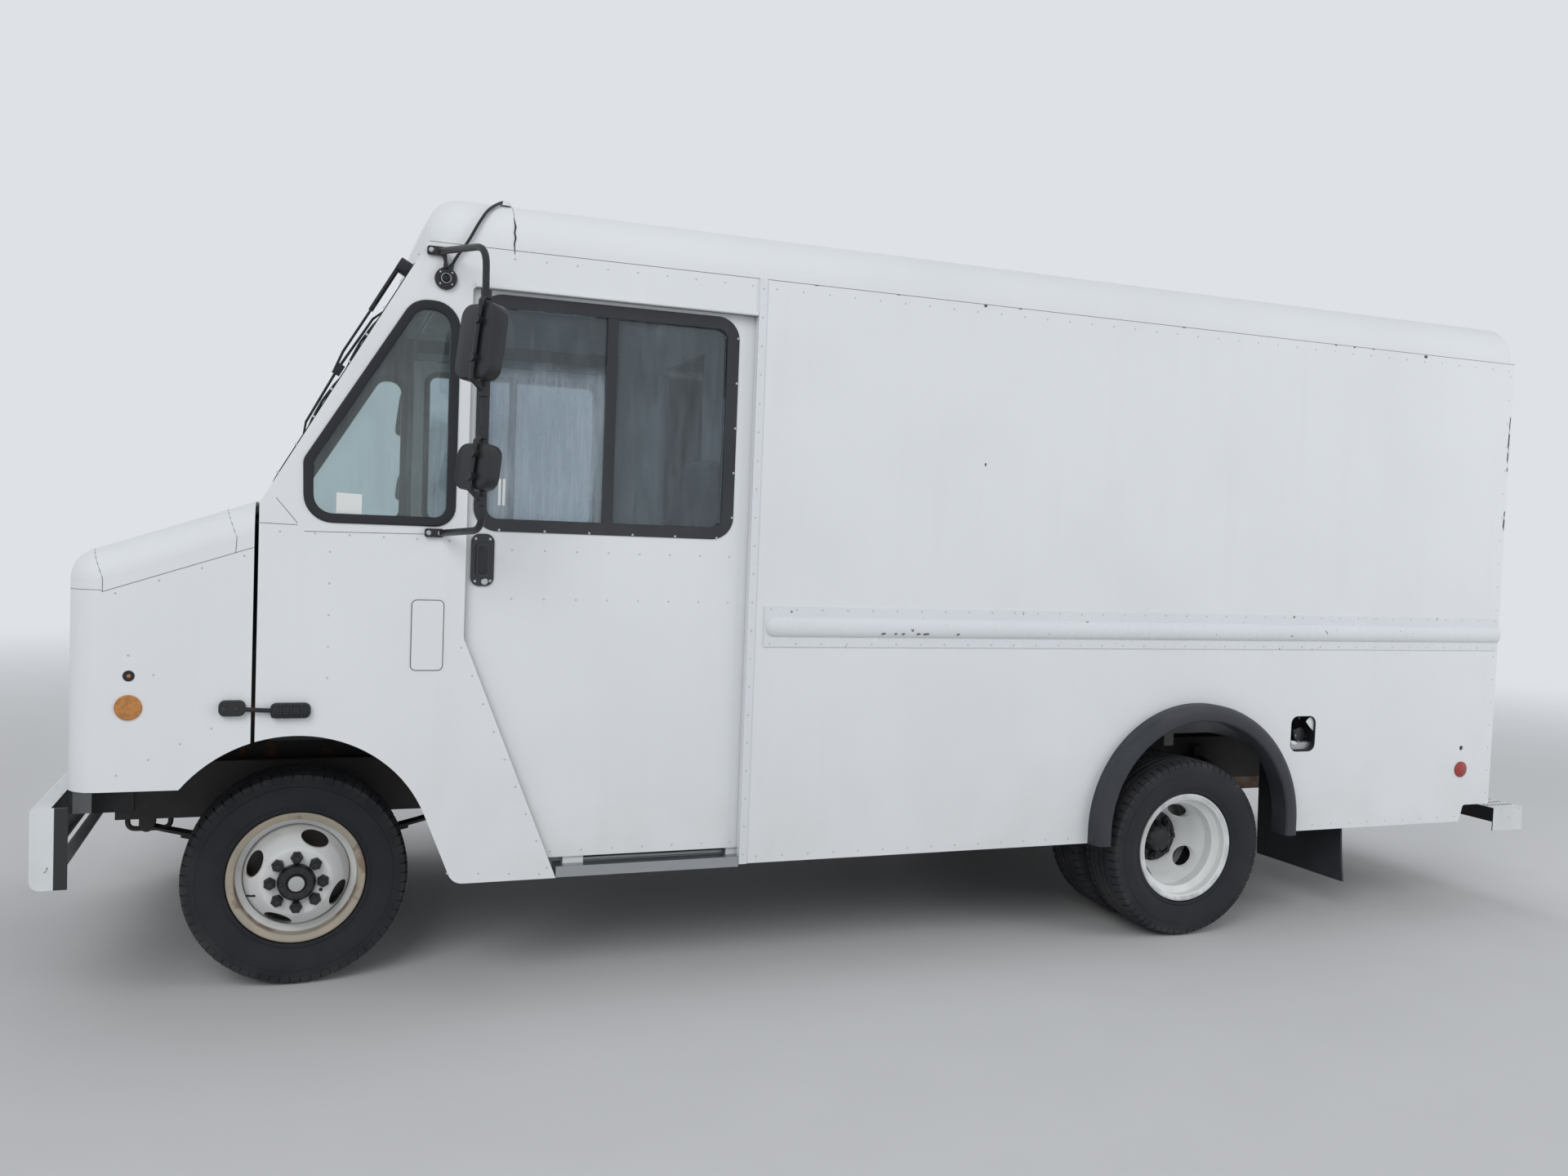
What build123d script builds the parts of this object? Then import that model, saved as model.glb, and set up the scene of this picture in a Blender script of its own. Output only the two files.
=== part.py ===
"""Step van: a walk-in delivery body with a tilting hood on a ladder frame with dual rear wheels.

Millimetres, +X to the rear, +Y to the van's right, +Z up. The origin is on the ground at the middle
of the van's length and width. Stations are distances behind the front axle.
"""
from build123d import *
from math import atan2, cos, degrees, hypot, radians, sin, sqrt, tan
import os

# Overall layout
wheelbase = 3378
front_overhang = 735
rear_overhang = 1902
body_width = 2300
body_bottom = 395
eaves_height = 2455
body_rear = 5062
cab_front = -130
strip_station = 1465

# Walls and clearances
skin = 22
door_gap = 8
door_thick = 36
liner_thick = 12
liner_top = 10
glass_thick = 6
seat_gap = 0.3
pin_gap = 0.3
over = 1

# Windshield slope, cap and roof
screen_foot_z = 1604
screen_head_station = 352
roof_cove = 150
roof_lift = 20
roof_crown = 40
roof_thick = 25
cap_length = 268
cap_round = 105
tail_round = 45

# Windshield frame, its two panes and the firewall below it
screen_thick = 30
screen_border = 70
screen_low_border = 90
screen_post = 50
screen_round = 60
screen_set_back = 12
screen_trim = 60
firewall_thick = 25
firewall_lap = 8
toe_station = 330
toe_z = 905
toe_thick = 14
engine_gap_y = 350
engine_gap_z = 1120

# Front wheel arch, shared by the hood and the cab side
arch_station = -10
arch_z = 460
arch_radius = 422
arch_tail_angle = 22
arch_tail_foot = 200
arch_foot_round = 50

# Cab side
cowl_foot_z = 383
cowl_foot_station = 816
door_kink_z = 1192
door_kink_round = 30
door_front_station = 492
header_drop = 130
header_round = 12
access_station = 377
access_z = 1200
access_size = (97, 224, 15)
access_thick = 3

# Quarter window, its front edge behind the windshield's slope, and its corner radii from the rear foot
quarter_rear = 456
quarter_front = -3
quarter_low = 1550
quarter_knee_rise = 195
quarter_top_drop = 185
quarter_behind = (61.8, 42.1)
quarter_rounds = (55, 60, 45, 50, 88)
gasket_width = 30
gasket_lip = 12
gasket_proud = 7

# Sliding door
door_overlap = 10
door_top_lap = 20
door_bottom = 447
door_foot_round = 12
door_edge_round = 25
door_rear_lap = 65
door_travel = 870
pocket_room = 20
shoe_thick = 16
shoe_length = 70
shoe_height = 30
shoe_inset = 30
shoe_sill_gap = 2
track_height = 33
track_gap = 7
sill_low = 385
sill_high = 421
sill_base = 10

# Door window, lock plate and grip
frame_left = 515
frame_right = 1408
frame_low = 1542
frame_top_gap = 10
frame_width = 42
frame_round = 78
frame_proud = 3
frame_hole_lap = 14
divider_station = 960
divider_width = 36
divider_set_back = 6
lock_station = 548
lock_z = 1447
lock_size = (75, 172, 28)
lock_thick = 6
grip_size = (42, 112, 16)
grip_thick = 12

# Floor, sills, step wells and rear wheelhouses
floor_top = 770
floor_thick = 30
floor_rear_gap = 60
sill_depth = 60
sill_width = 50
sill_stations = [700, 1480, 2000, 2560, 3100, 3660, 4260, 4800]
sill_in = 130
sill_reach_at_wheels = 640
sill_wheel_margin = 80
step_front = 850
step_rear = 1450
step_z = 430
step_in = 280
step_plate = 8
step_side_gap = 6
house_front = 2925
house_rear = 3890
house_top = 985
house_in = 660
house_thick = 10

# Cargo walls
post_depth = 30
post_width = 50
post_top_gap = 40
post_stations = [2860, 4100, 4460, 4800]
bulkhead_station = 1520
bulkhead_thick = 30
bulkhead_rise = 60
doorway_half = 330
doorway_drop = 155
portal_thick = 47
portal_foot = 30
rear_opening_y = 930
rear_opening_drop = 70
slat_count = 11
slat_thick = 20
slat_groove_half = 4
slat_groove_deep = 4
slat_lap = 40
slat_gap = 12
handle_half = 90
handle_out = 20
handle_high = 30
handle_place = 0.4

# Side openings and lamps at the rear
fuel_station = 3974
fuel_z = 810
fuel_size = (132, 152, 34)
fuel_pan_lap = 6
fuel_pan_top = 12
fuel_pan_deep = 70
fuel_pan_wall = 6
fuel_cap_radius = 30
fuel_cap_offset = (20, -10)
fuel_cap_out = 20
marker_station = 4879
marker_hole_z = 728
marker_hole = 11
rear_notch_station = 4888
rear_notch_run = 20
rear_notch_z = 470
rear_notch_rounds = (12, 15)

# Rear wheel arch and its rubber flare
flare_station = 3436
flare_z = 440
flare_radius = 498
flare_width = 48
flare_proud = 62
flare_thick = 12
flare_lip = 14

# Frame
rail_depth = 200
rail_flange = 75
rail_web = 8
rail_outer = 432
rail_front = -600
rail_rear = 4950
cross_stations = [-590, 620, 1250, 2250, 2860, 3920, 4700]
cross_width = 60
cross_depth = 110

# Bumpers
bumper_low = 435
bumper_high = 680
bumper_plate = 5
bumper_flange = 55
bumper_end = 100
bumper_bend = 30
bumper_top_bend = 10
bracket_thick = 10
bracket_lap = 60
bracket_margins = (30, 40)
plate_pitch = 177.8
plate_hole = 3.5
step_bumper_low = 342
step_bumper_high = 447
step_bumper_depth = 180
step_bracket_drop = 60
step_bracket_lap = 200
step_bracket_tail = 30
ball_hole = 13

# Hood
hood_gap = 12
hood_front = -650
hood_foot = 722
hood_wall = 14
hood_round = 90
hood_slope = 20
hood_top_lap = 4
hinge_station = -668
hinge_z = 702
hinge_y = 520
hinge_radius = 9
hinge_lug_half = 12
hinge_lug_reach = 14
hinge_lug_heights = (4, 30, 40)
hinge_ear_gap = 5
hinge_ear_thick = 10
hinge_ear_half = 16
hinge_shelf_drop = 80
hinge_shelf_thick = 12
grille_half = 520
grille_low = 850
grille_high = 1190
grille_bars = 8
grille_border = 20
grille_edge = 14
grille_proud = 8
grille_deep = 16
bar_half = 7
bar_lap = 10
mullion_half = 6
headlamp_y = 800
headlamp_z = 1060
headlamp_radius = 89
bezel_width = 14
bezel_proud = 12
headlamp_deep = 40
signal_z = 860
signal_half = (85, 30)
signal_proud = 16
amber_station = -481
amber_z = 976
amber_radius = 38
amber_proud = 7
hood_hole_z = 1071
hood_hole = 13
catch_place = (-28, 963)
catch_size = (118, 48, 18)
catch_proud = 22
hook_place = (-195, 972)
hook_size = (76, 48, 18)
hook_proud = 20

# Front axle and steering
beam_half = 35
beam_low = 265
beam_high = 340
beam_knee = 430
beam_boss_in = 90
beam_flange = 18
beam_web = 12
boss_radius = 38
boss_low = 300
boss_high = 420
kingpin_y = 600
kingpin_radius = 16
ear_thick = 30
ear_gap = 5
ear_radius = 42
web_in = 52
web_thick = 36
arm_width = 30
eye_radius = 22
stud_radius = 9
steer_arm = 150
spindle_radius = 28
spindle_end = 12
tie_radius = 13
tie_drop = 25
tie_eye_below = 16
tie_eye_gap = 6

# Springs: half span, width, leaf thickness, eye radius
front_spring = (500, 62, 10, 22)
rear_spring = (620, 66, 11, 24)
front_leaf_count = 4
rear_leaf_count = 6
leaf_step = 0.22
eye_lift = 8
front_eye_drop = 34
front_clamp = (55, 38, 52)
front_hanger_half = 25
rear_spring_y = 505
rear_eye_rise = 80
rear_clamp = (70, 62, 78)
rear_bracket_half = 30
rear_bracket_margins = (30, 40)
spring_pad = 12
spring_pad_half = (60, 36)

# Rear axle
axle_tube = 55
axle_spindle = 40
axle_tube_short = 190
axle_end_gap = 5
bowl_section = [(-130, 0), (-130, 60), (-70, 130), (0, 150), (70, 130), (130, 60), (130, 0)]
pinion_radius = 60
pinion_reach = (240, 100)
pinion_rise = 20
hub_radius = 60
drum_radius = 165

# Wheels
tyre_radius = 360
tyre_width = 220
rim_radius = 220
rim_half = 89
rim_bead = 204
rim_well = 180
rim_wall = 8
front_rim_face = 880
rear_rim_face = 1175
dual_spacing = 266
disc_thick = 9
pad_radius = 112
disc_shoulder = 150
disc_bow = 40
spindle_bore = 61
lug_count = 8
lug_pcd = 165.1
lug_radius = 17
lug_height = 28
hand_hole_count = 4
hand_hole_start = 68
hand_hole_radius = 150
hand_hole_length = 80
hand_hole_width = 36
# Rim section: rows of (depth from the outer flange, radius), outside then back along the inside
rim_section = [(0, rim_radius), (9, rim_radius), (13, rim_bead), (42, rim_bead), (58, rim_well),
               (108, rim_well), (128, rim_bead), (165, rim_bead), (169, rim_radius), (178, rim_radius),
               (178, rim_radius - rim_wall), (172, rim_bead - rim_wall), (132, rim_bead - rim_wall),
               (112, rim_well - rim_wall), (54, rim_well - rim_wall), (38, rim_bead - rim_wall),
               (6, rim_bead - rim_wall), (0, rim_radius - rim_wall)]
# Tyre section: rows of (distance inside half the width, radius)
tyre_section = [(12, rim_radius + 14), (0, rim_radius + 62), (6, tyre_radius - 34), (22, tyre_radius - 6),
                (62, tyre_radius)]
tyre_bead_in = 14
# Front hub: rows of (distance outside the pad, radius)
front_hub_section = [(34, 0), (34, 26), (26, 30), (30, 34), (30, hub_radius - 8), (18, hub_radius),
                     (-150, hub_radius), (-150, spindle_radius + pin_gap), (-20, spindle_radius + pin_gap),
                     (-20, 0)]
front_flange_section = [(-disc_thick, hub_radius - over), (-disc_thick, pad_radius - 12),
                        (-30, pad_radius - 12), (-30, hub_radius - over)]
front_disc_section = [(-130, hub_radius - over), (-130, drum_radius), (-150, drum_radius),
                      (-150, hub_radius - over)]
# Rear hub and drum: rows of (distance outside the pad, radius)
rear_hub_section = [(70, 0), (70, 40), (58, 52), (20, hub_radius), (-40, hub_radius + 20),
                    (-190, hub_radius + 20), (-190, axle_spindle + pin_gap), (-4, axle_spindle + pin_gap),
                    (-4, 0)]
rear_drum_section = [(-disc_thick, hub_radius - over), (-disc_thick, pad_radius), (-40, drum_radius),
                     (-150, drum_radius), (-150, drum_radius - 14), (-60, drum_radius - 14),
                     (-40, hub_radius + over)]

# Driveline, engine, radiator, exhaust and tank
shaft_front = 560
shaft_high = 500
shaft_radius = 42
shaft_short = 40
yoke_radius = 55
yoke_length = 40
yoke_in = 30
flange_length = 60
flange_radii = (36, 44)
engine_box = (-380, 300, -220, 220, 500, 1060)
gearbox_box = (300, shaft_front, -150, 150, 440, 680)
engine_mount = (-90, -30, 540, 585)
radiator_core = (-575, -505, 340, 1180)
radiator_cap = (-575, -485, 320, 30)
pipe_radius = 32
silencer_y = 252
silencer_z = 425
silencer_radius = 100
silencer_span = (1500, 2200)
pipe_start = (200, 500)
pipe_turns = (600, 2550, 2800)
pipe_bends = [180, 150]
pipe_end_in = 120
tank_low = 400
tank_top_gap = 30
tank_half = 340
tank_round = 40
flap_station = 4250
flap_low = 145
flap_thick = 10
flap_span = (560, 50)

# Cab furniture
cover_lap = 60
cover_wall = 25
cover_step = 100
cover_rounds = (60, 40)
cover_bend_station = 300
dash_corners = [(300, 1240, 30), (320, 1400, 40), (200, 1500, 40)]
dash_ends = (1300, 1560)
dash_side_gap = 10
hump_corners = [(60, 1400, 0), (330, 1400, 30), (300, 1560, 50), (60, 1560, 40)]
hump_span = (-820, -420)
wheel_centre = (580, -620, 1400)
wheel_tilt = 55
steer_ring = (205, 14)
steer_hub = (48, 50)
spoke_size = (190, 26, 12)
spoke_middle = 115
spoke_angles = (90, 210, 330)
column_radius = 28
column_foot = (55, 45)
column_lift = 20
pedestal = (1000, 1250, -760, -480)
pan = (900, 1360, -850, -390)
pan_heights = (1130, 1160)
cushion_span = (-860, -380)
cushion_height = (110, 120)
back_span = (-850, -390)
back_foot_rise = 111.1
# Backrest: rows of (station, height above its foot, corner radius)
back_corners = [(1290, 0, 20), (1400, 0, 30), (1490, 559, 40), (1400, 579, 40)]

# Mirrors, camera and its cable
arm_radius = 11
arm_root = 8
arm_out = 280
arm_bend = 60
# Mirror tube: rows of (station, drop below the eaves) at its top and (station, height) at its foot
arm_head = [(385, 30), (495, 55)]
arm_foot = [(505, 1546), (410, 1530)]
foot_stations = (375, 390)
foot_half = (30, 14)
foot_thick = 16
head_station = 488
head_tilt = 8
head_corner = 42
head_round = 14
# Mirror heads: rows of (height, width, depth), one below the eaves and one above the tube's foot
mirror_heads = [(232, 165, 55), (142, 150, 55)]
upper_head_drop = 345
lower_head_rise = 205
camera_station = 405
camera_drop = 114
camera_radius = 35
camera_proud = 16
lens_radius = 15
cable_radius = 5
cable_bend_share = 0.45
# Cable route: rows of (station, distance outside the body side, height above the eaves)
cable_route = [(418.1, 9.2, -80.1), (433, 12, -46), (468, 16, 3), (503, 10, 75), (545, -38, 143),
               (592, -108, 185)]

# Wipers: the pivot, then the arm and the blade as (drop below the pivot, lift, width, length, thickness)
wiper_y = 760
wiper_top = 40
wiper_pivot = (20, 24)
wiper_arm = (260, 18, 18, 520, 8)
wiper_blade = (420, 7, 14, 520, 14)

# Trim and lamps
belt_low = 1169
belt_high = 1312
belt_station = 1528
belt_rear_gap = 12
belt_proud = 5
bead_low = 1203
bead_high = 1277
bead_proud = 22
bead_start = 40
strip_width = 28
strip_proud = 7
side_reflector = (4880, 632, 35, 6)
tail_lamp_in = 120
tail_lamp_rises = (210, 340, 470)
tail_lamp_size = (52, 18)
# Clearance lamps: distances inside the body side or half width, then drops below the eaves
corner_lamp = (140, 80, 65, 35)
middle_lamp = (35, 50, 25)
middle_lamp_pitch = 160
clearance_lamp_proud = 16

# Derived places
overall_length = front_overhang + wheelbase + rear_overhang
front_axle_x = front_overhang - overall_length / 2
half = body_width / 2
wheel_z = tyre_radius
inner_skin = half - skin
door_outer = inner_skin - door_gap
door_inner = door_outer - door_thick
door_mid = door_outer - door_thick / 2
liner_outer = door_inner - door_gap
liner_inner = liner_outer - liner_thick
rail_top = floor_top - floor_thick - sill_depth
rail_bottom = rail_top - rail_depth
door_slant = (cowl_foot_station - door_front_station) / (door_kink_z - cowl_foot_z)
door_rear = strip_station + door_rear_lap
header_z = eaves_height - header_drop
door_top = header_z + door_top_lap
frame_high = header_z - frame_top_gap
frame_middle = (frame_low + frame_high) / 2
doorway_top = eaves_height - doorway_drop
rear_opening_top = eaves_height - rear_opening_drop
pocket_end = door_rear + door_travel + pocket_room
screen_slope = (screen_head_station - cab_front) / (eaves_height - screen_foot_z)
quarter_high = eaves_height - quarter_top_drop
quarter_knee = quarter_low + quarter_knee_rise
screen_length = hypot(screen_head_station - cab_front, eaves_height - screen_foot_z)
pane_width = (2 * inner_skin - 2 * screen_border - screen_post) / 2
pane_height = screen_length - screen_border - screen_low_border
cap_rear = screen_head_station + cap_length
cab_inside = cab_front + firewall_thick
cover_rear = door_front_station + cover_lap
hood_rear = cab_front - hood_gap
hood_rear_top = screen_foot_z + hood_top_lap
hood_front_top = hood_rear_top - (hood_rear - hood_front) * tan(radians(hood_slope))
wheel_offset = dual_spacing / 2
front_middle = front_rim_face - rim_half
rear_middle = rear_rim_face - rim_half
inner_middle = rear_middle - dual_spacing
arm_points = [(s, eaves_height - drop) for s, drop in arm_head] + arm_foot
mirror_middles = (eaves_height - upper_head_drop, arm_foot[1][1] + lower_head_rise)
camera_z = eaves_height - camera_drop
bead_middle = (bead_low + bead_high) / 2
bead_half = (bead_high - bead_low) / 2


def at(station):
    """X of a station."""
    return front_axle_x + station


def block(s0, s1, y0, y1, z0, z1):
    """Box between two stations, two Y values and two heights."""
    middle = Pos(at((s0 + s1) / 2), (y0 + y1) / 2, (z0 + z1) / 2)
    return middle * Box(abs(s1 - s0), abs(y1 - y0), abs(z1 - z0))


def profile(corners):
    """Flat face from (station, height, corner radius) rows, in local X and Y."""
    points, radii = [(at(s), z) for s, z, r in corners], [r for s, z, r in corners]
    return make_face(FilletPolyline(*points, radius=radii, close=True))


def upright(face, y0, y1):
    """Side-view face stood up and extruded between two Y values."""
    return extrude(Plane.XZ.offset(-min(y0, y1)) * face, amount=abs(y1 - y0), dir=(0, 1, 0))


def slab(corners, y0, y1):
    """Side-view profile extruded between two Y values."""
    return upright(profile(corners), y0, y1)


def rounded(size, station, height):
    """Side-view rectangle of a (width, height, corner radius) size about a place."""
    return Pos(at(station), height) * RectangleRounded(*size)


def raised(face, s0, s1):
    """(y, z) face extruded between two stations."""
    return extrude(Plane.YZ.offset(at(s0)) * face, amount=s1 - s0)


def across(points, s0, s1):
    """Closed (y, z) outline extruded between two stations."""
    return raised(make_face(Polyline(*points, close=True)), s0, s1)


def tube_x(radius, s0, s1, y, z):
    """Round bar along X."""
    return Pos(at((s0 + s1) / 2), y, z) * Rot(0, 90, 0) * Cylinder(radius, abs(s1 - s0))


def tube_y(radius, s, z, y0, y1):
    """Round bar along Y."""
    return Pos(at(s), (y0 + y1) / 2, z) * Rot(90, 0, 0) * Cylinder(radius, abs(y1 - y0))


def tube_z(radius, s, y, z0, z1):
    """Round bar along Z."""
    return Pos(at(s), y, (z0 + z1) / 2) * Cylinder(radius, abs(z1 - z0))


def spun(points, station, side):
    """Solid of revolution about a wheel's axle line, from (Y distance, radius) points."""
    face = make_face(Polyline(*[(r, side * y) for y, r in points], close=True))
    return Pos(at(station), 0, wheel_z) * revolve(face, axis=Axis.Y)


def spun_from(pad, section, station, side):
    """Solid of revolution whose Y distances are measured out from a pad."""
    return spun([(pad + out, radius) for out, radius in section], station, side)


nodes = {}


def keep(name, *solids):
    """Store a node's solids under its name."""
    flat = [s for item in solids for s in item.solids()]
    nodes[name] = flat[0] if len(flat) == 1 else Compound(children=flat)


# Chassis
def rail(side):
    """Channel rail with its flanges turned inwards."""
    outside = side * rail_outer
    web = block(rail_front, rail_rear, outside, side * (rail_outer - rail_web), rail_bottom, rail_top)
    flanges = [block(rail_front, rail_rear, outside, side * (rail_outer - rail_flange), z, z + rail_web)
               for z in (rail_bottom, rail_top - rail_web)]
    return web + flanges


def cross_member(station):
    """Hat-shaped tie between the rails' webs."""
    inside = rail_outer - rail_web
    high = rail_top - rail_web
    low = high - cross_depth
    hollow = block(station + rail_web, station + cross_width - rail_web, -inside, inside, low,
                   high - rail_web)
    return block(station, station + cross_width, -inside, inside, low, high) - hollow


def hinge_bracket(side):
    """Ear and pin from the front bumper's bracket up to the hood's hinge."""
    inside = side * (hinge_y + hinge_lug_half + hinge_ear_gap)
    outside = inside + side * hinge_ear_thick
    foot = rail_top - hinge_shelf_drop
    span = (hinge_station - hinge_ear_half, hinge_station + hinge_ear_half)
    ear = block(*span, inside, outside, foot, hinge_z + hinge_ear_half)
    ear += tube_y(hinge_radius, hinge_station, hinge_z, side * (hinge_y - hinge_lug_half),
                  (inside + outside) / 2)
    return ear + block(*span, side * rail_outer, outside, foot, foot + hinge_shelf_thick)


def front_bumper():
    """Channel bumper with closed ends, two brackets outside the rails and the hood's hinge ears."""
    face = -front_overhang
    inside = half - bumper_plate
    body = slab([(face, bumper_low, bumper_bend), (face + bumper_end, bumper_low, 0),
                 (face + bumper_end, bumper_high, 0), (face, bumper_high, bumper_top_bend)], -half, half)
    body -= block(face + bumper_plate, face + bumper_end + over, -inside, inside,
                  bumper_low + bumper_plate, bumper_high - bumper_plate)
    body -= block(face + bumper_flange, face + bumper_end + over, -inside, inside, bumper_low - over,
                  bumper_high + over)
    foot, head = bracket_margins
    for side in (-1, 1):
        body += block(face + bumper_plate, rail_front + bracket_lap, side * rail_outer,
                      side * (rail_outer + bracket_thick), rail_bottom + foot, rail_top - head)
        body += hinge_bracket(side)
    middle = (bumper_low + bumper_high) / 2
    for y in (-plate_pitch / 2, plate_pitch / 2):
        body -= tube_x(plate_hole, face - over, face + bumper_plate + over, y, middle)
    return body


def rear_bumper():
    """Step bumper: a channel open at the front and below, on two brackets outside the rails."""
    face = wheelbase + rear_overhang
    front = face - step_bumper_depth
    inside = half - bumper_plate
    top = step_bumper_high - bumper_plate
    body = block(front, face, -half, half, step_bumper_low, step_bumper_high)
    body -= block(front - over, face - bumper_plate, -inside, inside, step_bumper_low - over, top)
    body -= tube_z(ball_hole, face - step_bumper_depth / 2, 0, step_bumper_low, step_bumper_high + over)
    for side in (-1, 1):
        beside = (side * rail_outer, side * (rail_outer + bracket_thick))
        body += block(rail_rear - step_bracket_lap, rail_rear + step_bracket_tail, *beside,
                      top - step_bracket_drop, rail_top - step_bracket_drop)
        body += block(rail_rear, face - bumper_plate, *beside, top - step_bracket_drop, top)
    return body


def front_axle():
    """I-section beam that drops between the kingpin bosses."""
    inner = kingpin_y - beam_boss_in
    right = [(0, beam_low), (beam_knee, beam_low), (inner, boss_low), (kingpin_y, boss_low),
             (kingpin_y, boss_high), (inner, boss_high), (beam_knee, beam_high), (0, beam_high)]
    left = [(-y, z) for y, z in reversed(right[1:-1])]
    beam = across(right + left, -beam_half, beam_half)
    for s0, s1 in ((-beam_half, -beam_web), (beam_web, beam_half)):
        beam -= block(s0, s1, -beam_knee, beam_knee, beam_low + beam_flange, beam_high - beam_flange)
    for side in (-1, 1):
        beam += tube_z(boss_radius, 0, side * kingpin_y, boss_low, boss_high)
        beam -= tube_z(kingpin_radius + pin_gap, 0, side * kingpin_y, boss_low - over, boss_high + over)
    return beam


def knuckle(side):
    """Steering knuckle: kingpin, two ears, web, spindle and steering arm."""
    ears = [(boss_high + ear_gap, boss_high + ear_gap + ear_thick),
            (boss_low - ear_gap - ear_thick, boss_low - ear_gap)]
    body = tube_z(kingpin_radius, 0, side * kingpin_y, ears[1][0], ears[0][1])
    web_y = side * (kingpin_y + web_in)
    for low, high in ears:
        body += tube_z(ear_radius, 0, side * kingpin_y, low, high)
        body += block(-ear_radius, ear_radius, side * kingpin_y, web_y, low, high)
    body += block(-ear_radius, ear_radius, web_y, web_y + side * web_thick, ears[1][0], ears[0][1])
    body += tube_y(spindle_radius, 0, wheel_z, web_y, side * (front_rim_face - spindle_end))
    low, high = ears[1]
    y = side * kingpin_y
    body += block(0, steer_arm, y - arm_width / 2, y + arm_width / 2, low, high)
    body += tube_z(eye_radius, steer_arm, y, low, high)
    return body - tube_z(stud_radius + pin_gap, steer_arm, y, low - over, high + over)


def tie_rod():
    """Rod below the steering arms, with a stud up through each arm's eye."""
    low = boss_low - ear_gap - ear_thick
    axis_z = low - tie_drop
    body = tube_y(tie_radius, steer_arm, axis_z, -kingpin_y, kingpin_y)
    for side in (-1, 1):
        body += tube_z(eye_radius, steer_arm, side * kingpin_y, axis_z - tie_eye_below, low - tie_eye_gap)
        body += tube_z(stud_radius, steer_arm, side * kingpin_y, low - tie_eye_gap, low + ear_thick)
    return body


def leaves(centre, y, spring, count, eye_z, seat_z):
    """Spring pack: stacked arc leaves on the axle seat, the longest on top."""
    span, width, thick, _ = spring
    sag = eye_z - seat_z - (count - 1) * thick
    radius = (span ** 2 + sag ** 2) / (2 * sag)
    pack = None
    for row in range(count):
        reach = span * (1 - leaf_step * (count - 1 - row))
        base = seat_z + row * thick
        lift = radius - sqrt(radius ** 2 - reach ** 2)
        under = ThreePointArc((at(centre - reach), base + lift), (at(centre), base),
                              (at(centre + reach), base + lift))
        upper = ThreePointArc((at(centre + reach), base + lift + thick), (at(centre), base + thick),
                              (at(centre - reach), base + lift + thick))
        ends = [Line(under @ 1, upper @ 0), Line(upper @ 1, under @ 0)]
        face = make_face(Wire([under.edge(), ends[0].edge(), upper.edge(), ends[1].edge()]))
        solid = upright(face, y - width / 2, y + width / 2)
        pack = solid if pack is None else pack + solid
    return pack


def front_springs():
    """Springs under the rails: eyes in hangers below the rail."""
    parts = []
    span, width, _, eye = front_spring
    reach, low, high = front_clamp
    for side in (-1, 1):
        y = side * (rail_outer - rail_flange / 2)
        wide = (y - width / 2, y + width / 2)
        eye_z = rail_bottom - front_eye_drop
        pack = leaves(0, y, front_spring, front_leaf_count, eye_z, beam_high)
        for end in (-span, span):
            pack += tube_y(eye, end, eye_z + eye_lift, *wide)
            pack += block(end - front_hanger_half, end + front_hanger_half, *wide, eye_z + eye_lift,
                          rail_bottom)
        pack += block(-reach, reach, *wide, beam_high + low, beam_high + high)
        parts.append(pack)
    return parts


def rear_springs():
    """Springs outboard of the rails on brackets from the rails' sides."""
    parts = []
    span, width, _, eye = rear_spring
    reach, low, high = rear_clamp
    foot, head = rear_bracket_margins
    for side in (-1, 1):
        y = side * rear_spring_y
        eye_z = rail_bottom + rear_eye_rise
        seat = wheel_z + axle_tube + spring_pad
        pack = leaves(wheelbase, y, rear_spring, rear_leaf_count, eye_z, seat)
        for end in (wheelbase - span, wheelbase + span):
            pack += tube_y(eye, end, eye_z + eye_lift, side * rail_outer, y + side * width / 2)
            pack += block(end - rear_bracket_half, end + rear_bracket_half, side * rail_outer,
                          y - side * width / 2, eye_z - foot, rail_top - head)
        pack += block(wheelbase - reach, wheelbase + reach, y - width / 2, y + width / 2,
                      seat + low, seat + high)
        parts.append(pack)
    return parts


def rear_axle():
    """Axle tube with differential bowl, spring pads and spindles."""
    reach = rear_middle - wheel_offset
    body = tube_y(axle_tube, wheelbase, wheel_z, axle_tube_short - reach, reach - axle_tube_short)
    body += tube_y(axle_spindle, wheelbase, wheel_z, axle_end_gap - reach, reach - axle_end_gap)
    body += spun(bowl_section, wheelbase, 1)
    far, near = pinion_reach
    body += tube_x(pinion_radius, wheelbase - far, wheelbase - near, 0, wheel_z + pinion_rise)
    along, wide = spring_pad_half
    for side in (-1, 1):
        y = side * rear_spring_y
        body += block(wheelbase - along, wheelbase + along, y - wide, y + wide, wheel_z,
                      wheel_z + axle_tube + spring_pad)
    return body


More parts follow.
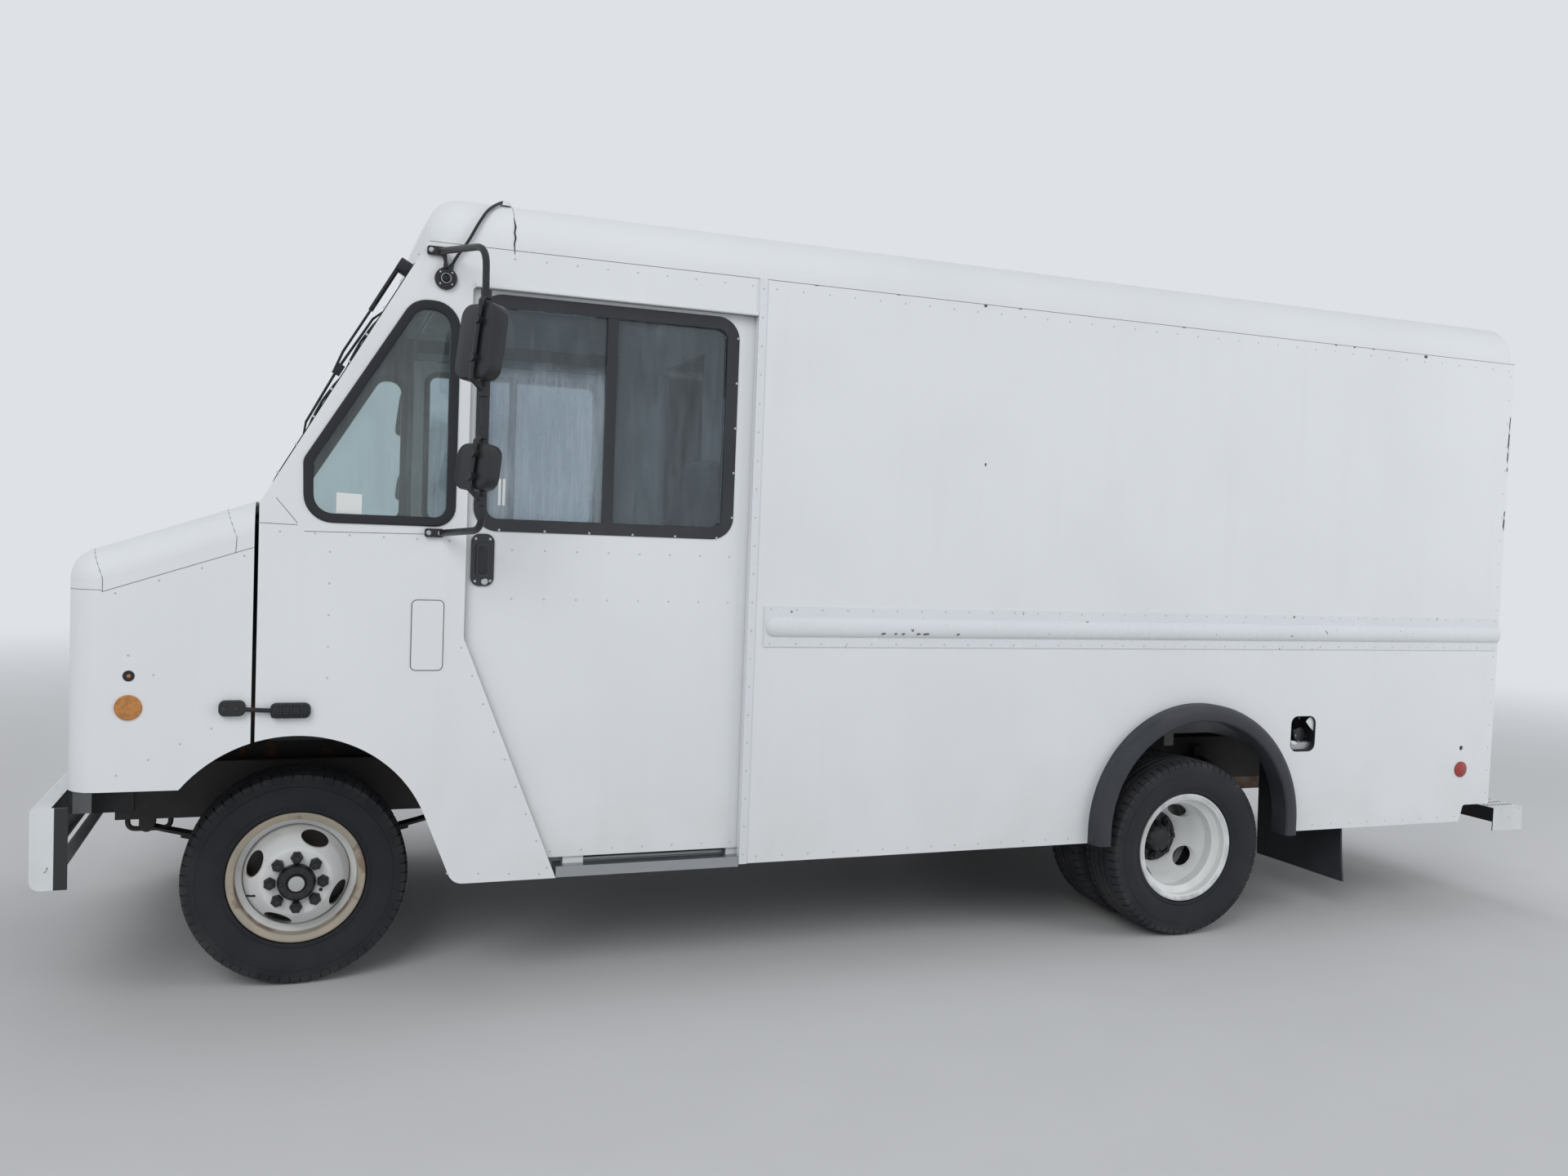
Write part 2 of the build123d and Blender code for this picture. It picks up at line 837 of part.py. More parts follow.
def rim(middle, outset, station, side):
    """Rim about a middle plane with its disc pad outset by wheel_offset (+1) or inset (-1)."""
    barrel = spun([(middle + rim_half - d, r) for d, r in rim_section], station, side)
    pad = middle + outset * wheel_offset
    back = pad - outset * disc_thick
    well = rim_well - rim_wall + over
    disc = spun([(pad, spindle_bore), (pad, pad_radius), (pad - outset * disc_bow, disc_shoulder),
                 (pad - outset * (wheel_offset - 20), well), (pad - outset * (wheel_offset - 8), well),
                 (back - outset * disc_bow, disc_shoulder - 8), (back, pad_radius - 6),
                 (back, spindle_bore)],
                station, side)
    slot = SlotOverall(hand_hole_length, hand_hole_width, rotation=90)
    slot = Rot(90, 0, 0) * extrude(slot, amount=rim_radius, both=True)
    for index in range(hand_hole_count):
        turn = Rot(0, hand_hole_start + index * 360 / hand_hole_count, 0)
        disc -= Pos(at(station), side * pad, wheel_z) * turn * Pos(hand_hole_radius, 0, 0) * slot
    return barrel + disc


def tyre(middle, station, side):
    """Closed ring of rubber seated between the rim's flanges."""
    bead = rim_half - tyre_bead_in
    points = [(bead, rim_bead + seat_gap), (bead, rim_radius + 2)]
    points += [(tyre_width / 2 - inside, radius) for inside, radius in tyre_section]
    both = points + [(-y, r) for y, r in reversed(points)]
    return spun([(middle + y, r) for y, r in both], station, side)


def lug_nuts(pad, station, side):
    """Hexagonal nuts on the disc's pad."""
    nut = Rot(90, 0, 0) * extrude(RegularPolygon(lug_radius, 6), lug_height / 2, both=True)
    hub = Pos(at(station), side * (pad + lug_height / 2), wheel_z)
    turns = [Rot(0, index * 360 / lug_count, 0) for index in range(lug_count)]
    return [hub * turn * Pos(lug_pcd / 2, 0, 0) * nut for turn in turns]


def front_wheel(side):
    """Front rim with its hub, brake disc and nuts."""
    pad = front_middle + wheel_offset
    body = rim(front_middle, 1, 0, side)
    for section in (front_hub_section, front_flange_section, front_disc_section):
        body += spun_from(pad, section, 0, side)
    return body + lug_nuts(pad, 0, side)


def rear_wheels(side):
    """Two rims back to back on one hub with its drum."""
    pad = rear_middle - wheel_offset
    body = rim(rear_middle, -1, wheelbase, side) + rim(inner_middle, 1, wheelbase, side)
    for section in (rear_hub_section, rear_drum_section):
        body += spun_from(pad, section, wheelbase, side)
    return body + lug_nuts(pad, wheelbase, side)


# Cab
def arch_tail(radius):
    """Place where the arch's circle meets its slanted tail."""
    angle = radians(arch_tail_angle)
    return arch_station + radius * cos(angle), arch_z + radius * sin(angle)


def arch_cut():
    """Side-view shape of the front wheel arch: a circle with a slanted tail down to the cab's foot."""
    leave = arch_tail(arch_radius)
    foot = leave[0] + (leave[1] - arch_tail_foot) * tan(radians(arch_tail_angle))
    front = arch_station - arch_radius
    tail = profile([(arch_station, arch_z, 0), (*leave, 0), (foot, arch_tail_foot, 0),
                    (front, arch_tail_foot, 0),
                    (front, arch_z, 0)])
    return Pos(at(arch_station), arch_z) * Circle(arch_radius) + tail


def corner_at(face, station, height):
    """The face's corner nearest to a place."""
    return min(face.vertices(), key=lambda v: hypot(v.X - at(station), v.Y - height))


def quarter_window():
    """Outline of the quarter window, whose front edge keeps behind the windshield's slope."""
    knee, high = [cab_front + screen_slope * (z - screen_foot_z) + behind
                  for z, behind in zip((quarter_knee, quarter_high), reversed(quarter_behind))]
    places = [(quarter_rear, quarter_low), (quarter_rear, quarter_high), (high, quarter_high),
              (knee, quarter_knee), (quarter_front, quarter_low)]
    return profile([(*place, radius) for place, radius in zip(places, quarter_rounds)])


def cab_side(side):
    """Cowl panel with the quarter window and arch cut out, the header over the door and an access panel."""
    panel = profile([(cab_front, cowl_foot_z, 0), (cowl_foot_station, cowl_foot_z, 0),
                     (door_front_station, door_kink_z, door_kink_round),
                     (door_front_station, header_z, header_round),
                     (strip_station, header_z, 0), (strip_station, eaves_height, 0),
                     (screen_head_station, eaves_height, 0), (cab_front, screen_foot_z, 0)])
    panel -= arch_cut()
    leave = arch_tail(arch_radius)
    foot = leave[0] + (leave[1] - cowl_foot_z) * tan(radians(arch_tail_angle))
    panel = fillet(corner_at(panel, foot, cowl_foot_z), arch_foot_round)
    panel -= offset(quarter_window(), -gasket_lip)
    access = upright(rounded(access_size, access_station, access_z), side * half,
                     side * (half + access_thick))
    return upright(panel, side * inner_skin, side * half) + access


def quarter_gasket(side):
    """Rubber ring that clips over the edge of the quarter window's hole."""
    outside = quarter_window()
    opening = offset(outside, -gasket_width)
    lip = upright(outside - opening, side * half, side * (half + gasket_proud))
    neck = upright(offset(outside, -gasket_lip) - opening, side * (inner_skin - gasket_proud), side * half)
    back = upright(outside - opening, side * (inner_skin - gasket_proud), side * inner_skin)
    return lip + neck + back


def quarter_glass(side):
    """Pane inside the quarter gasket."""
    face = offset(quarter_window(), -gasket_width - seat_gap)
    return upright(face, side * (half - skin / 2), side * (half - skin / 2 + glass_thick))


def roof_section(inset=0):
    """Closed (y, z) face of the roof above the eaves."""
    edge = half - inset
    cove = roof_cove - inset
    spring = eaves_height + roof_lift
    top = spring + cove
    flat = half - roof_cove
    lines = [Line((edge, eaves_height), (edge, spring)),
             RadiusArc((edge, spring), (flat, top), -cove),
             ThreePointArc((flat, top), (0, top + roof_crown), (-flat, top)),
             RadiusArc((-flat, top), (-edge, spring), -cove),
             Line((-edge, spring), (-edge, eaves_height)),
             Line((-edge, eaves_height), (edge, eaves_height))]
    return make_face(Wire([line.edge() for line in lines]))


def end_edges(solid, station):
    """Edges of the roof's end face above the eaves."""
    return [edge for edge in solid.edges()
            if abs(edge.center().X - at(station)) < 1 and edge.center().Z > eaves_height + 1
            and edge.bounding_box().size.X < 1]


def roof():
    """Coved roof shell from the cap to the rear, with a rounded tail."""
    outer = raised(roof_section(), cap_rear, body_rear)
    outer = fillet(end_edges(outer, body_rear), tail_round)
    return outer - raised(roof_section(roof_thick), cap_rear - over, body_rear - roof_thick)


def front_cap():
    """Moulded cap over the windshield with a bullnose front."""
    inside = screen_head_station + roof_thick
    outer = raised(roof_section(), screen_head_station, cap_rear)
    outer = fillet(end_edges(outer, screen_head_station), cap_round)
    inner = raised(roof_section(roof_thick), inside, cap_rear + over)
    return outer - fillet(end_edges(inner, inside), cap_round - roof_thick)


def screen_plane():
    """Outer plane of the windshield, Y across and up along the slope."""
    angle = atan2(screen_slope, 1)
    return Plane(origin=(at(cab_front), 0, screen_foot_z), x_dir=(0, -1, 0),
                 z_dir=(-cos(angle), 0, sin(angle)))


def pane(inset):
    """Faces of the two windshield panes in the slope's plane."""
    middle = (screen_post + pane_width) / 2
    height = screen_low_border + pane_height / 2
    shape = RectangleRounded(pane_width - 2 * inset, pane_height - 2 * inset, screen_round - inset)
    return [Pos(side * middle, height) * shape for side in (-1, 1)]


def windshield_frame():
    """Sloping frame with two openings, and the firewall below it with the engine's gap."""
    sheet = Pos(0, screen_length / 2) * Rectangle(2 * inner_skin, screen_length)
    for opening in pane(0):
        sheet -= opening
    frame = extrude(screen_plane() * sheet, -screen_thick)
    wall = block(cab_front, cab_inside, -inner_skin, inner_skin, toe_z, screen_foot_z + firewall_lap)
    wall -= block(cab_front - over, cab_inside + over, -engine_gap_y, engine_gap_y, toe_z - over,
                  engine_gap_z)
    above = block(cab_front, screen_head_station, -half, half, eaves_height, eaves_height + screen_trim)
    return frame + wall - above


def windshield():
    """Two flat panes set in the frame."""
    plane = screen_plane().offset(-screen_set_back)
    return [extrude(plane * face, -glass_thick) for face in pane(seat_gap)]


# Floor and cargo body
def step_well(side):
    """Step plate with its three walls below the door."""
    well_y = side * (liner_inner - step_in)
    low = step_z - step_plate
    body = block(step_front, step_rear, well_y, side * (door_inner - step_side_gap), low, step_z)
    body += block(step_front, step_rear, well_y, well_y - side * step_plate, low, floor_top)
    for station in (step_front, step_rear):
        body += block(station - step_plate / 2, station + step_plate / 2, well_y - side * step_plate,
                      side * liner_inner, low, floor_top)
    return body


def wheelhouse(side):
    """Box over the rear wheels, open below."""
    shell = block(house_front - house_thick, house_rear + house_thick, side * (house_in - house_thick),
                  side * inner_skin, floor_top - floor_thick, house_top)
    return shell - block(house_front, house_rear, side * house_in, side * half,
                         floor_top - floor_thick - over, house_top - house_thick)


def floor():
    """Cab and cargo floor with toe board, cross sills, step wells and rear wheelhouses."""
    low = floor_top - floor_thick
    cab = slab([(cab_inside, toe_z, 0), (toe_station, toe_z, 0), (door_front_station, floor_top, 0),
                (strip_station, floor_top, 0), (strip_station, low, 0),
                (door_front_station - toe_thick, low, 0),
                (toe_station - toe_thick / 2, toe_z - toe_thick, 0), (cab_inside, toe_z - toe_thick, 0)],
               -liner_inner, liner_inner)
    cover = engine_gap_y + cover_wall
    cab -= block(cab_front, cover_rear, -cover, cover, low - sill_depth, toe_z + sill_depth)
    body = cab + block(strip_station, pocket_end + post_width, -liner_inner, liner_inner, low, floor_top)
    body += block(pocket_end + post_width, body_rear - floor_rear_gap, -inner_skin, inner_skin, low,
                  floor_top)
    for side in (-1, 1):
        body -= block(step_front, step_rear, side * (liner_inner - step_in), side * half, low - over,
                      floor_top + over)
        body += step_well(side)
        body -= block(house_front, house_rear, side * house_in, side * half, low - over, floor_top + over)
        body += wheelhouse(side)
    for station in sill_stations:
        at_wheels = house_front - sill_wheel_margin < station < house_rear
        reach = sill_reach_at_wheels if at_wheels else inner_skin - sill_in
        body += block(station, station + sill_width, -reach, reach, rail_top, low)
    return body


def rear_arch():
    """Side-view hole of the rear wheel arch in the side skin."""
    radius = flare_radius - flare_width
    arch = Pos(at(flare_station), flare_z) * Circle(radius)
    return arch + Pos(at(flare_station), flare_z - radius / 2) * Rectangle(2 * radius, radius)


def side_panel(side):
    """Cargo side skin with wheel arch, filler hole and bumper notch, and the posts inside it."""
    low_round, high_round = rear_notch_rounds
    skin_face = profile([(strip_station, body_bottom, 0), (rear_notch_station, body_bottom, low_round),
                         (rear_notch_station + rear_notch_run, rear_notch_z, high_round),
                         (body_rear, rear_notch_z, 0), (body_rear, eaves_height, 0),
                         (strip_station, eaves_height, 0)])
    skin_face -= rear_arch()
    if side < 0:
        skin_face -= rounded(fuel_size, fuel_station, fuel_z)
        skin_face -= Pos(at(marker_station), marker_hole_z) * Circle(marker_hole)
    body = upright(skin_face, side * inner_skin, side * half)
    for station in post_stations:
        over_house = house_front < station + post_width < house_rear
        body += block(station, station + post_width, side * inner_skin, side * (inner_skin - post_depth),
                      house_top if over_house else floor_top, eaves_height - post_top_gap)
    return body + block(pocket_end, pocket_end + post_width, side * inner_skin, side * liner_inner,
                        body_bottom, eaves_height - liner_top)


def pocket_liner(side):
    """Inner wall of the door pocket, from the floor of the pocket to the eaves."""
    return block(strip_station, pocket_end, side * liner_inner, side * liner_outer, body_bottom,
                 eaves_height - liner_top)


def bulkhead():
    """Partition behind the cab with a doorway in the middle."""
    rear = bulkhead_station + bulkhead_thick
    wall = block(bulkhead_station, rear, -liner_inner, liner_inner, floor_top, eaves_height + bulkhead_rise)
    return wall - block(bulkhead_station - over, rear + over, -doorway_half, doorway_half, floor_top - over,
                        doorway_top)


def rear_portal():
    """Rear frame with corner posts, header and sill around the cargo door."""
    head = raised(roof_section(roof_thick), body_rear - roof_thick - portal_thick, body_rear - roof_thick)
    posts = block(body_rear - portal_thick, body_rear, -inner_skin, inner_skin, rear_notch_z + portal_foot,
                  eaves_height)
    opening = block(body_rear - 4 * portal_thick, body_rear + over, -rear_opening_y, rear_opening_y,
                    floor_top, rear_opening_top)
    return head + posts - opening


def rear_door():
    """Roll-up door: slats with grooves between them, and a grab handle."""
    low, high = floor_top + seat_gap, rear_opening_top + slat_lap
    pitch = (high - low) / slat_count
    wide = rear_opening_y + slat_lap
    front = body_rear - portal_thick - slat_gap - slat_thick
    face = front + slat_thick
    body = block(front, face, -wide, wide, low, high)
    for row in range(1, slat_count):
        middle = low + row * pitch
        body -= block(face - slat_groove_deep, face + over, -wide - over, wide + over,
                      middle - slat_groove_half, middle + slat_groove_half)
    foot = low + handle_place * pitch
    return body + block(face, face + handle_out, -handle_half, handle_half, foot, foot + handle_high)


# Hood
def nose_edges(solid, front, side_y):
    """Front vertical edges, the front top edge and the two sloping top edges."""
    chosen = []
    for edge in solid.edges():
        middle = edge.center()
        size = edge.bounding_box().size
        on_front = abs(middle.X - at(front)) < 1
        high = middle.Z > grille_low
        if on_front and (size.Z > hood_round or size.Y > hood_round and high):
            chosen.append(edge)
        elif abs(abs(middle.Y) - side_y) < 1 and size.X > hood_round and high:
            chosen.append(edge)
    return chosen


def nose(inset, rear, foot):
    """Wedge of the nose with rounded edges, set in from the outside by inset."""
    slope = tan(radians(hood_slope))
    front = hood_front + inset
    wide = half - inset
    top = hood_front_top - inset + inset * slope
    solid = slab([(front, foot, 0), (rear, foot, 0), (rear, top + (rear - front) * slope, 0),
                  (front, top, 0)],
                 -wide, wide)
    return fillet(nose_edges(solid, front, wide), hood_round - inset)


def hood_lug(side):
    """Hinge lug at the front foot of the hood."""
    wide = (side * (hinge_y - hinge_lug_half), side * (hinge_y + hinge_lug_half))
    below, middle, above = hinge_lug_heights
    lug = block(hinge_station - below, hood_front + hood_wall, *wide, hood_foot - below, hood_foot + above)
    return lug + block(hinge_station - hinge_lug_reach, hinge_station + hinge_lug_reach, *wide,
                       hinge_z - hinge_lug_reach, hood_foot + middle)


def hood_shell():
    """One-piece nose: sides, sloping top and front with rounded edges, arches, grille and lamps cut out."""
    shell = nose(0, hood_rear, hood_foot) - nose(hood_wall, hood_rear + hood_round, hood_foot - hood_round)
    shell -= upright(arch_cut(), -half - over, half + over)
    face = (hood_front - over, hood_front + hood_wall + over)
    shell -= block(*face, -grille_half, grille_half, grille_low, grille_high)
    for side in (-1, 1):
        shell -= tube_x(headlamp_radius, *face, side * headlamp_y, headlamp_z)
        shell += hood_lug(side)
        reach = hinge_lug_half + over
        shell -= tube_y(hinge_radius + pin_gap, hinge_station, hinge_z, side * (hinge_y - reach),
                        side * (hinge_y + reach))
    return shell - tube_y(hood_hole, amber_station, hood_hole_z, -half - over, -half + hood_wall + over)


def grille():
    """Frame with horizontal bars in the hood's front opening."""
    front = hood_front - grille_proud
    body = block(front, hood_front, -grille_half - grille_border, grille_half + grille_border,
                 grille_low - grille_border, grille_high + grille_border)
    body -= block(front - over, hood_front + over, grille_edge - grille_half, grille_half - grille_edge,
                  grille_low + grille_edge, grille_high - grille_edge)
    pitch = (grille_high - grille_low) / grille_bars
    for row in range(1, grille_bars):
        z = grille_low + row * pitch
        body += block(front, hood_front + grille_deep, bar_lap - grille_half, grille_half - bar_lap,
                      z - bar_half, z + bar_half)
    for y in (-grille_half / 3, grille_half / 3):
        body += block(front + 2, hood_front + grille_edge, y - mullion_half, y + mullion_half,
                      grille_low + bar_lap, grille_high - bar_lap)
    return body


def headlamps():
    """Round lamps in bezels."""
    front = hood_front - bezel_proud
    return [tube_x(headlamp_radius + bezel_width, front, hood_front, side * headlamp_y, headlamp_z)
            + tube_x(headlamp_radius - seat_gap, front, hood_front + headlamp_deep, side * headlamp_y,
                     headlamp_z)
            for side in (-1, 1)]


def hood_markers():
    """Amber side reflectors and front turn signals."""
    parts = []
    wide, high = signal_half
    for side in (-1, 1):
        parts.append(tube_y(amber_radius, amber_station, amber_z, side * half, side * (half + amber_proud)))
        parts.append(block(hood_front - signal_proud, hood_front, side * (headlamp_y - wide),
                           side * (headlamp_y + wide), signal_z - high, signal_z + high))
    return parts


def side_pads(place, size, proud):
    """Rounded rubber pads on both body sides."""
    return [upright(rounded(size, *place), side * half, side * (half + proud)) for side in (-1, 1)]


# Doors
def door_edge():
    """Front outline of the door from its foot up, shifted forward behind the cowl."""
    foot = door_front_station + (door_kink_z - door_bottom) * door_slant - door_overlap
    return [(foot, door_bottom, door_foot_round),
            (door_front_station - door_overlap, door_kink_z, door_edge_round)]


def window_face(inset):
    """Face of the door's window frame, inset from its outside."""
    size = (frame_right - frame_left - 2 * inset, frame_high - frame_low - 2 * inset, frame_round - inset)
    return rounded(size, (frame_left + frame_right) / 2, frame_middle)


def divider(extra):
    """Face of the upright bar between the door's two panes."""
    height = frame_high - frame_low - 2 * frame_width
    return Pos(at(divider_station), frame_middle) * Rectangle(divider_width + 2 * extra, height)


def door_panel(side):
    """Sliding door slab with its window hole, top shoes and bottom shoes."""
    front = door_front_station - door_overlap
    face = profile(door_edge() + [(front, door_top, 0), (door_rear, door_top, 0),
                                  (door_rear, door_bottom, 0)])
    body = upright(face - window_face(frame_hole_lap), side * door_inner, side * door_outer)
    wide = (side * (door_mid - shoe_thick / 2), side * (door_mid + shoe_thick / 2))
    last = door_rear - shoe_length - shoe_inset
    for station in (door_front_station + shoe_inset, last):
        body += block(station, station + shoe_length, *wide, door_top, door_top + shoe_height)
    for station in (cowl_foot_station + shoe_inset, last):
        body += block(station, station + shoe_length, *wide, sill_low + sill_base + shoe_sill_gap,
                      door_bottom)
    return body


def door_frame(side):
    """Black window frame on the door with its divider bar."""
    opening = window_face(frame_width)
    ring = upright(window_face(0) - opening, side * door_outer, side * (door_outer + frame_proud))
    neck = upright(window_face(frame_hole_lap) - opening, side * door_inner, side * door_outer)
    return ring + neck + upright(divider(0), side * (door_inner + divider_set_back), side * door_outer)


def door_glass(side):
    """Two panes in the door's frame."""
    panes = window_face(frame_width + seat_gap) - divider(seat_gap)
    return upright(panes, side * (door_mid - glass_thick / 2), side * (door_mid + glass_thick / 2))


def door_lock(side):
    """Lock plate with a raised grip on the door's leading edge."""
    face = side * (door_outer + lock_thick)
    plate = upright(rounded(lock_size, lock_station, lock_z), side * door_outer, face)
    return plate + upright(rounded(grip_size, lock_station, lock_z), face, face + side * grip_thick)


def door_tracks():
    """Slotted rails that the doors' shoes run in, above the doors and in the sills."""
    parts = []
    end = pocket_end - seat_gap
    low = door_top + track_gap
    wide = shoe_thick / 2 + seat_gap
    for side in (-1, 1):
        slot = (side * (door_mid - wide), side * (door_mid + wide))
        top = block(door_front_station, end, side * liner_outer, side * inner_skin, low, low + track_height)
        top -= block(door_front_station - over, end + over, *slot, low - over,
                     door_top + shoe_height + over)
        sill = block(cowl_foot_station, strip_station, side * liner_outer, side * half, sill_low, sill_high)
        sill += block(strip_station, end, side * liner_outer, side * inner_skin, sill_low + sill_base,
                      sill_high)
        sill -= block(cowl_foot_station - over, end + over, *slot, sill_low + sill_base + over,
                      sill_high + over)
        parts += [top, sill]
    return parts


# Trim, rubber and lamps
def body_trim():
    """Rub rails with their half-round mouldings, and the strips over the pocket seams."""
    parts = []
    end = body_rear - belt_rear_gap
    flat = bead_proud / bead_half
    for side in (-1, 1):
        belt = block(belt_station, end, side * half, side * (half + belt_proud), belt_low, belt_high)
        bead = tube_x(bead_half, belt_station + bead_start, end, side * half, bead_middle)
        bead += Pos(at(belt_station + bead_start), side * half, bead_middle) * Sphere(bead_half)
        bead = Pos(0, side * half * (1 - flat), 0) * scale(bead, by=(1, flat, 1))
        outside = block(belt_station, body_rear, side * half, side * (half + bead_half), belt_low,
                        belt_high)
        parts.append(belt + (bead & outside))
        parts.append(block(strip_station, strip_station + strip_width, side * half,
                           side * (half + strip_proud),
                           body_bottom, eaves_height))
    return parts


def flare_band(radius, width):
    """Side-view ring round the rear arch, down to the body's foot."""
    faces = []
    for edge in (radius, radius - width):
        face = Pos(at(flare_station), flare_z) * Circle(edge)
        face += (Pos(at(flare_station), (flare_z + body_bottom) / 2)
                 * Rectangle(2 * edge, flare_z - body_bottom))
        below = Pos(at(flare_station), body_bottom - radius) * Rectangle(4 * radius, 2 * radius)
        faces.append(face - below)
    return faces[0] - faces[1]


def wheel_flares():
    """Rubber flares round the rear arches."""
    return [upright(flare_band(flare_radius, flare_width), side * half, side * (half + flare_thick))
            + upright(flare_band(flare_radius - flare_lip, flare_thick), side * half,
                      side * (half + flare_proud))
            for side in (-1, 1)]


def mud_flaps():
    """Rubber flaps behind the dual wheels, hung from the floor's underside."""
    inner, outer = flap_span
    return [block(flap_station, flap_station + flap_thick, side * (half - inner), side * (half - outer),
                  flap_low, floor_top - floor_thick) for side in (-1, 1)]


def lamps():
    """Side reflectors, tail lamps and clearance lamps."""
    parts = []
    station, height, radius, proud = side_reflector
    lamp_radius, lamp_proud = tail_lamp_size
    inner, outer, low, high = corner_lamp
    for side in (-1, 1):
        parts.append(tube_y(radius, station, height, side * half, side * (half + proud)))
        for rise in tail_lamp_rises:
            parts.append(tube_x(lamp_radius, body_rear, body_rear + lamp_proud,
                                side * (half - tail_lamp_in), floor_top + rise))
        parts.append(block(body_rear, body_rear + clearance_lamp_proud, side * (half - inner),
                           side * (half - outer), eaves_height - low, eaves_height - high))
    wide, low, high = middle_lamp
    for y in (-middle_lamp_pitch, 0, middle_lamp_pitch):
        parts.append(block(body_rear, body_rear + clearance_lamp_proud, y - wide, y + wide,
                           eaves_height - low, eaves_height - high))
    return parts


def filler_recess():
    """Shallow pan behind the filler hole with its cap."""
    wide = fuel_size[0] / 2 + fuel_pan_lap
    high = fuel_z + fuel_size[1] / 2 + fuel_pan_top
    deep = fuel_pan_deep - inner_skin
    wall = fuel_pan_wall
    shell = block(fuel_station - wide, fuel_station + wide, deep, -inner_skin, floor_top, high)
    shell -= block(fuel_station - wide + wall, fuel_station + wide - wall, deep - wall, -inner_skin - over,
                   floor_top + wall, high - wall)
    along, up = fuel_cap_offset
    return shell + tube_y(fuel_cap_radius, fuel_station + along, fuel_z + up, deep - wall / 2,
                          fuel_cap_out - inner_skin)


# Under the floor
def driveline():
    """Propeller shaft from the gearbox to the differential, with joints at its ends."""
    start, end = shaft_front, wheelbase - pinion_reach[0]
    low, high = wheel_z + pinion_rise, shaft_high
    length = hypot(end - start, high - low)
    tilt = degrees(atan2(high - low, end - start))
    middle = Pos(at((start + end) / 2), 0, (low + high) / 2) * Rot(0, tilt, 0) * Rot(0, 90, 0)
    shaft = middle * Cylinder(shaft_radius, length - shaft_short)
    for place in (-1, 1):
        shaft += middle * Pos(0, 0, place * (length / 2 - yoke_in)) * Cylinder(yoke_radius, yoke_length)
    front_radius, rear_radius = flange_radii
    shaft += tube_x(front_radius, start, start + flange_length, 0, high)
    return shaft + tube_x(rear_radius, end - flange_length, end, 0, low)


def engine():
    """Engine and gearbox as plain blocks on a mount across the rails."""
    front, rear, low, high = engine_mount
    inside = rail_outer - rail_web
    return block(*engine_box) + block(*gearbox_box) + block(front, rear, -inside, inside, low, high)


def radiator():
    """Radiator core with its top tank ahead of the engine."""
    front, rear, wide, high = radiator_core
    tank_front, tank_rear, tank_wide, tank_high = radiator_cap
    core = block(front, rear, -wide, wide, rail_top - rail_web, high)
    return core + block(tank_front, tank_rear, -tank_wide, tank_wide, high, high + tank_high)


def exhaust():
    """Pipe from the engine to a silencer and out to the right ahead of the rear wheels."""
    start, start_z = pipe_start
    bend, turn, end = pipe_turns
    path = FilletPolyline((at(start), silencer_y, start_z), (at(bend), silencer_y, silencer_z),
                          (at(turn), silencer_y, silencer_z), (at(end), half - pipe_end_in, silencer_z),
                          radius=pipe_bends)
    pipe = sweep(Plane(origin=path @ 0, z_dir=path % 0) * Circle(pipe_radius), path=path)
    return pipe + tube_x(silencer_radius, *silencer_span, silencer_y, silencer_z)


def fuel_tank():
    """Tank hung between the rails behind the rear axle."""
    front, rear = cross_stations[-2] + cross_width, cross_stations[-1]
    high = rail_top - tank_top_gap
    return slab([(front, tank_low, tank_round), (rear, tank_low, tank_round), (rear, high, tank_round),
                 (front, high, tank_round)], -tank_half, tank_half)


# Cab furniture
def dash():
    """Dash across the cab with an instrument hump before the driver."""
    low, high = dash_ends
    wide = inner_skin - dash_side_gap
    return slab([(cab_inside, low, 0)] + dash_corners + [(cab_inside, high, 0)], -wide, wide) \
        + slab(hump_corners, *hump_span)


def steering():
    """Steering wheel on a column that leans from the toe board."""
    station, y, z = wheel_centre
    frame = Pos(at(station), y, z) * Rot(0, 90 - wheel_tilt, 0)
    ring_radius, ring_thick = steer_ring
    body = frame * Torus(ring_radius, ring_thick) + frame * Pos(0, 0, -column_lift) * Cylinder(*steer_hub)
    for angle in spoke_angles:
        body += frame * Rot(0, 0, angle) * Pos(spoke_middle, 0, -spoke_size[2] * 2 / 3) * Box(*spoke_size)
    length = (z - toe_z - column_lift) / sin(radians(wheel_tilt))
    body += frame * Pos(0, 0, -length / 2 - column_lift) * Cylinder(column_radius, length - 2 * column_lift)
    foot = station - length * cos(radians(wheel_tilt))
    wide, high = column_foot
    return body + block(foot - wide, foot + wide, y - wide, y + wide, toe_z, toe_z + high)


def seat_base():
    """Driver's seat pedestal with its pan."""
    low, high = pan_heights
    return block(*pedestal, floor_top, low) + block(*pan, low, high)


def seat_cushions():
    """Seat cushion and backrest."""
    low = pan_heights[1] + seat_gap
    rear, front = cushion_height
    cushion = slab([(pan[0] - 20, low, 20), (pan[1] + 10, low, 20), (pan[1] + 10, low + rear, 40),
                    (pan[0] - 20, low + front, 50)], *cushion_span)
    foot = low + back_foot_rise
    back = slab([(s, foot + up, r) for s, up, r in back_corners], *back_span)
    return [cushion, back]


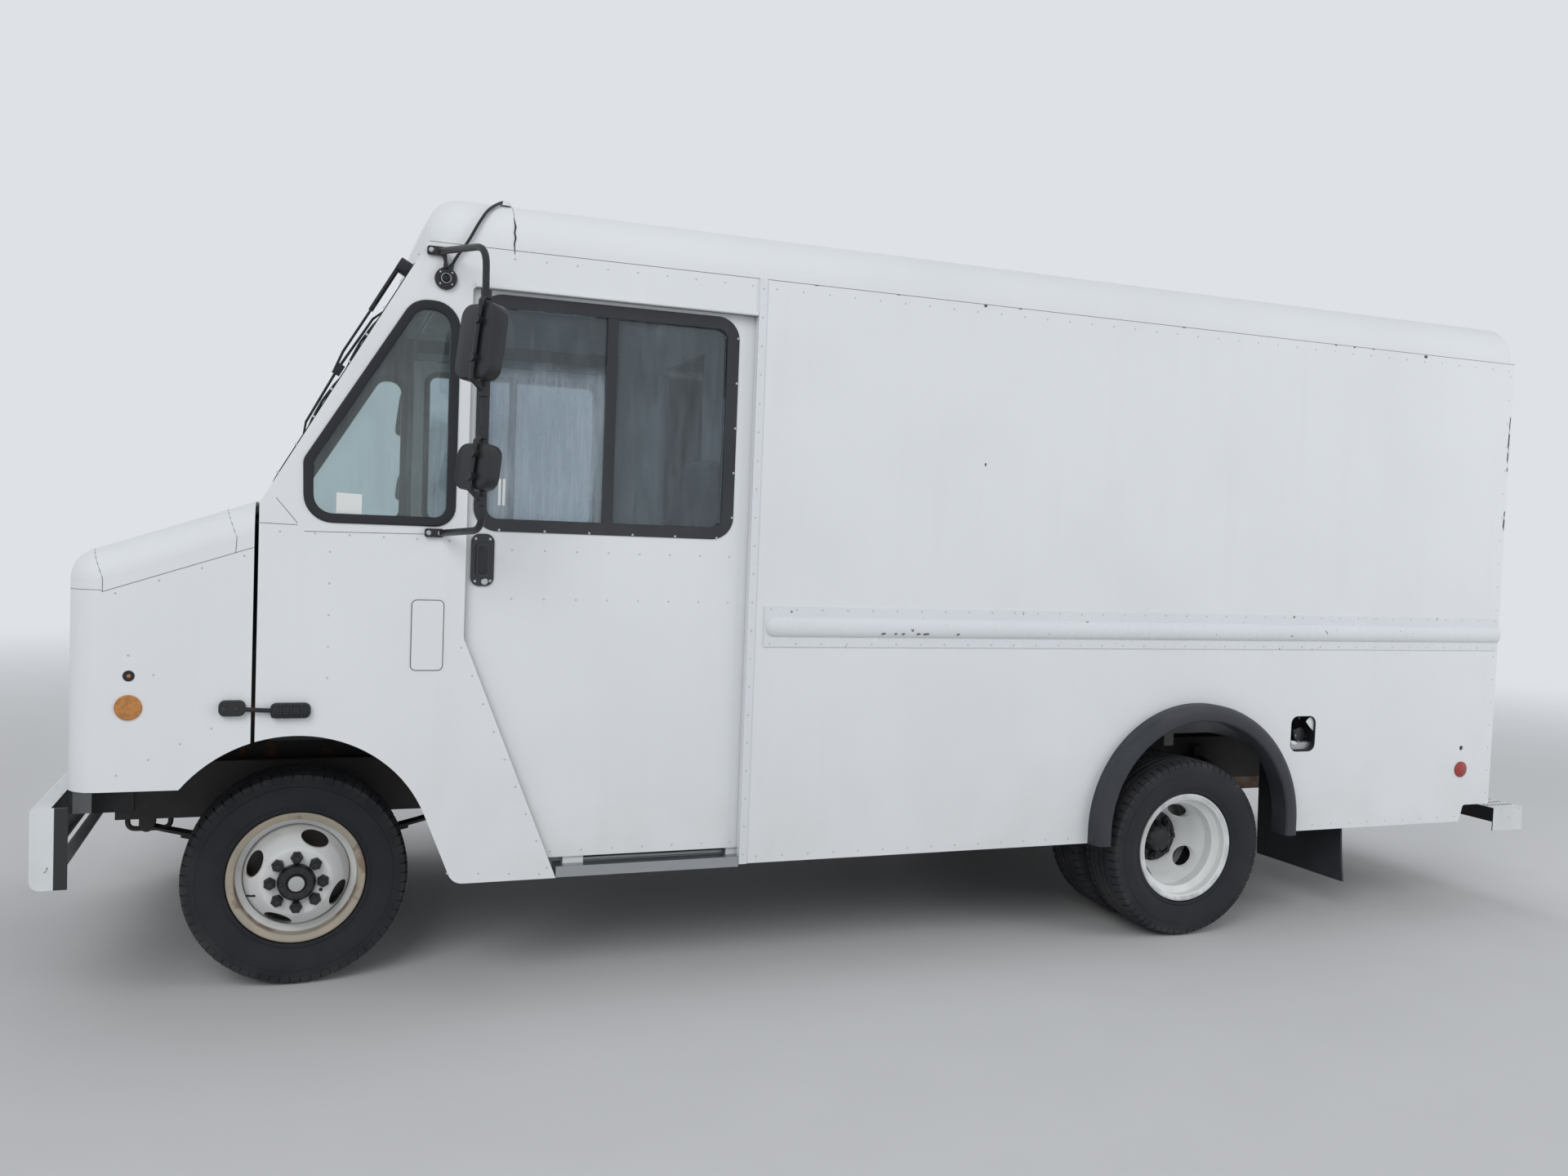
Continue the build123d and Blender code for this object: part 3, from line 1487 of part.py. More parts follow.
def engine_cover():
    """Insulated cover over the engine in the middle of the cab."""
    low = floor_top - floor_thick
    high = engine_gap_z + cover_wall
    outside, inside = cover_rounds
    wide = engine_gap_y + cover_wall
    outer = slab([(cab_inside, low, 0), (cover_rear, low, 0), (cover_rear, high - cover_step, outside),
                  (cover_bend_station, high, outside), (cab_inside, high, 0)], -wide, wide)
    back = cab_inside - cover_lap
    hollow = slab([(back, low - cover_lap, 0), (cover_rear - cover_wall, low - cover_lap, 0),
                   (cover_rear - cover_wall, engine_gap_z - cover_step, inside),
                   (cover_bend_station - 5, engine_gap_z, inside), (back, engine_gap_z, 0)],
                  -engine_gap_y, engine_gap_y)
    return outer - hollow


# Outside fittings
def swept_tube(path, radius):
    """Round tube along a path."""
    return sweep(Plane(origin=path @ 0, z_dir=path % 0) * Circle(radius), path=path)


def mirror_arm(side):
    """Tube bracket with two mirror heads, bolted to the cab side above and below the window."""
    outs = (arm_root, arm_out, arm_out, arm_root)
    path = FilletPolyline(*[(at(s), side * (half + out), z) for (s, z), out in zip(arm_points, outs)],
                          radius=[arm_bend, arm_bend])
    body = swept_tube(path, arm_radius)
    along, high = foot_half
    for station, z in zip(foot_stations, (arm_points[0][1], arm_points[-1][1])):
        body += block(station - along, station + along, side * half, side * (half + foot_thick),
                      z - high, z + high)
    for z, (height, width, depth) in zip(mirror_middles, mirror_heads):
        shell = extrude(Plane.YZ * RectangleRounded(width, height, head_corner), depth / 2, both=True)
        ends = [edge for edge in shell.edges() if abs(edge.center().X) > depth / 2 - 1]
        place = Pos(at(head_station), side * (half + arm_out), z)
        body += place * Rot(0, head_tilt, 0) * fillet(ends, head_round)
    return body


def side_camera():
    """Round camera housing below the upper mirror bracket."""
    face = -half - camera_proud
    lens = Pos(at(camera_station), face, camera_z) * Sphere(lens_radius)
    return tube_y(camera_radius, camera_station, camera_z, -half, face) + lens


def camera_cable():
    """Cable from the camera up over the cap to the roof seam."""
    points = [(at(s), -half - out, eaves_height + rise) for s, out, rise in cable_route]
    radii = []
    for a, b, c in zip(points, points[1:], points[2:]):
        first, second = Vector(b) - Vector(a), Vector(c) - Vector(b)
        turn = radians(first.get_angle(second))
        radii.append(cable_bend_share * min(first.length, second.length) / tan(turn / 2))
    print("cable radii", [round(r) for r in radii])
    return swept_tube(FilletPolyline(*points, radius=radii), cable_radius)


def wipers():
    """Two wipers hung from the top of the windshield."""
    plane = screen_plane()
    parts = []
    for side in (-1, 1):
        y, top = side * wiper_y, screen_length - wiper_top
        radius, height = wiper_pivot
        wiper = plane * Pos(y, top, height / 2) * Cylinder(radius, height)
        for drop, lift, width, length, thick in (wiper_arm, wiper_blade):
            wiper += plane * Pos(y, top - drop, lift) * Box(width, length, thick)
        parts.append(wiper)
    return parts


# Build
keep("frame_rails", rail(-1), rail(1))
keep("cross_members", *[cross_member(station) for station in cross_stations])
keep("front_bumper", front_bumper())
keep("rear_bumper", rear_bumper())
keep("front_axle", front_axle())
keep("leaf_springs", *front_springs(), *rear_springs())
keep("rear_axle", rear_axle(), driveline())
keep("engine_block", engine())
keep("radiator", radiator())
keep("exhaust_and_tank", exhaust(), fuel_tank())
keep("floor", floor())
for side, word in ((-1, "left"), (1, "right")):
    keep(f"side_panel_{word}", side_panel(side))
    keep(f"cab_side_{word}", cab_side(side))
    keep(f"knuckle_{word}", knuckle(side))
    keep(f"front_rim_{word}", front_wheel(side))
    keep(f"front_tyre_{word}", tyre(front_middle, 0, side))
    keep(f"rear_rims_{word}", rear_wheels(side))
    keep(f"rear_tyres_{word}", tyre(rear_middle, wheelbase, side), tyre(inner_middle, wheelbase, side))
    keep(f"door_{word}", door_panel(side))
    keep(f"door_frame_{word}", door_frame(side) + door_lock(side))
    keep(f"door_glass_{word}", door_glass(side))
keep("pocket_liners", pocket_liner(-1), pocket_liner(1))
keep("door_tracks", *door_tracks())
keep("tie_rod", tie_rod())
keep("roof", roof())
keep("front_cap", front_cap())
keep("windshield_frame", windshield_frame())
keep("cab_glass", *windshield(), quarter_glass(-1), quarter_glass(1))
keep("cab_rubber", quarter_gasket(-1), quarter_gasket(1), *side_pads(catch_place, catch_size, catch_proud))
keep("bulkhead", bulkhead())
keep("rear_portal", rear_portal())
keep("rear_door", rear_door())
keep("hood", hood_shell())
keep("grille_and_hooks", grille(), *side_pads(hook_place, hook_size, hook_proud))
keep("hood_lamps", *headlamps(), *hood_markers())
keep("body_trim", *body_trim())
keep("flares_and_flaps", *wheel_flares(), *mud_flaps())
keep("lamps", *lamps())
keep("filler_recess", filler_recess())
keep("dash", dash())
keep("steering", steering())
keep("seat_base", seat_base())
keep("seat_cushions", *seat_cushions())
keep("engine_cover", engine_cover())
keep("mirrors", mirror_arm(-1), mirror_arm(1), side_camera())
keep("camera_cable", camera_cable())
keep("wipers", *wipers())

os.makedirs("parts", exist_ok=True)
for name, shape in nodes.items():
    export_step(shape, f"parts/{name}.step")
print(len(nodes), "nodes")
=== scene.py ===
"""Looks of a step van: finishes, rivets, tyres, lamps, mirrors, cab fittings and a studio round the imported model.

Metres, +X to the rear, +Y to the van's right, +Z up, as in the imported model. Stations are distances behind
the front axle.
"""
import logging
from dataclasses import dataclass, field
from enum import Enum
from math import atan2, cos, hypot, pi, radians, sin, tan

import bmesh
import bpy
from mathutils import Matrix, Vector

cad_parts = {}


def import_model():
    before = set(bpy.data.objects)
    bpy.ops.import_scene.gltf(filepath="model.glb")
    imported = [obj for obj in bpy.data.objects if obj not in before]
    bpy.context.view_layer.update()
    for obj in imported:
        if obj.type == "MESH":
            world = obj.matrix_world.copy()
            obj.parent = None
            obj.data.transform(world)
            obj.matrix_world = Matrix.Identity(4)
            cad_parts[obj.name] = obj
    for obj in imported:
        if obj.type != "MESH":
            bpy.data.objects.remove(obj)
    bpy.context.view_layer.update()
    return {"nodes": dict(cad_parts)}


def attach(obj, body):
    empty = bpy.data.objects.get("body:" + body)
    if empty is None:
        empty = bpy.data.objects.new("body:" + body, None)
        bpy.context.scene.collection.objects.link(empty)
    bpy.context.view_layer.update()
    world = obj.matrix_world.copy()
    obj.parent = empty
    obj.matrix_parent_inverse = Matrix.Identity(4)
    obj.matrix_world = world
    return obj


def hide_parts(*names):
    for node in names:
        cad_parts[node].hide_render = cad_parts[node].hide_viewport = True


log = logging.getLogger("step_van")

Point = tuple[float, float, float]
Colour = tuple[float, float, float]

FRONT_AXLE_X = -2.2725
WHEELBASE = 3.378
WHEEL_Z = 0.360
SIDE_Y = 1.150
DOOR_Y = 1.120
FLAT_SHADE_ANGLE = radians(32)


def at(station: float) -> float:
    """X of a station."""
    return FRONT_AXLE_X + station


class Side(Enum):
    """The two sides of the van, by the sign of Y."""

    LEFT = -1
    RIGHT = 1

    @property
    def word(self) -> str:
        """The side's name in piece names."""
        return self.name.lower()


class Axis(Enum):
    """Axis that a turned shape stands on, as the order of (along, first, second) coordinates."""

    X = (0, 1, 2)
    Y = (1, 2, 0)
    Z = (2, 0, 1)

    def point(self, centre: Point, along: float, radius: float, angle: float) -> Vector:
        """Point at a distance along the axis and a radius and angle round it.

        Args:
            centre: Where along is 0.
            along: Distance along the axis.
            radius: Distance from the axis.
            angle: Turn about the axis in radians.

        Returns:
            The point.
        """
        place = list(centre)
        a, b, c = self.value
        place[a] += along
        place[b] += radius * cos(angle)
        place[c] += radius * sin(angle)
        return Vector(place)


# Finishes
class Shade:
    """Builder of one material's node tree."""

    def __init__(self, name: str) -> None:
        """Starts a material with one shader.

        Args:
            name: The material's name.
        """
        self.material = bpy.data.materials.new(name)
        self.material.use_nodes = True
        self.tree = self.material.node_tree
        self.tree.nodes.clear()
        self.shader = self.tree.nodes.new("ShaderNodeBsdfPrincipled")
        output = self.tree.nodes.new("ShaderNodeOutputMaterial")
        self.tree.links.new(self.shader.outputs[0], output.inputs["Surface"])
        self.coords = self.tree.nodes.new("ShaderNodeTexCoord")

    def feed(self, socket: bpy.types.NodeSocket, value: object) -> None:
        """Links a socket or sets its value."""
        if isinstance(value, bpy.types.NodeSocket):
            self.tree.links.new(value, socket)
        elif isinstance(value, tuple) and len(value) == 3 and socket.type == "RGBA":
            socket.default_value = (*value, 1.0)
        else:
            socket.default_value = value

    def set(self, **values: object) -> "Shade":
        """Sets the shader's sockets, named in snake case.

        Args:
            values: Socket names and their values or sources.

        Returns:
            This builder.
        """
        for name, value in values.items():
            words = " ".join(w.upper() if w == "ior" else w.capitalize() for w in name.split("_"))
            self.feed(self.shader.inputs[words], value)
        return self

    def math(self, operation: str, a: object, b: object = 0.0, clamp: bool = False) -> bpy.types.NodeSocket:
        """Result of a math operation on two values."""
        node = self.tree.nodes.new("ShaderNodeMath")
        node.operation = operation
        node.use_clamp = clamp
        self.feed(node.inputs[0], a)
        self.feed(node.inputs[1], b)
        return node.outputs[0]

    def place(self, stretch: Point = (1, 1, 1)) -> bpy.types.NodeSocket:
        """Object coordinates, multiplied by a stretch."""
        node = self.tree.nodes.new("ShaderNodeMapping")
        self.feed(node.inputs["Scale"], stretch)
        self.tree.links.new(self.coords.outputs["Object"], node.inputs["Vector"])
        return node.outputs[0]

    def axes(self) -> list[bpy.types.NodeSocket]:
        """The object's X, Y and Z coordinates."""
        node = self.tree.nodes.new("ShaderNodeSeparateXYZ")
        self.tree.links.new(self.coords.outputs["Object"], node.inputs[0])
        return list(node.outputs)

    def facing(self) -> list[bpy.types.NodeSocket]:
        """The surface normal's X, Y and Z in the object's own axes."""
        node = self.tree.nodes.new("ShaderNodeSeparateXYZ")
        self.tree.links.new(self.coords.outputs["Normal"], node.inputs[0])
        return list(node.outputs)

    def noise(self, scale: float, detail: float = 3.0, stretch: Point = (1, 1, 1)) -> bpy.types.NodeSocket:
        """Noise between 0 and 1."""
        node = self.tree.nodes.new("ShaderNodeTexNoise")
        self.feed(node.inputs["Vector"], self.place(stretch))
        self.feed(node.inputs["Scale"], scale)
        self.feed(node.inputs["Detail"], detail)
        return node.outputs[0]

    def cells(self, scale: float, stretch: Point = (1, 1, 1)) -> bpy.types.NodeSocket:
        """Distance to the nearest cell's middle."""
        node = self.tree.nodes.new("ShaderNodeTexVoronoi")
        self.feed(node.inputs["Vector"], self.place(stretch))
        self.feed(node.inputs["Scale"], scale)
        return node.outputs["Distance"]

    def waves(self, scale: float, direction: str, bend: float = 0.0) -> bpy.types.NodeSocket:
        """Parallel bands between 0 and 1 along a direction."""
        node = self.tree.nodes.new("ShaderNodeTexWave")
        node.bands_direction = direction
        self.feed(node.inputs["Vector"], self.place())
        self.feed(node.inputs["Scale"], scale)
        self.feed(node.inputs["Distortion"], bend)
        return node.outputs[1]

    def ramp(self, value: object, low: float, high: float) -> bpy.types.NodeSocket:
        """Smooth step from 0 at low to 1 at high."""
        node = self.tree.nodes.new("ShaderNodeMapRange")
        node.interpolation_type = "SMOOTHSTEP"
        self.feed(node.inputs["Value"], value)
        self.feed(node.inputs["From Min"], min(low, high))
        self.feed(node.inputs["From Max"], max(low, high))
        self.feed(node.inputs["To Min"], 0.0 if low < high else 1.0)
        self.feed(node.inputs["To Max"], 1.0 if low < high else 0.0)
        return node.outputs[0]

    def mix(self, share: object, first: object, second: object) -> bpy.types.NodeSocket:
        """Colour between two colours."""
        node = self.tree.nodes.new("ShaderNodeMix")
        node.data_type = "RGBA"
        for socket in node.inputs:
            if socket.enabled and socket.name in ("Factor", "A", "B"):
                self.feed(socket, {"Factor": share, "A": first, "B": second}[socket.name])
        return next(socket for socket in node.outputs if socket.enabled)

    def bump(self, height: object, strength: float, distance: float) -> "Shade":
        """Feeds the shader's normal from a height."""
        node = self.tree.nodes.new("ShaderNodeBump")
        self.feed(node.inputs["Height"], height)
        self.feed(node.inputs["Strength"], strength)
        self.feed(node.inputs["Distance"], distance)
        return self.set(normal=node.outputs[0])


@dataclass(frozen=True)
class Paint:
    """Sprayed paint with faint tone changes, road dust that thins upwards, chips that show rust, and optional painted
    shade on inner, lower and rear-facing faces.
    """

    name: str
    colour: Colour = (0.79, 0.81, 0.82)
    roughness: float = 0.34
    coat: float = 0.25
    dust: float = 0.12
    dust_top: float = 0.9
    dust_colour: Colour = (0.42, 0.38, 0.33)
    streaks: float = 0.03
    chips: float = 0.0
    chip_colour: Colour = (0.16, 0.09, 0.05)
    # Painted shade: a dark colour for faces that point toward the van's middle, down or rearward, and on bumpers for
    # faces that turn toward the van and the parts between the two bumpers
    lining: Colour | None = None
    span: tuple[float, float] | None = None

    def build(self) -> bpy.types.Material:
        """Makes the material.

        Returns:
            The material.
        """
        shade = Shade(self.name)
        x, y, z = shade.axes()
        darker = tuple(c * 0.97 for c in self.colour)
        colour = shade.mix(shade.ramp(shade.noise(1.7, 4), 0.35, 0.7), self.colour, darker)
        streaks = shade.math("MULTIPLY", shade.ramp(shade.noise(9, 5, (1.6, 1.6, 0.12)), 0.5, 0.78), self.streaks)
        colour = shade.mix(streaks, colour, self.dust_colour)
        low = shade.math("MULTIPLY", shade.ramp(z, self.dust_top, 0.35), shade.ramp(shade.noise(5, 6), 0.3, 0.75))
        colour = shade.mix(shade.math("MULTIPLY", low, self.dust), colour, self.dust_colour)
        if self.chips:
            spots = shade.ramp(shade.noise(38, 6), 0.70 - self.chips * 0.12, 0.74 - self.chips * 0.12)
            colour = shade.mix(spots, colour, self.chip_colour)
        nx, ny, nz = shade.facing()
        # Painted shade: faces turned toward the van, down or rearward, and bumper parts between the bumpers take the
        # dark colour that stands for the shade of hollows and undersides
        if self.span:
            between = shade.math("MULTIPLY", shade.ramp(x, self.span[0], self.span[0] + 0.002),
                                 shade.ramp(x, self.span[1], self.span[1] - 0.002))
            inward = shade.ramp(shade.math("MULTIPLY", nx, shade.math("SIGN", x)), -0.3, -0.6)
            colour = shade.mix(shade.math("MAXIMUM", between, inward), colour, self.lining)
        elif self.lining:
            inward = shade.math("MULTIPLY", ny, shade.math("SIGN", y))
            inside = shade.math("MAXIMUM", shade.ramp(inward, -0.3, -0.6), shade.ramp(nz, -0.3, -0.6))
            inside = shade.math("MAXIMUM", inside, shade.ramp(nx, 0.4, 0.7))
            colour = shade.mix(inside, colour, self.lining)
        shade.set(base_color=colour, coat_weight=self.coat, coat_roughness=0.12)
        shade.set(roughness=shade.math("ADD", shade.math("MULTIPLY", shade.noise(14), 0.16), self.roughness - 0.08))
        shade.bump(shade.noise(240, 2), 0.05, 0.0006)
        return shade.material


@dataclass(frozen=True)
class Metal:
    """Bare or coated metal, brushed along X, with rust and grime in patches."""

    name: str
    colour: Colour
    roughness: float = 0.35
    metallic: float = 1.0
    rust: float = 0.0
    rust_colour: Colour = (0.20, 0.10, 0.05)
    grain: Point = (4, 90, 90)

    def build(self) -> bpy.types.Material:
        """Makes the material."""
        shade = Shade(self.name)
        lines = shade.noise(6, 4, self.grain)
        colour = shade.mix(lines, tuple(c * 0.8 for c in self.colour), self.colour)
        if self.rust:
            spots = shade.ramp(shade.noise(11, 7), 0.68 - self.rust * 0.3, 0.78 - self.rust * 0.2)
            colour = shade.mix(spots, colour, self.rust_colour)
            shade.set(metallic=shade.math("MULTIPLY", shade.math("SUBTRACT", 1.0, spots), self.metallic))
        else:
            shade.set(metallic=self.metallic)
        shade.set(base_color=colour)
        shade.set(roughness=shade.math("ADD", shade.math("MULTIPLY", lines, 0.2), self.roughness - 0.1))
        shade.bump(lines, 0.12, 0.0004)
        return shade.material


@dataclass(frozen=True)
class Moulded:
    """Rubber or plastic with a fine grain and pale dust on what faces up."""

    name: str
    colour: Colour = (0.022, 0.023, 0.026)
    roughness: float = 0.55
    dust: float = 0.3
    dust_colour: Colour = (0.26, 0.24, 0.21)
    grain: float = 320.0
    depth: float = 0.0005

    def build(self) -> bpy.types.Material:
        """Makes the material."""
        shade = Shade(self.name)
        nz = shade.facing()[2]
        patches = shade.ramp(shade.noise(7, 6), 0.35, 0.8)
        up = shade.math("ADD", shade.math("MULTIPLY", shade.ramp(nz, -0.2, 0.9), 0.7), 0.3)
        share = shade.math("MULTIPLY", shade.math("MULTIPLY", patches, up), self.dust)
        shade.set(base_color=shade.mix(share, self.colour, self.dust_colour))
        shade.set(roughness=shade.math("ADD", shade.math("MULTIPLY", patches, 0.2), self.roughness - 0.08))
        shade.bump(shade.noise(self.grain, 2), 0.25, self.depth)
        return shade.material


@dataclass(frozen=True)
class Glazing:
    """Window glass, lightly tinted, with dust, dried runs and, on one pane, a pale band up to a height that is partly
    dried runs and partly a painted reflection of the pale ground.
    """

    name: str
    tint: Colour = (0.66, 0.75, 0.76)
    haze: float = 0.10
    film: float = 0.0
    film_top: float = 2.05
    film_rear: float = FRONT_AXLE_X + 0.955

    def build(self) -> bpy.types.Material:
        """Makes the material.

        Returns:
            The material.
        """
        shade = Shade(self.name)
        x, y, z = shade.axes()
        fine = shade.ramp(shade.noise(42, 5, (1.6, 1.6, 0.16)), 0.30, 0.85)
        broad = shade.ramp(shade.noise(5, 5, (1.0, 1.0, 0.6)), 0.30, 0.75)
        runs = shade.math("ADD", shade.math("MULTIPLY", fine, 0.55), shade.math("MULTIPLY", broad, 0.45))
        haze = shade.math("ADD", shade.math("MULTIPLY", runs, self.haze), 0.03)
        # Painted reflection: the pale band on the left pane is partly dried runs and partly a stand-in for the
        # ground's reflection, made as opaque haze
        if self.film:
            edge = shade.math("ADD", z, shade.math("MULTIPLY", shade.noise(7, 4), 0.22))
            low = shade.ramp(edge, self.film_top + 0.18, self.film_top + 0.06)
            low = shade.math("MULTIPLY", low, shade.ramp(x, self.film_rear + 0.002, self.film_rear))
            film = shade.math("MULTIPLY", shade.math("ADD", shade.math("MULTIPLY", runs, 0.6), 0.4), self.film)
            haze = shade.math("ADD", haze, shade.math("MULTIPLY", low, film), clamp=True)
        shade.set(base_color=self.tint, ior=1.45, roughness=0.02)
        shade.set(transmission_weight=shade.math("SUBTRACT", 1.0, haze))
        return shade.material


@dataclass(frozen=True)
class Lens:
    """Coloured lamp lens with moulded prisms."""

    name: str
    colour: Colour
    prisms: float = 90.0
    depth: float = 0.0015

    def build(self) -> bpy.types.Material:
        """Makes the material."""
        shade = Shade(self.name)
        cells = shade.cells(self.prisms)
        shade.set(base_color=shade.mix(cells, self.colour, tuple(c * 0.6 for c in self.colour)))
        shade.set(roughness=0.18, coat_weight=0.6, coat_roughness=0.05)
        shade.bump(cells, 0.5, self.depth)
        return shade.material


@dataclass(frozen=True)
class WheelPaint:
    """Painted steel wheel: disc, flange, nuts and hub told apart by radius and depth."""

    name: str
    axle_x: float
    pad_y: float
    disc: Colour = (0.78, 0.79, 0.78)
    flange: Colour = (0.74, 0.76, 0.76)
    flange_worn: Colour = (0.58, 0.60, 0.60)
    rust: float = 0.25
    hub: Colour = (0.018, 0.018, 0.021)
    cap: Colour = (0.018, 0.018, 0.021)
    brake: Colour = (0.06, 0.05, 0.045)
    flange_radius: float = 0.199
    nut_radius: float = 0.106
    cap_radius: float = 0.026

    def build(self) -> bpy.types.Material:
        """Makes the material."""
        shade = Shade(self.name)
        x, y, z = shade.axes()
        radius = shade.math("SQRT", shade.math(
            "ADD", shade.math("POWER", shade.math("SUBTRACT", x, self.axle_x), 2.0),
            shade.math("POWER", shade.math("SUBTRACT", z, WHEEL_Z), 2.0)))
        depth = shade.math("SUBTRACT", shade.math("ABSOLUTE", y), self.pad_y)
        grime = shade.ramp(shade.noise(12, 6), 0.45, 0.8)
        disc = shade.mix(shade.math("MULTIPLY", grime, 0.18), self.disc, (0.40, 0.34, 0.28))
        flange = shade.mix(shade.ramp(shade.noise(14, 7), 0.35, 0.62), self.flange, self.flange_worn)
        rust = shade.math("MULTIPLY", shade.ramp(shade.noise(8, 7), 0.57, 0.63), self.rust)
        flange = shade.mix(rust, flange, (0.15, 0.065, 0.04))
        colour = shade.mix(shade.ramp(radius, self.flange_radius, self.flange_radius + 0.003), disc, flange)
        proud = shade.math("MULTIPLY", shade.ramp(depth, 0.0008, 0.0014),
                           shade.ramp(radius, self.nut_radius, self.nut_radius - 0.002))
        colour = shade.mix(proud, colour, self.hub)
        cap = shade.math("MULTIPLY", proud, shade.ramp(radius, self.cap_radius, self.cap_radius - 0.002))
        colour = shade.mix(cap, colour, self.cap)
        for start, reach in ((-0.0125, 0.100), (-0.127, 0.1665)):
            hidden = shade.math("MULTIPLY", shade.ramp(depth, start + 0.001, start), shade.ramp(radius, reach, reach - 0.002))
            colour = shade.mix(hidden, colour, self.brake)
        shade.set(base_color=colour, coat_weight=0.1)
        shade.set(roughness=shade.math("ADD", shade.math("MULTIPLY", grime, 0.25), 0.36))
        shade.bump(shade.noise(130, 4), 0.12, 0.0006)
        return shade.material


@dataclass(frozen=True)
class Tread:
    """Tyre rubber, browner and dustier at the tread than on the side."""

    name: str
    axle_x: float
    colour: Colour = (0.017, 0.019, 0.024)
    dust_colour: Colour = (0.12, 0.11, 0.10)

    def build(self) -> bpy.types.Material:
        """Makes the material."""
        shade = Shade(self.name)
        x, y, z = shade.axes()
        radius = shade.math("SQRT", shade.math(
            "ADD", shade.math("POWER", shade.math("SUBTRACT", x, self.axle_x), 2.0),
            shade.math("POWER", shade.math("SUBTRACT", z, WHEEL_Z), 2.0)))
        patches = shade.ramp(shade.noise(9, 6), 0.3, 0.8)
        share = shade.math("MULTIPLY", patches, shade.math("ADD", shade.math(
            "MULTIPLY", shade.ramp(radius, 0.30, 0.352), 0.25), 0.06))
        shade.set(base_color=shade.mix(share, self.colour, self.dust_colour), roughness=0.78)
        rings = shade.math("SINE", shade.math("MULTIPLY", radius, 1500.0))
        shade.bump(shade.math("ADD", shade.math("MULTIPLY", rings, 0.25), shade.noise(260, 3)), 0.25, 0.0006)
        return shade.material


@dataclass(frozen=True)
class Cloth:
    """Woven seat cloth."""

    name: str
    colour: Colour = (0.10, 0.105, 0.12)
    thread: float = 900.0

    def build(self) -> bpy.types.Material:
        """Makes the material."""
        shade = Shade(self.name)
        weave = shade.math("MULTIPLY", shade.waves(self.thread, "X", 1.0), shade.waves(self.thread, "Z", 1.0))
        weave = shade.math("ADD", weave, shade.math("MULTIPLY", shade.waves(self.thread, "Y", 1.0), 0.5))
        colour = shade.mix(weave, tuple(c * 0.6 for c in self.colour), self.colour)
        worn = shade.math("MULTIPLY", shade.ramp(shade.noise(6, 5), 0.4, 0.8), 0.4)
        shade.set(base_color=shade.mix(worn, colour, (0.2, 0.19, 0.18)), roughness=0.9, sheen_weight=0.3)
        shade.bump(weave, 0.4, 0.0008)
        return shade.material


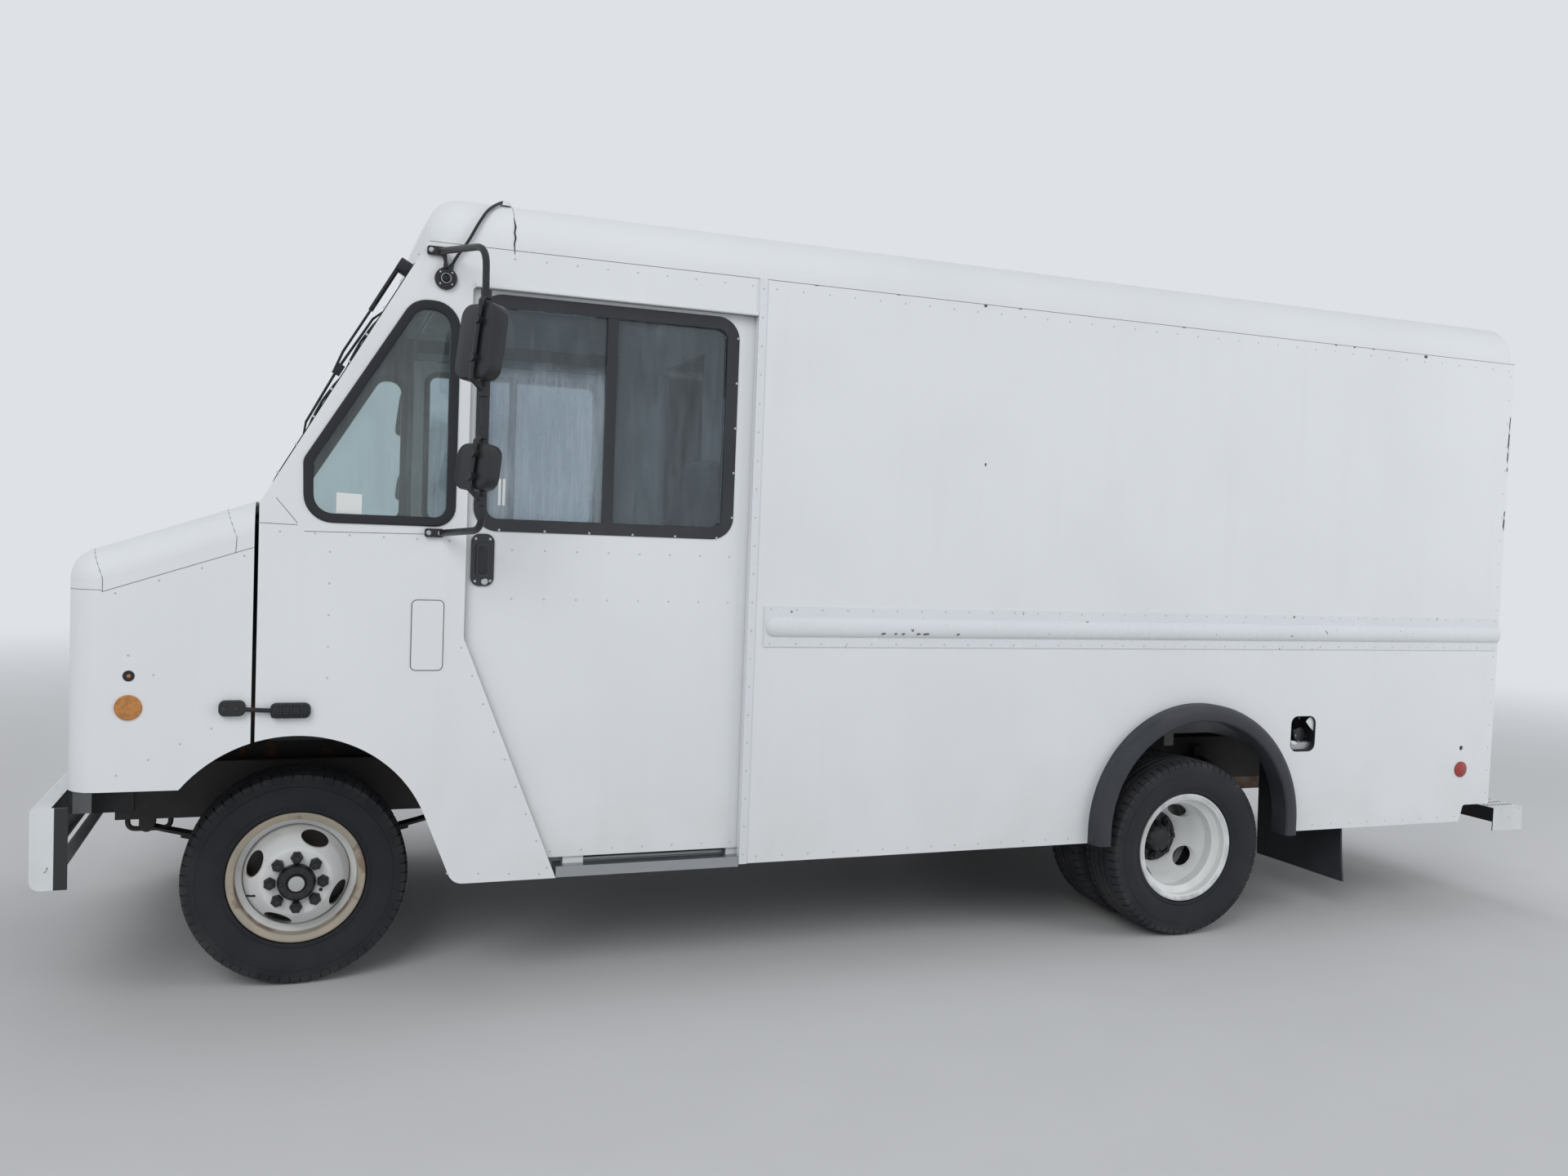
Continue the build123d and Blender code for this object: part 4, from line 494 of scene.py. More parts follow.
@dataclass
class Palette:
    """Every finish of the van, made once."""

    made: dict[str, bpy.types.Material] = field(default_factory=dict)
    finishes: tuple[object, ...] = (
        Paint("body_paint"),
        # Hood, cowl and bumpers carry a painted shade colour on their inner and lower faces
        Paint("hood_paint", lining=(0.035, 0.035, 0.037)),
        Paint("cowl_paint", lining=(0.10, 0.10, 0.10)),
        Paint("roof_paint", streaks=0.0),
        Paint("door_paint", dust=0.2, dust_top=0.8),
        Paint("recess_paint", colour=(0.016, 0.017, 0.020), chips=0.55, chip_colour=(0.55, 0.58, 0.58)),
        Paint("trim_paint", colour=(0.74, 0.77, 0.79), roughness=0.26, coat=0.4, chips=0.05),
        Paint("bumper_paint", colour=(0.74, 0.77, 0.78), roughness=0.42, coat=0.1, chips=0.12, dust=0.25,
              lining=(0.022, 0.022, 0.024), span=(-2.945, 2.785)),
        Paint("chassis_paint", colour=(0.028, 0.028, 0.030), roughness=0.5, coat=0.0, dust=0.45, dust_top=1.6,
              dust_colour=(0.10, 0.085, 0.07), chips=0.25, chip_colour=(0.075, 0.045, 0.03)),
        Paint("frame_paint", colour=(0.014, 0.016, 0.020), roughness=0.32, coat=0.2, dust=0.10, dust_top=3.0,
              dust_colour=(0.2, 0.2, 0.2)),
        Paint("rivet_paint", colour=(0.55, 0.58, 0.60), dust=0.3, dust_top=3.0),
        Metal("sheet_aluminium", (0.58, 0.59, 0.60), 0.42),
        Metal("sill_aluminium", (0.50, 0.52, 0.54), 0.40, rust=0.1, rust_colour=(0.10, 0.09, 0.08)),
        Metal("engine_iron", (0.10, 0.095, 0.09), 0.6, 0.5, 0.5),
        Metal("exhaust_steel", (0.26, 0.23, 0.20), 0.5, 0.9, 0.9),
        Metal("bright_steel", (0.62, 0.63, 0.64), 0.28),
        Metal("chrome", (0.85, 0.86, 0.87), 0.12, grain=(20, 20, 20)),
        Metal("mirror_silver", (0.90, 0.92, 0.93), 0.12, grain=(2, 2, 2)),
        Metal("camera_glass", (0.05, 0.055, 0.06), 0.15, grain=(2, 2, 2)),
        Moulded("black_rubber", colour=(0.012, 0.013, 0.016), dust=0.10),
        Moulded("flare_rubber", colour=(0.030, 0.033, 0.040), dust=0.4, dust_colour=(0.14, 0.14, 0.15)),
        Moulded("black_plastic", colour=(0.014, 0.015, 0.018), roughness=0.42, dust=0.10),
        Moulded("seam_dark", colour=(0.09, 0.085, 0.08), dust=0.2),
        Moulded("grey_plastic", colour=(0.12, 0.125, 0.13), dust=0.35, dust_colour=(0.38, 0.36, 0.33)),
        Moulded("wall_panel", colour=(0.62, 0.64, 0.62), dust=0.2, dust_colour=(0.4, 0.38, 0.34)),
        Moulded("paper_white", colour=(0.78, 0.80, 0.78), dust=0.1),
        Glazing("window_glass"),
        Glazing("door_window_glass", (0.52, 0.60, 0.66), 0.10, 0.50),
        Lens("amber_lens", (0.60, 0.24, 0.045)),
        Lens("red_lens", (0.42, 0.030, 0.022)),
        Lens("clear_lens", (0.72, 0.74, 0.75), 60.0),
        WheelPaint("front_wheel_paint", FRONT_AXLE_X, 0.924, flange=(0.46, 0.39, 0.30),
                   flange_worn=(0.40, 0.36, 0.29), rust=0.60, cap=(0.45, 0.46, 0.45), flange_radius=0.190),
        WheelPaint("rear_wheel_paint", FRONT_AXLE_X + WHEELBASE, 0.953),
        Tread("front_tyre_rubber", FRONT_AXLE_X),
        Tread("rear_tyre_rubber", FRONT_AXLE_X + WHEELBASE),
        Cloth("seat_cloth"),
    )

    def build(self) -> "Palette":
        """Makes every material.

        Returns:
            This palette.
        """
        for finish in self.finishes:
            self.made[finish.name] = finish.build()
        return self

    def __getitem__(self, name: str) -> bpy.types.Material:
        """A finish's material by its name."""
        return self.made[name]


# Geometry
class Form:
    """Mesh under construction."""

    def __init__(self) -> None:
        """Starts an empty mesh."""
        self.bm = bmesh.new()

    def prism(self, outline: list[Point], shift: Point, bevel: float = 0.0) -> "Form":
        """Adds a flat outline extruded by a shift.

        Args:
            outline: Corners of the outline, in order.
            shift: From the outline to its copy.
            bevel: Width of the rounded edges.

        Returns:
            This form.
        """
        first = [self.bm.verts.new(Vector(p)) for p in outline]
        last = [self.bm.verts.new(Vector(p) + Vector(shift)) for p in outline]
        faces = [self.bm.faces.new(first), self.bm.faces.new(last[::-1])]
        count = len(outline)
        for i in range(count):
            j = (i + 1) % count
            faces.append(self.bm.faces.new((first[i], last[i], last[j], first[j])))
        bmesh.ops.recalc_face_normals(self.bm, faces=faces)
        if bevel:
            edges = {edge for face in faces for edge in face.edges}
            bmesh.ops.bevel(self.bm, geom=list(edges), offset=bevel, segments=2, profile=0.5, affect="EDGES")
        return self

    def box(self, low: Point, high: Point, bevel: float = 0.0) -> "Form":
        """Adds a box between two corners."""
        (x0, y0, z0), (x1, y1, z1) = low, high
        return self.prism([(x0, y0, z0), (x1, y0, z0), (x1, y1, z0), (x0, y1, z0)], (0, 0, z1 - z0), bevel)

    def lathe(self, section: list[tuple[float, float]], centre: Point, axis: Axis, steps: int = 32,
              closed: bool = True) -> "Form":
        """Adds a turned shape.

        Args:
            section: Rows of (distance along the axis, radius). A radius of 0 is a pole.
            centre: Where the distance is 0.
            axis: Axis that it turns about.
            steps: Faces round the axis.
            closed: Whether the last row joins the first.

        Returns:
            This form.
        """
        rings = []
        for along, radius in section:
            if radius < 1e-6:
                rings.append([self.bm.verts.new(axis.point(centre, along, 0, 0))] * steps)
            else:
                rings.append([self.bm.verts.new(axis.point(centre, along, radius, 2 * pi * i / steps))
                              for i in range(steps)])
        faces = []
        for first, last in zip(rings, rings[1:] + rings[:1] if closed else rings[1:]):
            for i in range(steps):
                j = (i + 1) % steps
                corners = list(dict.fromkeys((first[i], first[j], last[j], last[i])))
                if len(corners) > 2:
                    faces.append(self.bm.faces.new(corners))
        bmesh.ops.recalc_face_normals(self.bm, faces=faces)
        return self

    def tube(self, points: list[Point], radius: float | list[float], sides: int = 8) -> "Form":
        """Adds a round tube along points, with closed ends and one radius or one for each point."""
        line = [Vector(p) for p in points]
        radii = radius if isinstance(radius, list) else [radius] * len(line)
        rings = []
        across = None
        for i, here in enumerate(line):
            along = (line[min(i + 1, len(line) - 1)] - line[max(i - 1, 0)]).normalized()
            if across is None:
                across = along.orthogonal().normalized()
            across = (across - along * across.dot(along)).normalized()
            other = along.cross(across)
            rings.append([self.bm.verts.new(here + radii[i] * (cos(2 * pi * k / sides) * across
                                                               + sin(2 * pi * k / sides) * other))
                          for k in range(sides)])
        faces = [self.bm.faces.new(rings[0]), self.bm.faces.new(rings[-1][::-1])]
        for first, last in zip(rings, rings[1:]):
            faces += [self.bm.faces.new((first[k], last[k], last[(k + 1) % sides], first[(k + 1) % sides]))
                      for k in range(sides)]
        bmesh.ops.recalc_face_normals(self.bm, faces=faces)
        return self

    def ring_prism(self, outer: list[Point], inner: list[Point], shift: Point) -> "Form":
        """Adds a flat ring between two outlines of the same count, extruded by a shift."""
        loops = [[self.bm.verts.new(Vector(p) + Vector(s)) for p in outline]
                 for outline, s in ((outer, (0, 0, 0)), (outer, shift), (inner, shift), (inner, (0, 0, 0)))]
        faces = []
        count = len(outer)
        for first, last in zip(loops, loops[1:] + loops[:1]):
            faces += [self.bm.faces.new((first[i], last[i], last[(i + 1) % count], first[(i + 1) % count]))
                      for i in range(count)]
        bmesh.ops.recalc_face_normals(self.bm, faces=faces)
        return self

    def mesh(self, name: str) -> bpy.types.Mesh:
        """Ends the construction.

        Args:
            name: The mesh's name.

        Returns:
            The finished mesh, shaded smooth up to a crease angle.
        """
        mesh = bpy.data.meshes.new(name)
        self.bm.to_mesh(mesh)
        self.bm.free()
        mesh.shade_smooth()
        mesh.set_sharp_from_angle(angle=FLAT_SHADE_ANGLE)
        return mesh


def rounded(width: float, height: float, radius: float, steps: int = 6) -> list[tuple[float, float]]:
    """Outline of a rounded rectangle about 0, 0.

    Args:
        width: Full width.
        height: Full height.
        radius: Corner radius.
        steps: Points in each corner, less one.

    Returns:
        The outline's points.
    """
    points = []
    for quarter, (sx, sy) in enumerate(((1, 1), (-1, 1), (-1, -1), (1, -1))):
        for i in range(steps + 1):
            angle = (quarter + i / steps) * pi / 2
            points.append((sx * (width / 2 - radius) + radius * cos(angle),
                           sy * (height / 2 - radius) + radius * sin(angle)))
    return points


def inset(corners: list[tuple[float, float]], distance: float) -> list[tuple[float, float]]:
    """Corners of a convex outline moved inward by a distance, in the same order."""
    area = sum(a[0] * b[1] - b[0] * a[1] for a, b in zip(corners, corners[1:] + corners[:1]))
    turn = 1 if area > 0 else -1
    lines = []
    for a, b in zip(corners, corners[1:] + corners[:1]):
        along = Vector((b[0] - a[0], b[1] - a[1])).normalized()
        inward = Vector((-along.y, along.x)) * turn
        lines.append((Vector(a) + inward * distance, along))
    moved = []
    for (p, u), (q, v) in zip(lines[-1:] + lines[:-1], lines):
        reach = (q - p).cross(v) / u.cross(v)
        moved.append(tuple(p + u * reach))
    return moved


def round_corners(corners: list[tuple[float, float]], radii: list[float], steps: int = 8) -> list[tuple[float, float]]:
    """Outline with each corner rounded by its own radius.

    Args:
        corners: Corners in order.
        radii: One radius for each corner.
        steps: Points in each corner, less one.

    Returns:
        The outline's points.
    """
    points = []
    for before, here, after, radius in zip(corners[-1:] + corners[:-1], corners, corners[1:] + corners[:1], radii):
        middle = Vector(here)
        back, ahead = (Vector(before) - middle).normalized(), (Vector(after) - middle).normalized()
        half = back.angle(ahead) / 2
        centre = middle + (back + ahead).normalized() * radius / sin(half)
        start = middle + back * radius / tan(half) - centre
        end = middle + ahead * radius / tan(half) - centre
        sweep = start.angle_signed(end)
        for i in range(steps + 1):
            angle = -sweep * i / steps
            points.append((centre.x + start.x * cos(angle) - start.y * sin(angle),
                           centre.y + start.x * sin(angle) + start.y * cos(angle)))
    return points


def bent(points: list[Point], reach: float, steps: int = 8) -> list[Point]:
    """Path of a bent tube: each inner corner is rounded over a reach on both of its sides."""
    line = [Vector(p) for p in points]
    path = [line[0]]
    for before, here, after in zip(line, line[1:], line[2:]):
        start = here + (before - here).normalized() * reach
        end = here + (after - here).normalized() * reach
        path += [start * (1 - t) ** 2 + here * 2 * t * (1 - t) + end * t ** 2 for t in
                 (i / steps for i in range(steps + 1))]
    return [tuple(p) for p in path + [line[-1]]]


def cut_away(mesh: bpy.types.Mesh, tool: bpy.types.Mesh) -> bpy.types.Mesh:
    """A mesh less what lies in a second one."""
    body, cutter = bpy.data.objects.new("body", mesh), bpy.data.objects.new("cutter", tool)
    for thing in (body, cutter):
        bpy.context.scene.collection.objects.link(thing)
    cut = body.modifiers.new("cut", "BOOLEAN")
    cut.operation = "DIFFERENCE"
    cut.solver = "EXACT"
    cut.object = cutter
    bpy.context.view_layer.update()
    result = bpy.data.meshes.new_from_object(body.evaluated_get(bpy.context.evaluated_depsgraph_get()))
    for thing in (body, cutter):
        bpy.data.objects.remove(thing)
    return result


def piece(name: str, mesh: bpy.types.Mesh, material: bpy.types.Material, body: str) -> bpy.types.Object:
    """Puts a mesh into the scene as a piece of the van.

    Args:
        name: Name of the piece.
        mesh: Its mesh, in place.
        material: Its finish.
        body: Body that it rides on.

    Returns:
        The new object.
    """
    thing = bpy.data.objects.new(name, mesh)
    bpy.context.scene.collection.objects.link(thing)
    mesh.materials.clear()
    mesh.materials.append(material)
    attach(thing, body)
    log.info("%s: %d faces on %s", name, len(mesh.polygons), body)
    return thing


# Repeats
class Graph:
    """Builder of one geometry node tree."""

    def __init__(self, name: str, inputs: list[tuple[str, str]]) -> None:
        """Starts a tree with named inputs.

        Args:
            name: The tree's name.
            inputs: Rows of (input name, socket type) after the geometry.
        """
        self.tree = bpy.data.node_groups.new(name, "GeometryNodeTree")
        self.tree.interface.new_socket(name="Item", in_out="INPUT", socket_type="NodeSocketGeometry")
        for label, kind in inputs:
            self.tree.interface.new_socket(name=label, in_out="INPUT", socket_type=kind)
        self.tree.interface.new_socket(name="Geometry", in_out="OUTPUT", socket_type="NodeSocketGeometry")
        self.entry = self.tree.nodes.new("NodeGroupInput")

    def add(self, kind: str, values: dict[str, object], **options: object) -> bpy.types.Node:
        """Adds a node and feeds its sockets.

        Args:
            kind: The node's type.
            values: Socket names with values or source sockets.
            options: Properties of the node.

        Returns:
            The node.
        """
        node = self.tree.nodes.new(kind)
        for key, value in options.items():
            setattr(node, key, value)
        for label, value in values.items():
            socket = next(s for s in node.inputs if s.name == label and s.enabled)
            if isinstance(value, bpy.types.NodeSocket):
                self.tree.links.new(value, socket)
            else:
                socket.default_value = value
        return node

    def given(self, label: str) -> bpy.types.NodeSocket:
        """Source socket of a named input."""
        return self.entry.outputs[label]

    def end(self, instances: bpy.types.NodeSocket) -> bpy.types.NodeTree:
        """Realizes the instances, sets their finish and closes the tree."""
        real = self.add("GeometryNodeRealizeInstances", {"Geometry": instances})
        painted = self.add("GeometryNodeSetMaterial", {"Geometry": real.outputs[0], "Material": self.given("Finish")})
        self.add("NodeGroupOutput", {"Geometry": painted.outputs[0]})
        return self.tree


class Repeater:
    """The three geometry node trees that set out repeated items."""

    def __init__(self) -> None:
        """Builds the trees."""
        self.rows = self._rows()
        self.rings = self._rings()
        self.grids = self._grids()

    def _rows(self) -> bpy.types.NodeTree:
        """Items at a spacing along every line of a path object, with slight random wear."""
        graph = Graph("items_along_rows", [("Path", "NodeSocketObject"), ("Spacing", "NodeSocketFloat"),
                                           ("Wear", "NodeSocketFloat"), ("Finish", "NodeSocketMaterial")])
        info = graph.add("GeometryNodeObjectInfo", {"Object": graph.given("Path")})
        curve = graph.add("GeometryNodeMeshToCurve", {"Mesh": info.outputs["Geometry"]})
        spaced = graph.add("GeometryNodeResampleCurve", {"Curve": curve.outputs[0], "Length": graph.given("Spacing")},
                           mode="LENGTH")
        least = graph.add("ShaderNodeMath", {}, operation="SUBTRACT")
        least.inputs[0].default_value = 1.0
        graph.tree.links.new(graph.given("Wear"), least.inputs[1])
        size = graph.add("FunctionNodeRandomValue", {"Min": least.outputs[0], "Max": 1.0, "Seed": 7},
                         data_type="FLOAT")
        factor = next(s for s in size.outputs if s.enabled)
        placed = graph.add("GeometryNodeInstanceOnPoints", {"Points": spaced.outputs[0],
                                                            "Instance": graph.given("Item"), "Scale": factor})
        return graph.end(placed.outputs[0])

    def _rings(self) -> bpy.types.NodeTree:
        """Copies of an item turned evenly about an axis through a centre."""
        graph = Graph("items_round_axis", [("Count", "NodeSocketInt"), ("Centre", "NodeSocketVector"),
                                           ("Axis", "NodeSocketVector"), ("Finish", "NodeSocketMaterial")])
        points = graph.add("GeometryNodeMeshLine", {"Count": graph.given("Count"),
                                                    "Start Location": graph.given("Centre"),
                                                    "Offset": (0.0, 0.0, 0.0)}, mode="OFFSET")
        index = graph.add("GeometryNodeInputIndex", {})
        step = graph.add("ShaderNodeMath", {}, operation="DIVIDE")
        step.inputs[0].default_value = 2 * pi
        graph.tree.links.new(graph.given("Count"), step.inputs[1])
        angle = graph.add("ShaderNodeMath", {}, operation="MULTIPLY")
        graph.tree.links.new(index.outputs[0], angle.inputs[0])
        graph.tree.links.new(step.outputs[0], angle.inputs[1])
        turn = graph.add("FunctionNodeAxisAngleToRotation", {"Axis": graph.given("Axis"), "Angle": angle.outputs[0]})
        placed = graph.add("GeometryNodeInstanceOnPoints", {"Points": points.outputs[0],
                                                            "Instance": graph.given("Item"),
                                                            "Rotation": turn.outputs[0]})
        return graph.end(placed.outputs[0])

    def _grids(self) -> bpy.types.NodeTree:
        """Items on a level grid, every second one turned a quarter."""
        graph = Graph("items_on_grid", [("Size X", "NodeSocketFloat"), ("Size Y", "NodeSocketFloat"),
                                        ("Count X", "NodeSocketInt"), ("Count Y", "NodeSocketInt"),
                                        ("Centre", "NodeSocketVector"), ("Finish", "NodeSocketMaterial")])
        grid = graph.add("GeometryNodeMeshGrid", {"Size X": graph.given("Size X"), "Size Y": graph.given("Size Y"),
                                                  "Vertices X": graph.given("Count X"),
                                                  "Vertices Y": graph.given("Count Y")})
        moved = graph.add("GeometryNodeTransform", {"Geometry": grid.outputs["Mesh"],
                                                    "Translation": graph.given("Centre")})
        index = graph.add("GeometryNodeInputIndex", {})
        odd = graph.add("ShaderNodeMath", {}, operation="MODULO")
        graph.tree.links.new(index.outputs[0], odd.inputs[0])
        odd.inputs[1].default_value = 2.0
        angle = graph.add("ShaderNodeMath", {}, operation="MULTIPLY")
        graph.tree.links.new(odd.outputs[0], angle.inputs[0])
        angle.inputs[1].default_value = pi / 2
        turn = graph.add("FunctionNodeAxisAngleToRotation", {"Axis": (0.0, 0.0, 1.0), "Angle": angle.outputs[0]})
        placed = graph.add("GeometryNodeInstanceOnPoints", {"Points": moved.outputs[0],
                                                            "Instance": graph.given("Item"),
                                                            "Rotation": turn.outputs[0]})
        return graph.end(placed.outputs[0])

    def _run(self, tree: bpy.types.NodeTree, item: Form, values: dict[str, object]) -> bpy.types.Mesh:
        """Runs a tree on an item and returns the plain mesh."""
        source = bpy.data.objects.new("item", item.mesh("item"))
        bpy.context.scene.collection.objects.link(source)
        modifier = source.modifiers.new("repeat", "NODES")
        modifier.node_group = tree
        keys = {s.name: s.identifier for s in tree.interface.items_tree if s.in_out == "INPUT"}
        for label, value in values.items():
            modifier[keys[label]] = value
        bpy.context.view_layer.update()
        depsgraph = bpy.context.evaluated_depsgraph_get()
        mesh = bpy.data.meshes.new_from_object(source.evaluated_get(depsgraph))
        source.modifiers.remove(modifier)
        bpy.data.objects.remove(source)
        return mesh

    def along(self, item: Form, rows: list[list[Point]], spacing: float, finish: bpy.types.Material,
              wear: float = 0.0) -> bpy.types.Mesh:
        """Items along rows.

        Args:
            item: The item about the origin.
            rows: Lines of points.
            spacing: Distance between items.
            finish: Their material.
            wear: How much smaller the smallest may be.

        Returns:
            One plain mesh.
        """
        points = [Vector(p) for row in rows for p in row]
        edges = []
        start = 0
        for row in rows:
            edges += [(start + i, start + i + 1) for i in range(len(row) - 1)]
            start += len(row)
        lines = bpy.data.meshes.new("rows")
        lines.from_pydata(points, edges, [])
        path = bpy.data.objects.new("rows", lines)
        bpy.context.scene.collection.objects.link(path)
        mesh = self._run(self.rows, item, {"Path": path, "Spacing": spacing, "Wear": wear, "Finish": finish})
        bpy.data.objects.remove(path)
        return mesh

    def around(self, item: Form, count: int, centre: Point, axis: Point, finish: bpy.types.Material) -> bpy.types.Mesh:
        """Items turned evenly about an axis; the item is modelled as if the centre were the origin."""
        return self._run(self.rings, item, {"Count": count, "Centre": centre, "Axis": axis, "Finish": finish})

    def over(self, item: Form, size: tuple[float, float], count: tuple[int, int], centre: Point,
             finish: bpy.types.Material) -> bpy.types.Mesh:
        """Items over a level grid."""
        return self._run(self.grids, item, {"Size X": size[0], "Size Y": size[1], "Count X": count[0],
                                            "Count Y": count[1], "Centre": centre, "Finish": finish})


def joined(name: str, meshes: list[bpy.types.Mesh]) -> bpy.types.Mesh:
    """Several meshes as one."""
    bm = bmesh.new()
    for mesh in meshes:
        bm.from_mesh(mesh)
    whole = bpy.data.meshes.new(name)
    bm.to_mesh(whole)
    bm.free()
    whole.shade_smooth()
    whole.set_sharp_from_angle(angle=FLAT_SHADE_ANGLE)
    return whole


def dome(radius: float, height: float, axis: Axis, side: int, steps: int = 8) -> Form:
    """Small rivet head that stands on a surface.

    Args:
        radius: Its radius.
        height: How far it stands out.
        axis: Axis that it stands on.
        side: 1 or -1 along that axis.
        steps: Faces round it.

    Returns:
        The head about the origin.
    """
    section = [(-0.0005 * side, radius), (0.45 * height * side, radius * 0.86), (0.85 * height * side, radius * 0.5),
               (height * side, 0.0)]
    return Form().lathe(section, (0, 0, 0), axis, steps, closed=False)


@dataclass
class Workshop:
    """What every sub-assembly is built with."""

    palette: Palette
    repeat: Repeater


@dataclass
class CameraCable:
    """Cable of the side camera, over the cap to the roof seam."""

    shop: Workshop
    radius: float = 0.005
    length: float = 0.355
    route: tuple[Point, ...] = ((0.4181, 0.0092, 2.3749), (0.433, 0.012, 2.409), (0.468, 0.016, 2.458),
                                (0.503, 0.010, 2.530), (0.545, -0.038, 2.598), (0.592, -0.106, 2.631))

    def build(self) -> None:
        """Lays the cable along its route."""
        curve = bpy.data.curves.new("side_camera_cable", "CURVE")
        curve.dimensions = "3D"
        curve.bevel_depth = self.radius
        curve.bevel_resolution = 4
        curve.use_fill_caps = True
        spline = curve.splines.new("NURBS")
        points = [(at(s), -SIDE_Y - out, z) for s, out, z in self.route]
        spline.points.add(len(points) - 1)
        for knot, place in zip(spline.points, points):
            knot.co = (*place, 1.0)
        spline.order_u = 3
        spline.use_endpoint_u = True
        curve.materials.append(self.shop.palette["black_rubber"])
        cable = bpy.data.objects.new("side_camera_cable", curve)
        bpy.context.scene.collection.objects.link(cable)
        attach(cable, "root")
        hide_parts("camera_cable")


@dataclass
class Studio:
    """Camera at the photograph's place, a pale floor, a plain world and soft lamps."""

    eye: Point = (-2.2651, -5.3565, 1.5628)
    yaw: float = 20.7203
    pitch: float = -2.3475
    roll: float = 2.1897
    lens: float = 29.0625
    floor_colour: Colour = (0.66, 0.66, 0.66)
    floor_fade: tuple[float, float] = (4.8, 15.0)
    # Rows of (name, place, aim, size, power)
    lamps: tuple[tuple[str, Point, Point, float, float], ...] = (
        ("key", (-5.5, -7.5, 6.5), (-0.5, 0, 1.2), 5.0, 320.0),
        ("fill", (6.0, -6.0, 3.5), (0.5, 0, 1.2), 5.0, 150.0),
        ("back", (2.0, 8.5, 6.5), (0, 0, 1.2), 5.0, 300.0),
    )

    def camera(self) -> None:
        """Sets the camera."""
        yaw, pitch, roll = radians(self.yaw), radians(self.pitch), radians(self.roll)
        ahead = Vector((sin(yaw) * cos(pitch), cos(yaw) * cos(pitch), sin(pitch)))
        right = Vector((cos(yaw), -sin(yaw), 0))
        up = right.cross(ahead)
        level, upright = cos(roll) * right + sin(roll) * up, -sin(roll) * right + cos(roll) * up
        turn = Matrix((level, upright, -ahead)).transposed()
        data = bpy.data.cameras.new("camera")
        data.lens = self.lens
        data.sensor_width = 36.0
        data.sensor_fit = "HORIZONTAL"
        data.clip_end = 100.0
        camera = bpy.data.objects.new("camera", data)
        bpy.context.scene.collection.objects.link(camera)
        camera.matrix_world = Matrix.Translation(self.eye) @ turn.to_4x4()
        bpy.context.scene.camera = camera

    def world(self) -> None:
        """Sets an even pale world, brighter where it is seen than where it lights."""
        world = bpy.data.worlds.new("studio")
        world.use_nodes = True
        bpy.context.scene.world = world
        tree = world.node_tree
        tree.nodes.clear()
        path = tree.nodes.new("ShaderNodeLightPath")
        seen = None
        for ray in ("Is Glossy Ray", "Is Transmission Ray"):
            most = tree.nodes.new("ShaderNodeMath")
            most.operation = "MAXIMUM"
            tree.links.new(seen or path.outputs["Is Camera Ray"], most.inputs[0])
            tree.links.new(path.outputs[ray], most.inputs[1])
            seen = most.outputs[0]
        shaders = []
        for colour, strength in (((0.90, 0.94, 1.0, 1.0), 0.50), ((0.86, 0.89, 0.93, 1.0), 0.85)):
            glow = tree.nodes.new("ShaderNodeBackground")
            glow.inputs["Color"].default_value = colour
            glow.inputs["Strength"].default_value = strength
            shaders.append(glow.outputs[0])
        mix = tree.nodes.new("ShaderNodeMixShader")
        tree.links.new(seen, mix.inputs[0])
        tree.links.new(shaders[0], mix.inputs[1])
        tree.links.new(shaders[1], mix.inputs[2])
        output = tree.nodes.new("ShaderNodeOutputWorld")
        tree.links.new(mix.outputs[0], output.inputs["Surface"])

    def floor(self) -> None:
        """Lays the floor."""
        mesh = bpy.data.meshes.new("studio_floor")
        reach = 30.0
        mesh.from_pydata([(-reach, -reach, 0), (reach, -reach, 0), (reach, reach, 0), (-reach, reach, 0)], [],
                         [(0, 1, 2, 3)])
        shade = Shade("studio_floor")
        tone = tuple(c * 0.94 for c in self.floor_colour)
        x, y, z = shade.axes()
        away = shade.math("SQRT", shade.math("ADD", shade.math("POWER", x, 2.0), shade.math("POWER", y, 2.0)))
        shade.set(base_color=shade.mix(shade.noise(3, 5), self.floor_colour, tone), roughness=0.9,
                  alpha=shade.ramp(away, self.floor_fade[1], self.floor_fade[0]))
        mesh.materials.append(shade.material)
        floor = bpy.data.objects.new("studio_floor", mesh)
        bpy.context.scene.collection.objects.link(floor)

    def light(self) -> None:
        """Hangs the lamps."""
        for name, place, aim, size, power in self.lamps:
            data = bpy.data.lights.new(name, "AREA")
            data.size = size
            data.energy = power
            lamp = bpy.data.objects.new(name, data)
            bpy.context.scene.collection.objects.link(lamp)
            lamp.location = place
            lamp.visible_glossy = False
            lamp.rotation_mode = "QUATERNION"
            lamp.rotation_quaternion = (Vector(aim) - Vector(place)).to_track_quat("-Z", "Y")

    def build(self) -> None:
        """Sets up everything round the van."""
        bpy.context.scene.view_settings.view_transform = "Standard"
        self.camera()
        self.world()
        self.floor()
        self.light()
        log.info("studio ready")


